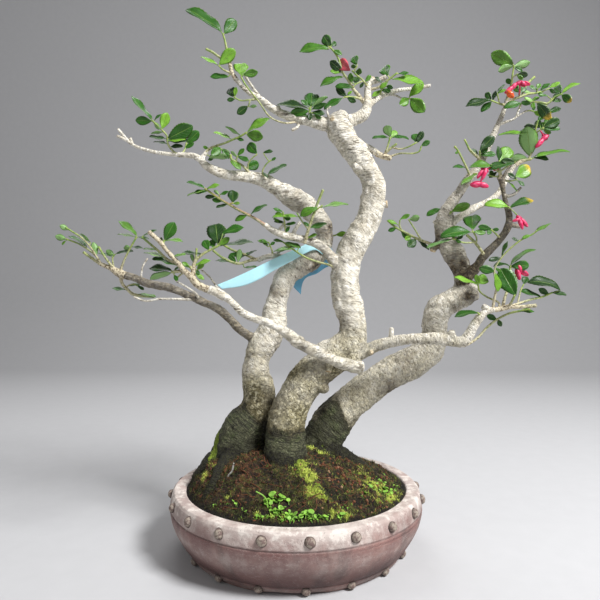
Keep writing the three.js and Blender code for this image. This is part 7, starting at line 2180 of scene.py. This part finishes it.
    def values(self, points: np.ndarray, dark: np.ndarray, normals: np.ndarray) -> dict[str, np.ndarray]:
        """What the bark carries: olive and moss fall off with the height, moss keeps to upper sides.

        Args:
            points: Places in metres, one a row.
            dark: Darkness of the limb at each; under 0 it keeps the olive off.
            normals: Way each faces.

        Returns:
            The values by name, one a point.
        """
        z = points[:, 2]
        x = points[:, 0] - POT_AXIS
        clouds = layered_noise(points / self.cloud_cell, 61, 3)
        olive = np.clip((self.olive_top - z) / self.olive_fade + 0.4 * clouds, 0, 1)
        olive = olive * np.clip(1 + dark, 0, 1)
        edge = np.interp(x, *(np.array(self.foot_edge).T * MM))
        foot = np.clip(1.0 + (edge - z) / self.foot_fade + 0.3 * clouds, 0, 3)
        moss = np.clip((self.moss_top - z) / self.moss_fade + 0.35 * clouds + 0.2 * normals[:, 2], 0, 1)
        low = np.clip((self.glow_top - z) / self.glow_fade, 0, 1)
        spots = 0.35 * np.clip(layered_noise(points / self.spot_cell, 67, 2), 0, 1)
        spots = spots * np.clip((self.spot_top - z) / self.spot_fade, 0, 1)
        bright = np.clip(ridge_glow(points) * low + spots, 0, 1)
        # The limb's own darkness, with the dark places, which are partly painted shade
        dark = np.clip(np.maximum(dark, 0) + self.weathering_and_shade(points), 0, 1)
        return {"dark": dark, "olive": olive, "foot": foot, "moss": moss, "bright": bright}

    def weathering_and_shade(self, points: np.ndarray) -> np.ndarray:
        """Share of dark bark, partly weather-darkened bark and partly painted shade: round the places where
        it was read, in the line of sight.

        Args:
            points: Places in metres, one a row.

        Returns:
            One value a place, from 0 to 1.
        """
        share = np.zeros(len(points))
        depth = (points[:, 1] - EYE[1]) / -EYE[1]
        across = PICTURE_CENTRE + (points[:, 0] - EYE[0]) / (METRES_PER_UNIT * depth)
        down = PICTURE_CENTRE - (points[:, 2] - EYE[2]) / (METRES_PER_UNIT * depth)
        ragged = 1 + 0.5 * layered_noise(points / 0.006, 91, 2)
        for u, v, reach, most in self.weathered_and_shaded:
            gap = ((across - u) ** 2 + (down - v) ** 2) / reach**2
            share = np.maximum(share, most * np.exp(-gap) * ragged)
        return share

    def build(self) -> None:
        """Makes the fused wood, the thin twigs and the moss on the root base."""
        bark = Bark().material()
        limbs = {**LIMBS, **BARE_TWIGS}
        ends: list[tuple[np.ndarray, np.ndarray, float]] = []
        thick, thin, axes, radii, darks = [], [], [], [], []
        for seed, (name, rows) in enumerate(limbs.items()):
            path, radius = self.bearing(rows, 2.0 if self.is_thick(name, rows) else 1.0)
            dark = self.dark.get(name, 0.0)
            cut = Cut.SAWN if name in self.sawn else Cut.ROUND
            if cut is Cut.SAWN:
                ends.append((path[-1], unit(path[-1] - path[-3]), radius[-1]))
            if self.is_thick(name, rows):
                thick.append(self.tube(path, radius, self.limb_sides, seed, cut))
                axes.append(path)
                radii.append(radius)
                darks.append(np.full(len(path), dark))
            else:
                sides = self.fine_twig_sides if radius.max() < self.fine_twig else self.twig_sides
                shell = self.tube(path, radius, sides, seed, cut)
                shell.values["run"] *= path_run(path)[-1]
                thin.append(shell.with_value("dark", dark))
        for seed, rows in enumerate(ROOTS.values()):
            given = np.array(rows, float) * MM
            given[:, 0] += POT_AXIS
            even = smooth_rows(given, 4 * MM)
            thick.append(self.tube(even[:, :3], even[:, 3], self.limb_sides, 90 + seed, Cut.ROUND))
            axes.append(even[:, :3])
            radii.append(even[:, 3])
            darks.append(np.zeros(len(even)))
        skin = self.fused(thick)
        count = len(skin.vertices)
        points = np.empty(count * 3, np.float32)
        skin.vertices.foreach_get("co", points)
        normals = np.empty(count * 3, np.float32)
        skin.vertex_normals.foreach_get("vector", normals)
        points, normals = points.reshape(-1, 3).astype(float), normals.reshape(-1, 3).astype(float)
        corners = np.empty(len(skin.loops), np.int32)
        skin.loops.foreach_get("vertex_index", corners)
        stations, reach = np.concatenate(axes), np.concatenate(radii)
        near = self.nearest(points, stations, reach)
        ways = np.concatenate([unit(np.gradient(axis, axis=0)) for axis in axes])[near]
        past = ((points - stations[near]) * ways).sum(axis=1)
        run = np.concatenate([path_run(axis) for axis in axes])[near] + past
        relief = self.relief(points, reach[near], run)
        shell = Shell(points + normals * relief[:, None], face_list(corners.reshape(-1, 4)))
        shell.values = self.values(points, np.concatenate(darks)[near], normals)
        shell.with_value("run", run).with_value("cut", self.cuts(points, ends))
        make_piece("wood_trunks", shell, [bark], "tree_wood")
        twigs = joined(thin)
        twigs.values.update(self.values(twigs.points, twigs.values["dark"], np.zeros_like(twigs.points)))
        twigs.with_value("cut", self.cuts(twigs.points, ends))
        make_piece("wood_twigs", twigs, [bark], "tree_wood")
        make_piece("wood_moss", self.moss(points, normals), [Tuft().material()], "tree_wood")

    def cuts(self, points: np.ndarray, ends: list[tuple[np.ndarray, np.ndarray, float]]) -> np.ndarray:
        """1 on the sawn faces: points level with a sawn end and nearer its middle than its radius.

        Args:
            points: Places in metres, one a row.
            ends: Middle, way and radius of each sawn end.

        Returns:
            One value a place, from 0 to 1.
        """
        bare = np.zeros(len(points))
        for middle, way, radius in ends:
            away = points - middle
            level = away @ way
            reach = np.linalg.norm(away - level[:, None] * way, axis=1)
            near = (level > -self.sawn_under) & (level < self.sawn_over)
            bare = np.maximum(bare, near & (reach < self.sawn_spread * radius))
        scar = sight(np.array((self.scar[:3],)))[0]
        return np.maximum(bare, np.linalg.norm(points - scar, axis=1) < self.scar[3] * METRES_PER_UNIT)

    def relief(self, points: np.ndarray, radius: np.ndarray, run: np.ndarray) -> np.ndarray:
        """Height of the bark: lumps, fine grain and wrinkles across the limb, less on thin limbs.

        Args:
            points: Places in metres, one a row.
            radius: Radius of the limb at each.
            run: Distance along it.

        Returns:
            Heights in metres.
        """
        share = np.clip(radius / self.full_relief_radius, 0.35, 1)
        lumps = self.lump * layered_noise(points / self.lump_cell, 71, 3)
        fine = self.grain * layered_noise(points / self.grain_cell, 73, 2)
        bend = layered_noise(points / self.bend_cell, 79, 2)
        rings = np.abs(np.sin(np.pi * run / self.ring_pitch + 2.5 * bend)) ** 0.5
        low = (self.wrinkle_top - points[:, 2]) / self.wrinkle_fade
        where = np.clip(0.25 + layered_noise(points / self.cloud_cell, 83, 2) + low, 0, 1)
        return share * (lumps + fine - 0.65 * self.grain * (1 - rings) * where)

    def moss(self, points: np.ndarray, normals: np.ndarray, seed: int = 23) -> Shell:
        """Moss leaflets on the root base, square to it, thickest low down and on its upper sides.

        Args:
            points: Places in metres, one a row.
            normals: Way each faces.
            seed: Start of the random numbers.

        Returns:
            The spikes with their liveliness.
        """
        rng = np.random.default_rng(seed)
        low = np.flatnonzero((points[:, 2] < self.moss_top - 12 * MM) & (points[:, 2] > self.tuft_foot))
        want = (
            1.6 * np.clip((self.moss_top - points[low, 2]) / 0.07, 0, 1)
            + 0.8 * layered_noise(points[low] / self.tuft_cell, 87, 2)
            + 0.3 * normals[low, 2] + rng.uniform(0, 0.8, len(low))
        )
        keep = low[np.argsort(-want)[: self.tufts]]
        values = self.values(points[keep], np.zeros(len(keep)), normals[keep])
        lively = np.clip(values["bright"] * 1.2 + rng.uniform(-0.2, 0.25, len(keep)), 0, 1)
        ups = unit(normals[keep] + (0, 0, 0.6))
        return spikes(points[keep], ups, rng, self.tuft_height).with_value("lively", np.repeat(lively, 4))


@dataclass
class Foliage:
    """The leafy shoots: their stems, and leaves that arch and fold along the midrib."""

    thickness: float = 0.5 * MM
    length_to_width: float = 1.9
    most_slender: float = 2.3
    arch: float = 0.06
    arch_share: float = 0.65
    tone: float = 0.48
    tone_spread: float = 0.4
    half_width: float = 0.56
    shoulder: float = 1.28
    roundness: float = 0.68
    droop: float = 0.06
    midrib: float = 0.35 * MM
    fold: float = 0.22
    tooth: float = 0.045
    wave: float = 0.05
    stations: int = 22
    across: tuple[float, ...] = (-1, -0.66, -0.33, 0, 0.33, 0.66, 1, 0.66, 0.33, 0, -0.33, -0.66)
    last_upper: int = 6
    petiole: float = 0.65 * MM
    petiole_stations: int = 6
    petiole_sag: float = 0.08
    least_seen: float = 0.15
    stem_sides: int = 10
    woody: tuple[str, ...] = (
        "lowerLeftEnd", "frontLeftEnd", "rightStubTwigs", "topLeftTip", "longThinTop", "topRightBranchlet",
        "frontRightEnd", "lowRightTwig", "sideNodeShoot",
    )

    def stems(self, name: str, rows: tuple[Rows, ...]) -> tuple[list[Shell], np.ndarray]:
        """Stems of a shoot, each one starting on the nearest point of the ones before.

        Args:
            name: The shoot.
            rows: Readings of each stem.

        Returns:
            The tubes, and all their stations as readings.
        """
        shells: list[Shell] = []
        known = np.empty((0, 4))
        for given in rows:
            stem = np.array(given, float)
            if len(known):
                on = known[np.argmin(np.hypot(*(known[:, :2] - stem[0, :2]).T))]
                stem[0, :3] = on[:3]
            even = smooth_rows(stem, 1.0)
            radii = 0.92 * seen_size(even[:, 3], even[:, 2]) / 2
            run = np.linspace(0, 1, len(even))
            knots = 1 + 0.10 * np.cos(2 * np.pi * run * max(len(given) - 1, 1)) ** 8
            shell = swept_tube(sight(even), radii * knots, self.stem_sides, 0.5)
            start = 0.0 if name in self.woody else 0.35
            green = np.clip(start + shell.values["run"] * (1.1 - start), 0, 1)
            thick = np.concatenate((np.repeat(even[:, 3], self.stem_sides), even[[0, -1], 3]))
            shell.with_value("green", green * np.clip((4.6 - thick) / 2.4, 0, 1))
            shell.with_value("red", 0.55 if name == "reddishShoot" else 0.0)
            shells.append(shell)
            known = np.concatenate((known, even))
        return shells, known

    def frames(self, rows: np.ndarray, depth: np.ndarray) -> dict[str, np.ndarray]:
        """How leaves lie, from how they are seen.

        A leaf seen shorter than its width allows leans towards or away from the eye, and one seen
        narrower than its length allows is rolled about its midrib.

        Args:
            rows: Foot u, v, tip u, v, seen width, and 1 where the upper side shows or -1 where the under
                side does.
            depth: Depth of each foot.

        Returns:
            Base, length, width, and unit axis, side and normal of each leaf.
        """
        base = sight(np.column_stack((rows[:, :2], depth)))
        tip = sight(np.column_stack((rows[:, 2:4], depth)))
        width, face = seen_size(rows[:, 4], depth), rows[:, 5]
        view = unit(base - EYE)
        seen = tip - base
        seen_length = np.linalg.norm(seen, axis=1)
        length = np.maximum(seen_length, self.length_to_width * width)
        upward = np.where(seen[:, 2] * face >= 0, 1, -1)
        lean = upward * np.sqrt(np.maximum(length**2 - seen_length**2, 0))
        axis = unit(seen + view * lean[:, None])
        full = np.maximum(width, length / self.most_slender)
        roll = np.arccos(np.clip(width / full, self.least_seen, 1))[:, None]
        facing = unit(-view + axis * (axis * view).sum(1, keepdims=True)) * face[:, None]
        side = np.cross(axis, facing)
        first = facing * np.cos(roll) + side * np.sin(roll)
        second = facing * np.cos(roll) - side * np.sin(roll)
        normal = np.where(first[:, 2:] > second[:, 2:], first, second)
        side = np.cross(axis, normal)
        return {"base": base, "length": length, "width": full, "axis": axis, "side": side, "normal": normal}

    def blades(
        self, lie: dict[str, np.ndarray], arch: np.ndarray, rng: np.random.Generator
    ) -> np.ndarray:
        """Rings of all the leaves of a shoot.

        At t along the midrib a leaf spreads by half_width sin(pi t^shoulder)^roundness of its width, with a
        tooth at every other station. It rises by its arch times 4t(1 - t), folds up with the distance from
        the midrib, and its edge waves.

        Args:
            lie: What frames() gives.
            arch: Rise of the midrib as a share of the length.
            rng: Source of the waves.

        Returns:
            Points shaped (leaves, stations + 1, round, 3).
        """
        t = np.linspace(0.0, 1.0, self.stations + 1)[None, :, None]
        q = np.array(self.across)[None, None]
        under = np.arange(len(self.across)) > self.last_upper
        half = self.half_width * np.sin(np.pi * t**self.shoulder).clip(0) ** self.roundness
        teeth = np.where(np.arange(self.stations + 1) % 2, 1, -1)[None, :, None]
        saw = 1 + self.tooth * teeth * np.abs(q) ** 6
        length, width = lie["length"][:, None, None], lie["width"][:, None, None]
        phase = rng.uniform(0, 2 * np.pi, (len(length), 1, 1))
        wave = self.wave * width * np.abs(q) ** 2 * np.sin(2 * np.pi * 1.6 * t + phase + 1.5 * np.sign(q))
        spread = q * half * width * saw
        limp = self.droop * rng.uniform(0.2, 1.4, (len(length), 1, 1))
        droop = limp * length * np.sin(np.pi * t) ** 2
        rise = arch[:, None, None] * length * 4 * t * (1 - t) + self.fold * np.abs(spread) + wave - droop
        thick = self.thickness * np.sqrt(np.clip(1 - q**2, 0, 1)) * np.where(under, -0.5, 0.5)[None, None]
        thick = thick - self.midrib * (np.abs(q) < 0.1) * under[None, None] * (1 - t)
        lift = (rise + thick * np.clip(half * 6, 0.15, 1))[..., None]
        along = (t * length * np.ones_like(q))[..., None]
        return (
            lie["base"][:, None, None]
            + lie["axis"][:, None, None] * along
            + lie["side"][:, None, None] * spread[..., None]
            + lie["normal"][:, None, None] * lift
        )

    def blade(self, rings: np.ndarray) -> Shell:
        """One leaf as a closed surface, charted along its midrib and from edge to edge.

        Args:
            rings: Its points, shaped (stations + 1, round, 3).

        Returns:
            The leaf with its chart.
        """
        q, run = np.array(self.across), np.linspace(0, 1, self.stations + 1)[1:-1]
        shell = closed_rings(rings[1:-1], rings[0, 0], rings[-1, 0])
        shell.with_value("u", np.concatenate((np.repeat(run, len(q)), (0, 1))))
        return shell.with_value("v", np.concatenate((np.tile(0.5 + 0.5 * q, len(run)), (0.5, 0.5))))

    def leaves(self, rows: Rows, known: np.ndarray, seed: int) -> list[Shell]:
        """Leaves of a shoot with their petioles, each on the nearest station of its stems.

        Args:
            rows: Readings of the leaves.
            known: Stations of the stems, as readings.
            seed: Start of the random numbers.

        Returns:
            Each leaf, followed by its petiole.
        """
        rng = np.random.default_rng(seed)
        given = np.array([(*row[:5], row[5] if len(row) > 5 else 1) for row in rows], float)
        arch = np.array([row[6] * self.arch_share if len(row) > 6 else self.arch for row in rows])
        gaps = np.hypot(given[:, None, 0] - known[None, :, 0], given[:, None, 1] - known[None, :, 1])
        feet = known[np.argmin(gaps, axis=1)]
        on_stem = sight(feet)
        lie = self.frames(given, feet[:, 2])
        under = np.tile(np.arange(len(self.across)) > self.last_upper, self.stations - 1)
        out = []
        for i, rings in enumerate(self.blades(lie, arch, rng)):
            shell = self.blade(rings).with_value("under", np.concatenate((under, (0, 0))))
            shell.with_value("tone", np.clip(self.tone + self.tone_spread * rng.uniform(-1, 1), 0, 1))
            shell.with_value("gold", self.gilding(given[i], shell.values["u"]))
            out.append(shell)
            path = np.linspace(on_stem[i], rings[1].mean(0), self.petiole_stations)
            path[1:-1] -= (0, 0, self.petiole_sag * np.linalg.norm(lie["base"][i] - on_stem[i]))
            stalk = swept_tube(path, np.full(len(path), self.petiole), 7).with_value("finish", 1)
            out.append(stalk.with_value("green", 0.9))
        return out

    def gilding(self, row: np.ndarray, run: np.ndarray) -> np.ndarray:
        """Share of yellow at a leaf's points: towards the tip of the few leaves that have turned."""
        turned = np.array(GOLD_TIPS)
        near = np.hypot(*(turned - row[2:4]).T).min() < 5
        return np.clip((run - 0.7) / 0.25, 0, 1) * near * 0.9

    def build(self) -> None:
        """Makes each shoot as one piece with two finishes, leaf and stem."""
        leaf, skin = LeafSkin().material(), StemSkin().material()
        for seed, (name, rows) in enumerate(SHOOT_STEMS.items()):
            stems, known = self.stems(name, rows)
            for stem in stems:
                stem.with_value("finish", 1)
            shell = joined([*stems, *self.leaves(SHOOT_LEAVES[name], known, 300 + seed)])
            shell.values.pop("run")
            make_piece(f"spray_{name}", shell, [leaf, skin], f"shoot_{name}")


@dataclass
class Fruits:
    """Pink seed capsules on thin stalks, the orange seed and the one red leaf."""

    stalk_width: float = 1.5
    lobe_sides: int = 18
    groove_depth: float = 0.22
    groove_reach: float = 0.35
    aril: tuple[float, ...] = (508, 92, 512.5, 96.5, 6.2, -3)
    red_leaf: tuple[float, ...] = (350.5, 70.5, 337, 60.5, 10.5, 1)
    red_leaf_depth: float = -10.5
    red_leaf_arch: float = 0.1

    def lobe(self, row: tuple[float, ...], seed: int) -> Shell:
        """A lobe: rings of radius sin(pi t)^0.7 along its length, with a groove that runs down one side.

        Args:
            row: u, v of either end, seen width and depth.
            seed: Which way it is turned.

        Returns:
            The lobe with the share of painted shade along its groove.
        """
        u0, v0, u1, v1, width, depth = row
        ends = sight(np.array(((u0, v0, depth), (u1, v1, depth)), float))
        radius = float(seen_size(np.array(width), np.array(depth))) / 2
        way = unit(ends[1] - ends[0])
        t = np.linspace(0, 1, 13)[1:-1]
        start, end = ends[0] - way * 0.7 * radius, ends[1] + way * 0.7 * radius
        path = start + (end - start) * t[:, None]
        turns = full_turn(self.lobe_sides)
        crease = np.exp(-(((np.mod(turns + seed, 2 * np.pi) - np.pi) / self.groove_reach) ** 2))
        bumps = 1 + 0.05 * np.sin(3 * turns + seed)
        radii = radius * (np.sin(np.pi * t) ** 0.7)[:, None] * (bumps - self.groove_depth * crease)[None]
        shell = swept_tube(path, radii, self.lobe_sides, 0.35)
        # The groove's share, which paints shade along it
        return shell.with_value("groove", np.concatenate((np.tile(crease, len(t)), (0.3, 0.3))))

    def stalk(self, rows: Rows) -> Shell:
        """The thin stalk of a capsule."""
        given = np.array(rows, float)
        even = smooth_rows(given, 0.8) if len(given) > 2 else np.linspace(given[0], given[-1], 8)
        return swept_tube(sight(even), seen_size(np.full(len(even), self.stalk_width), even[:, 2]) / 2, 8)

    def build(self) -> None:
        """Makes each cluster of capsules, the seed and the red leaf."""
        skin, coat = CapsuleSkin().material(), SeedCoat().material()
        for name, lobes in FRUIT_LOBES.items():
            parts = [self.lobe(row, 1 + k) for k, row in enumerate(lobes)] + [self.stalk(FRUIT_STALKS[name])]
            make_piece(f"capsule_{name}", joined(parts), [skin], name)
        make_piece("seed_orange", self.lobe(self.aril, 2), [coat], "aril")
        foliage = Foliage()
        lie = foliage.frames(np.array((self.red_leaf,)), np.array((self.red_leaf_depth,)))
        rings = foliage.blades(lie, np.array((self.red_leaf_arch,)), np.random.default_rng(77))[0]
        shell = foliage.blade(rings).with_value("tone", 0.5)
        turned = LeafSkin(
            deep=(168, 52, 66), mid=(206, 86, 100), fresh=(222, 128, 130), under=(214, 130, 130),
            rib=(236, 176, 160), edge=(190, 70, 80), name="red_leaf_skin",
        )
        make_piece("leaf_turned_red", shell, [turned.material()], "red_leaf")


@dataclass
class Fittings:
    """What people added: the label strip, the anchor wire and the netting over the drain holes."""

    strip_thickness: float = 0.7 * MM
    strip_columns: int = 9
    strip_curl: float = 0.35 * MM
    wire_radius: float = 1.0 * MM

    def strip(self) -> Shell:
        """The label: straight columns between two smooth edges, with a wall on either side of them.

        Returns:
            The strip, with how far behind the trunk it is.
        """
        even = smooth_rows(np.array(TAG_EDGES, float), 1.5)
        upper = sight(even[:, (0, 1, 4)])
        lower = sight(even[:, (2, 3, 4)])
        along = unit(np.gradient((upper + lower) / 2, axis=0))
        normal = unit(np.cross(along, upper - lower))
        share = np.linspace(0, 1, self.strip_columns)[None, :, None]
        sheet = upper[:, None] + (lower - upper)[:, None] * share
        curl = self.strip_curl * np.sin(np.pi * share)
        front = sheet + normal[:, None] * (curl + self.strip_thickness / 2)
        back = sheet + normal[:, None] * (curl - self.strip_thickness / 2)
        rings = np.concatenate((front, back[:, ::-1]), axis=1)
        shell = closed_rings(rings, rings[0].mean(0), rings[-1].mean(0))
        # Share of painted shade: from 12 mm behind the pot's axis, full at 22 mm
        behind = np.clip((even[:, 4] - 12) / 10, 0, 1)
        turned = np.concatenate((np.repeat(behind, rings.shape[1]), (behind[0], behind[-1])))
        return shell.with_value("behind", turned)

    def build(self) -> None:
        """Makes the label and the wire, and dresses the netting."""
        label = LabelPlastic().material()
        make_piece("label_strip", self.strip(), [label], "label_tag")
        given = np.array(WIRE_PATH, float) * MM + (POT_AXIS, 0, 0)
        path = smooth_rows(given, 1.5 * MM)
        wire = swept_tube(path, np.full(len(path), self.wire_radius), 14)
        make_piece("wire_end", wire, [WireMetal().material()], "anchor_wire")
        net = NetPlastic().material()
        for name in ("drain_mesh_left", "drain_mesh_right"):
            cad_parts[name].data.materials.clear()
            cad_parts[name].data.materials.append(net)


@dataclass
class Studio:
    """Pale floor and sweep, soft lamps and the level camera."""

    lens: float = 33.3
    sensor: float = 36.0
    lamps: Rows = (
        (1.15, -0.95, 1.8, 0.6, 72.0),
        (-1.5, -0.8, 0.9, 1.4, 2.5),
        (-0.3, 1.1, 1.6, 1.0, 9.0),
    )
    sky: float = 0.24
    floor_front: float = -3.0
    floor_back: float = 1.6
    floor_half: float = 4.0
    wall_top: float = 4.0
    aim: float = 0.3

    def floor(self) -> None:
        """A floor that sweeps up behind: flat, then a quarter of a circle, then a wall."""
        turn = np.linspace(0, np.pi / 2, 24)
        y = np.concatenate(((self.floor_front,), self.floor_back + np.sin(turn), (self.floor_back + 1,)))
        z = np.concatenate(((0.0,), 1 - np.cos(turn), (self.wall_top,)))
        points = [(x, b, c) for b, c in zip(y, z) for x in (-self.floor_half, self.floor_half)]
        faces = [(2 * i, 2 * i + 1, 2 * i + 3, 2 * i + 2) for i in range(len(y) - 1)]
        mesh = mesh_of("studio_sweep", Shell(np.array(points), faces))
        mesh.materials.append(StudioPaper().material())
        mesh.polygons.foreach_set("use_smooth", np.ones(len(faces), bool))
        linked("studio_sweep", mesh)

    def lights(self) -> None:
        """Large soft lamps that face the middle of the tree, and a pale sky."""
        for index, (x, y, z, size, power) in enumerate(self.lamps):
            data = bpy.data.lights.new(f"lamp_{index}", "AREA")
            data.energy = power
            data.size = size
            lamp = linked(f"lamp_{index}", data)
            place = np.array((x, y, z))
            back = unit(place - (POT_AXIS, 0, self.aim))
            lamp.location = place
            lamp.rotation_euler = (math.acos(back[2]), 0, math.atan2(back[0], -back[1]))
        world = bpy.data.worlds.new("studio_sky")
        world.use_nodes = True
        world.node_tree.nodes["Background"].inputs["Color"].default_value = (1, 1, 1, 1)
        world.node_tree.nodes["Background"].inputs["Strength"].default_value = self.sky
        bpy.context.scene.world = world
        bpy.context.scene.view_settings.view_transform = "Standard"

    def camera(self) -> None:
        """The level camera at the eye the tree was read from."""
        data = bpy.data.cameras.new("camera")
        data.sensor_width = self.sensor
        data.lens = self.lens
        data.clip_start = 0.01
        camera = linked("camera", data)
        camera.location = EYE
        camera.rotation_euler = (math.pi / 2, 0, 0)
        bpy.context.scene.camera = camera

    def build(self) -> None:
        """Makes the whole studio."""
        self.floor()
        self.lights()
        self.camera()


def main() -> None:
    """Builds the studio, the pot, the soil, the tree and what is on them."""
    logging.basicConfig(level=logging.INFO, format="%(message)s")
    for part in (Studio(), Pot(), Mound(), Tree(), Foliage(), Fruits(), Fittings()):
        part.build()


if __name__ == "__main__":
    main()
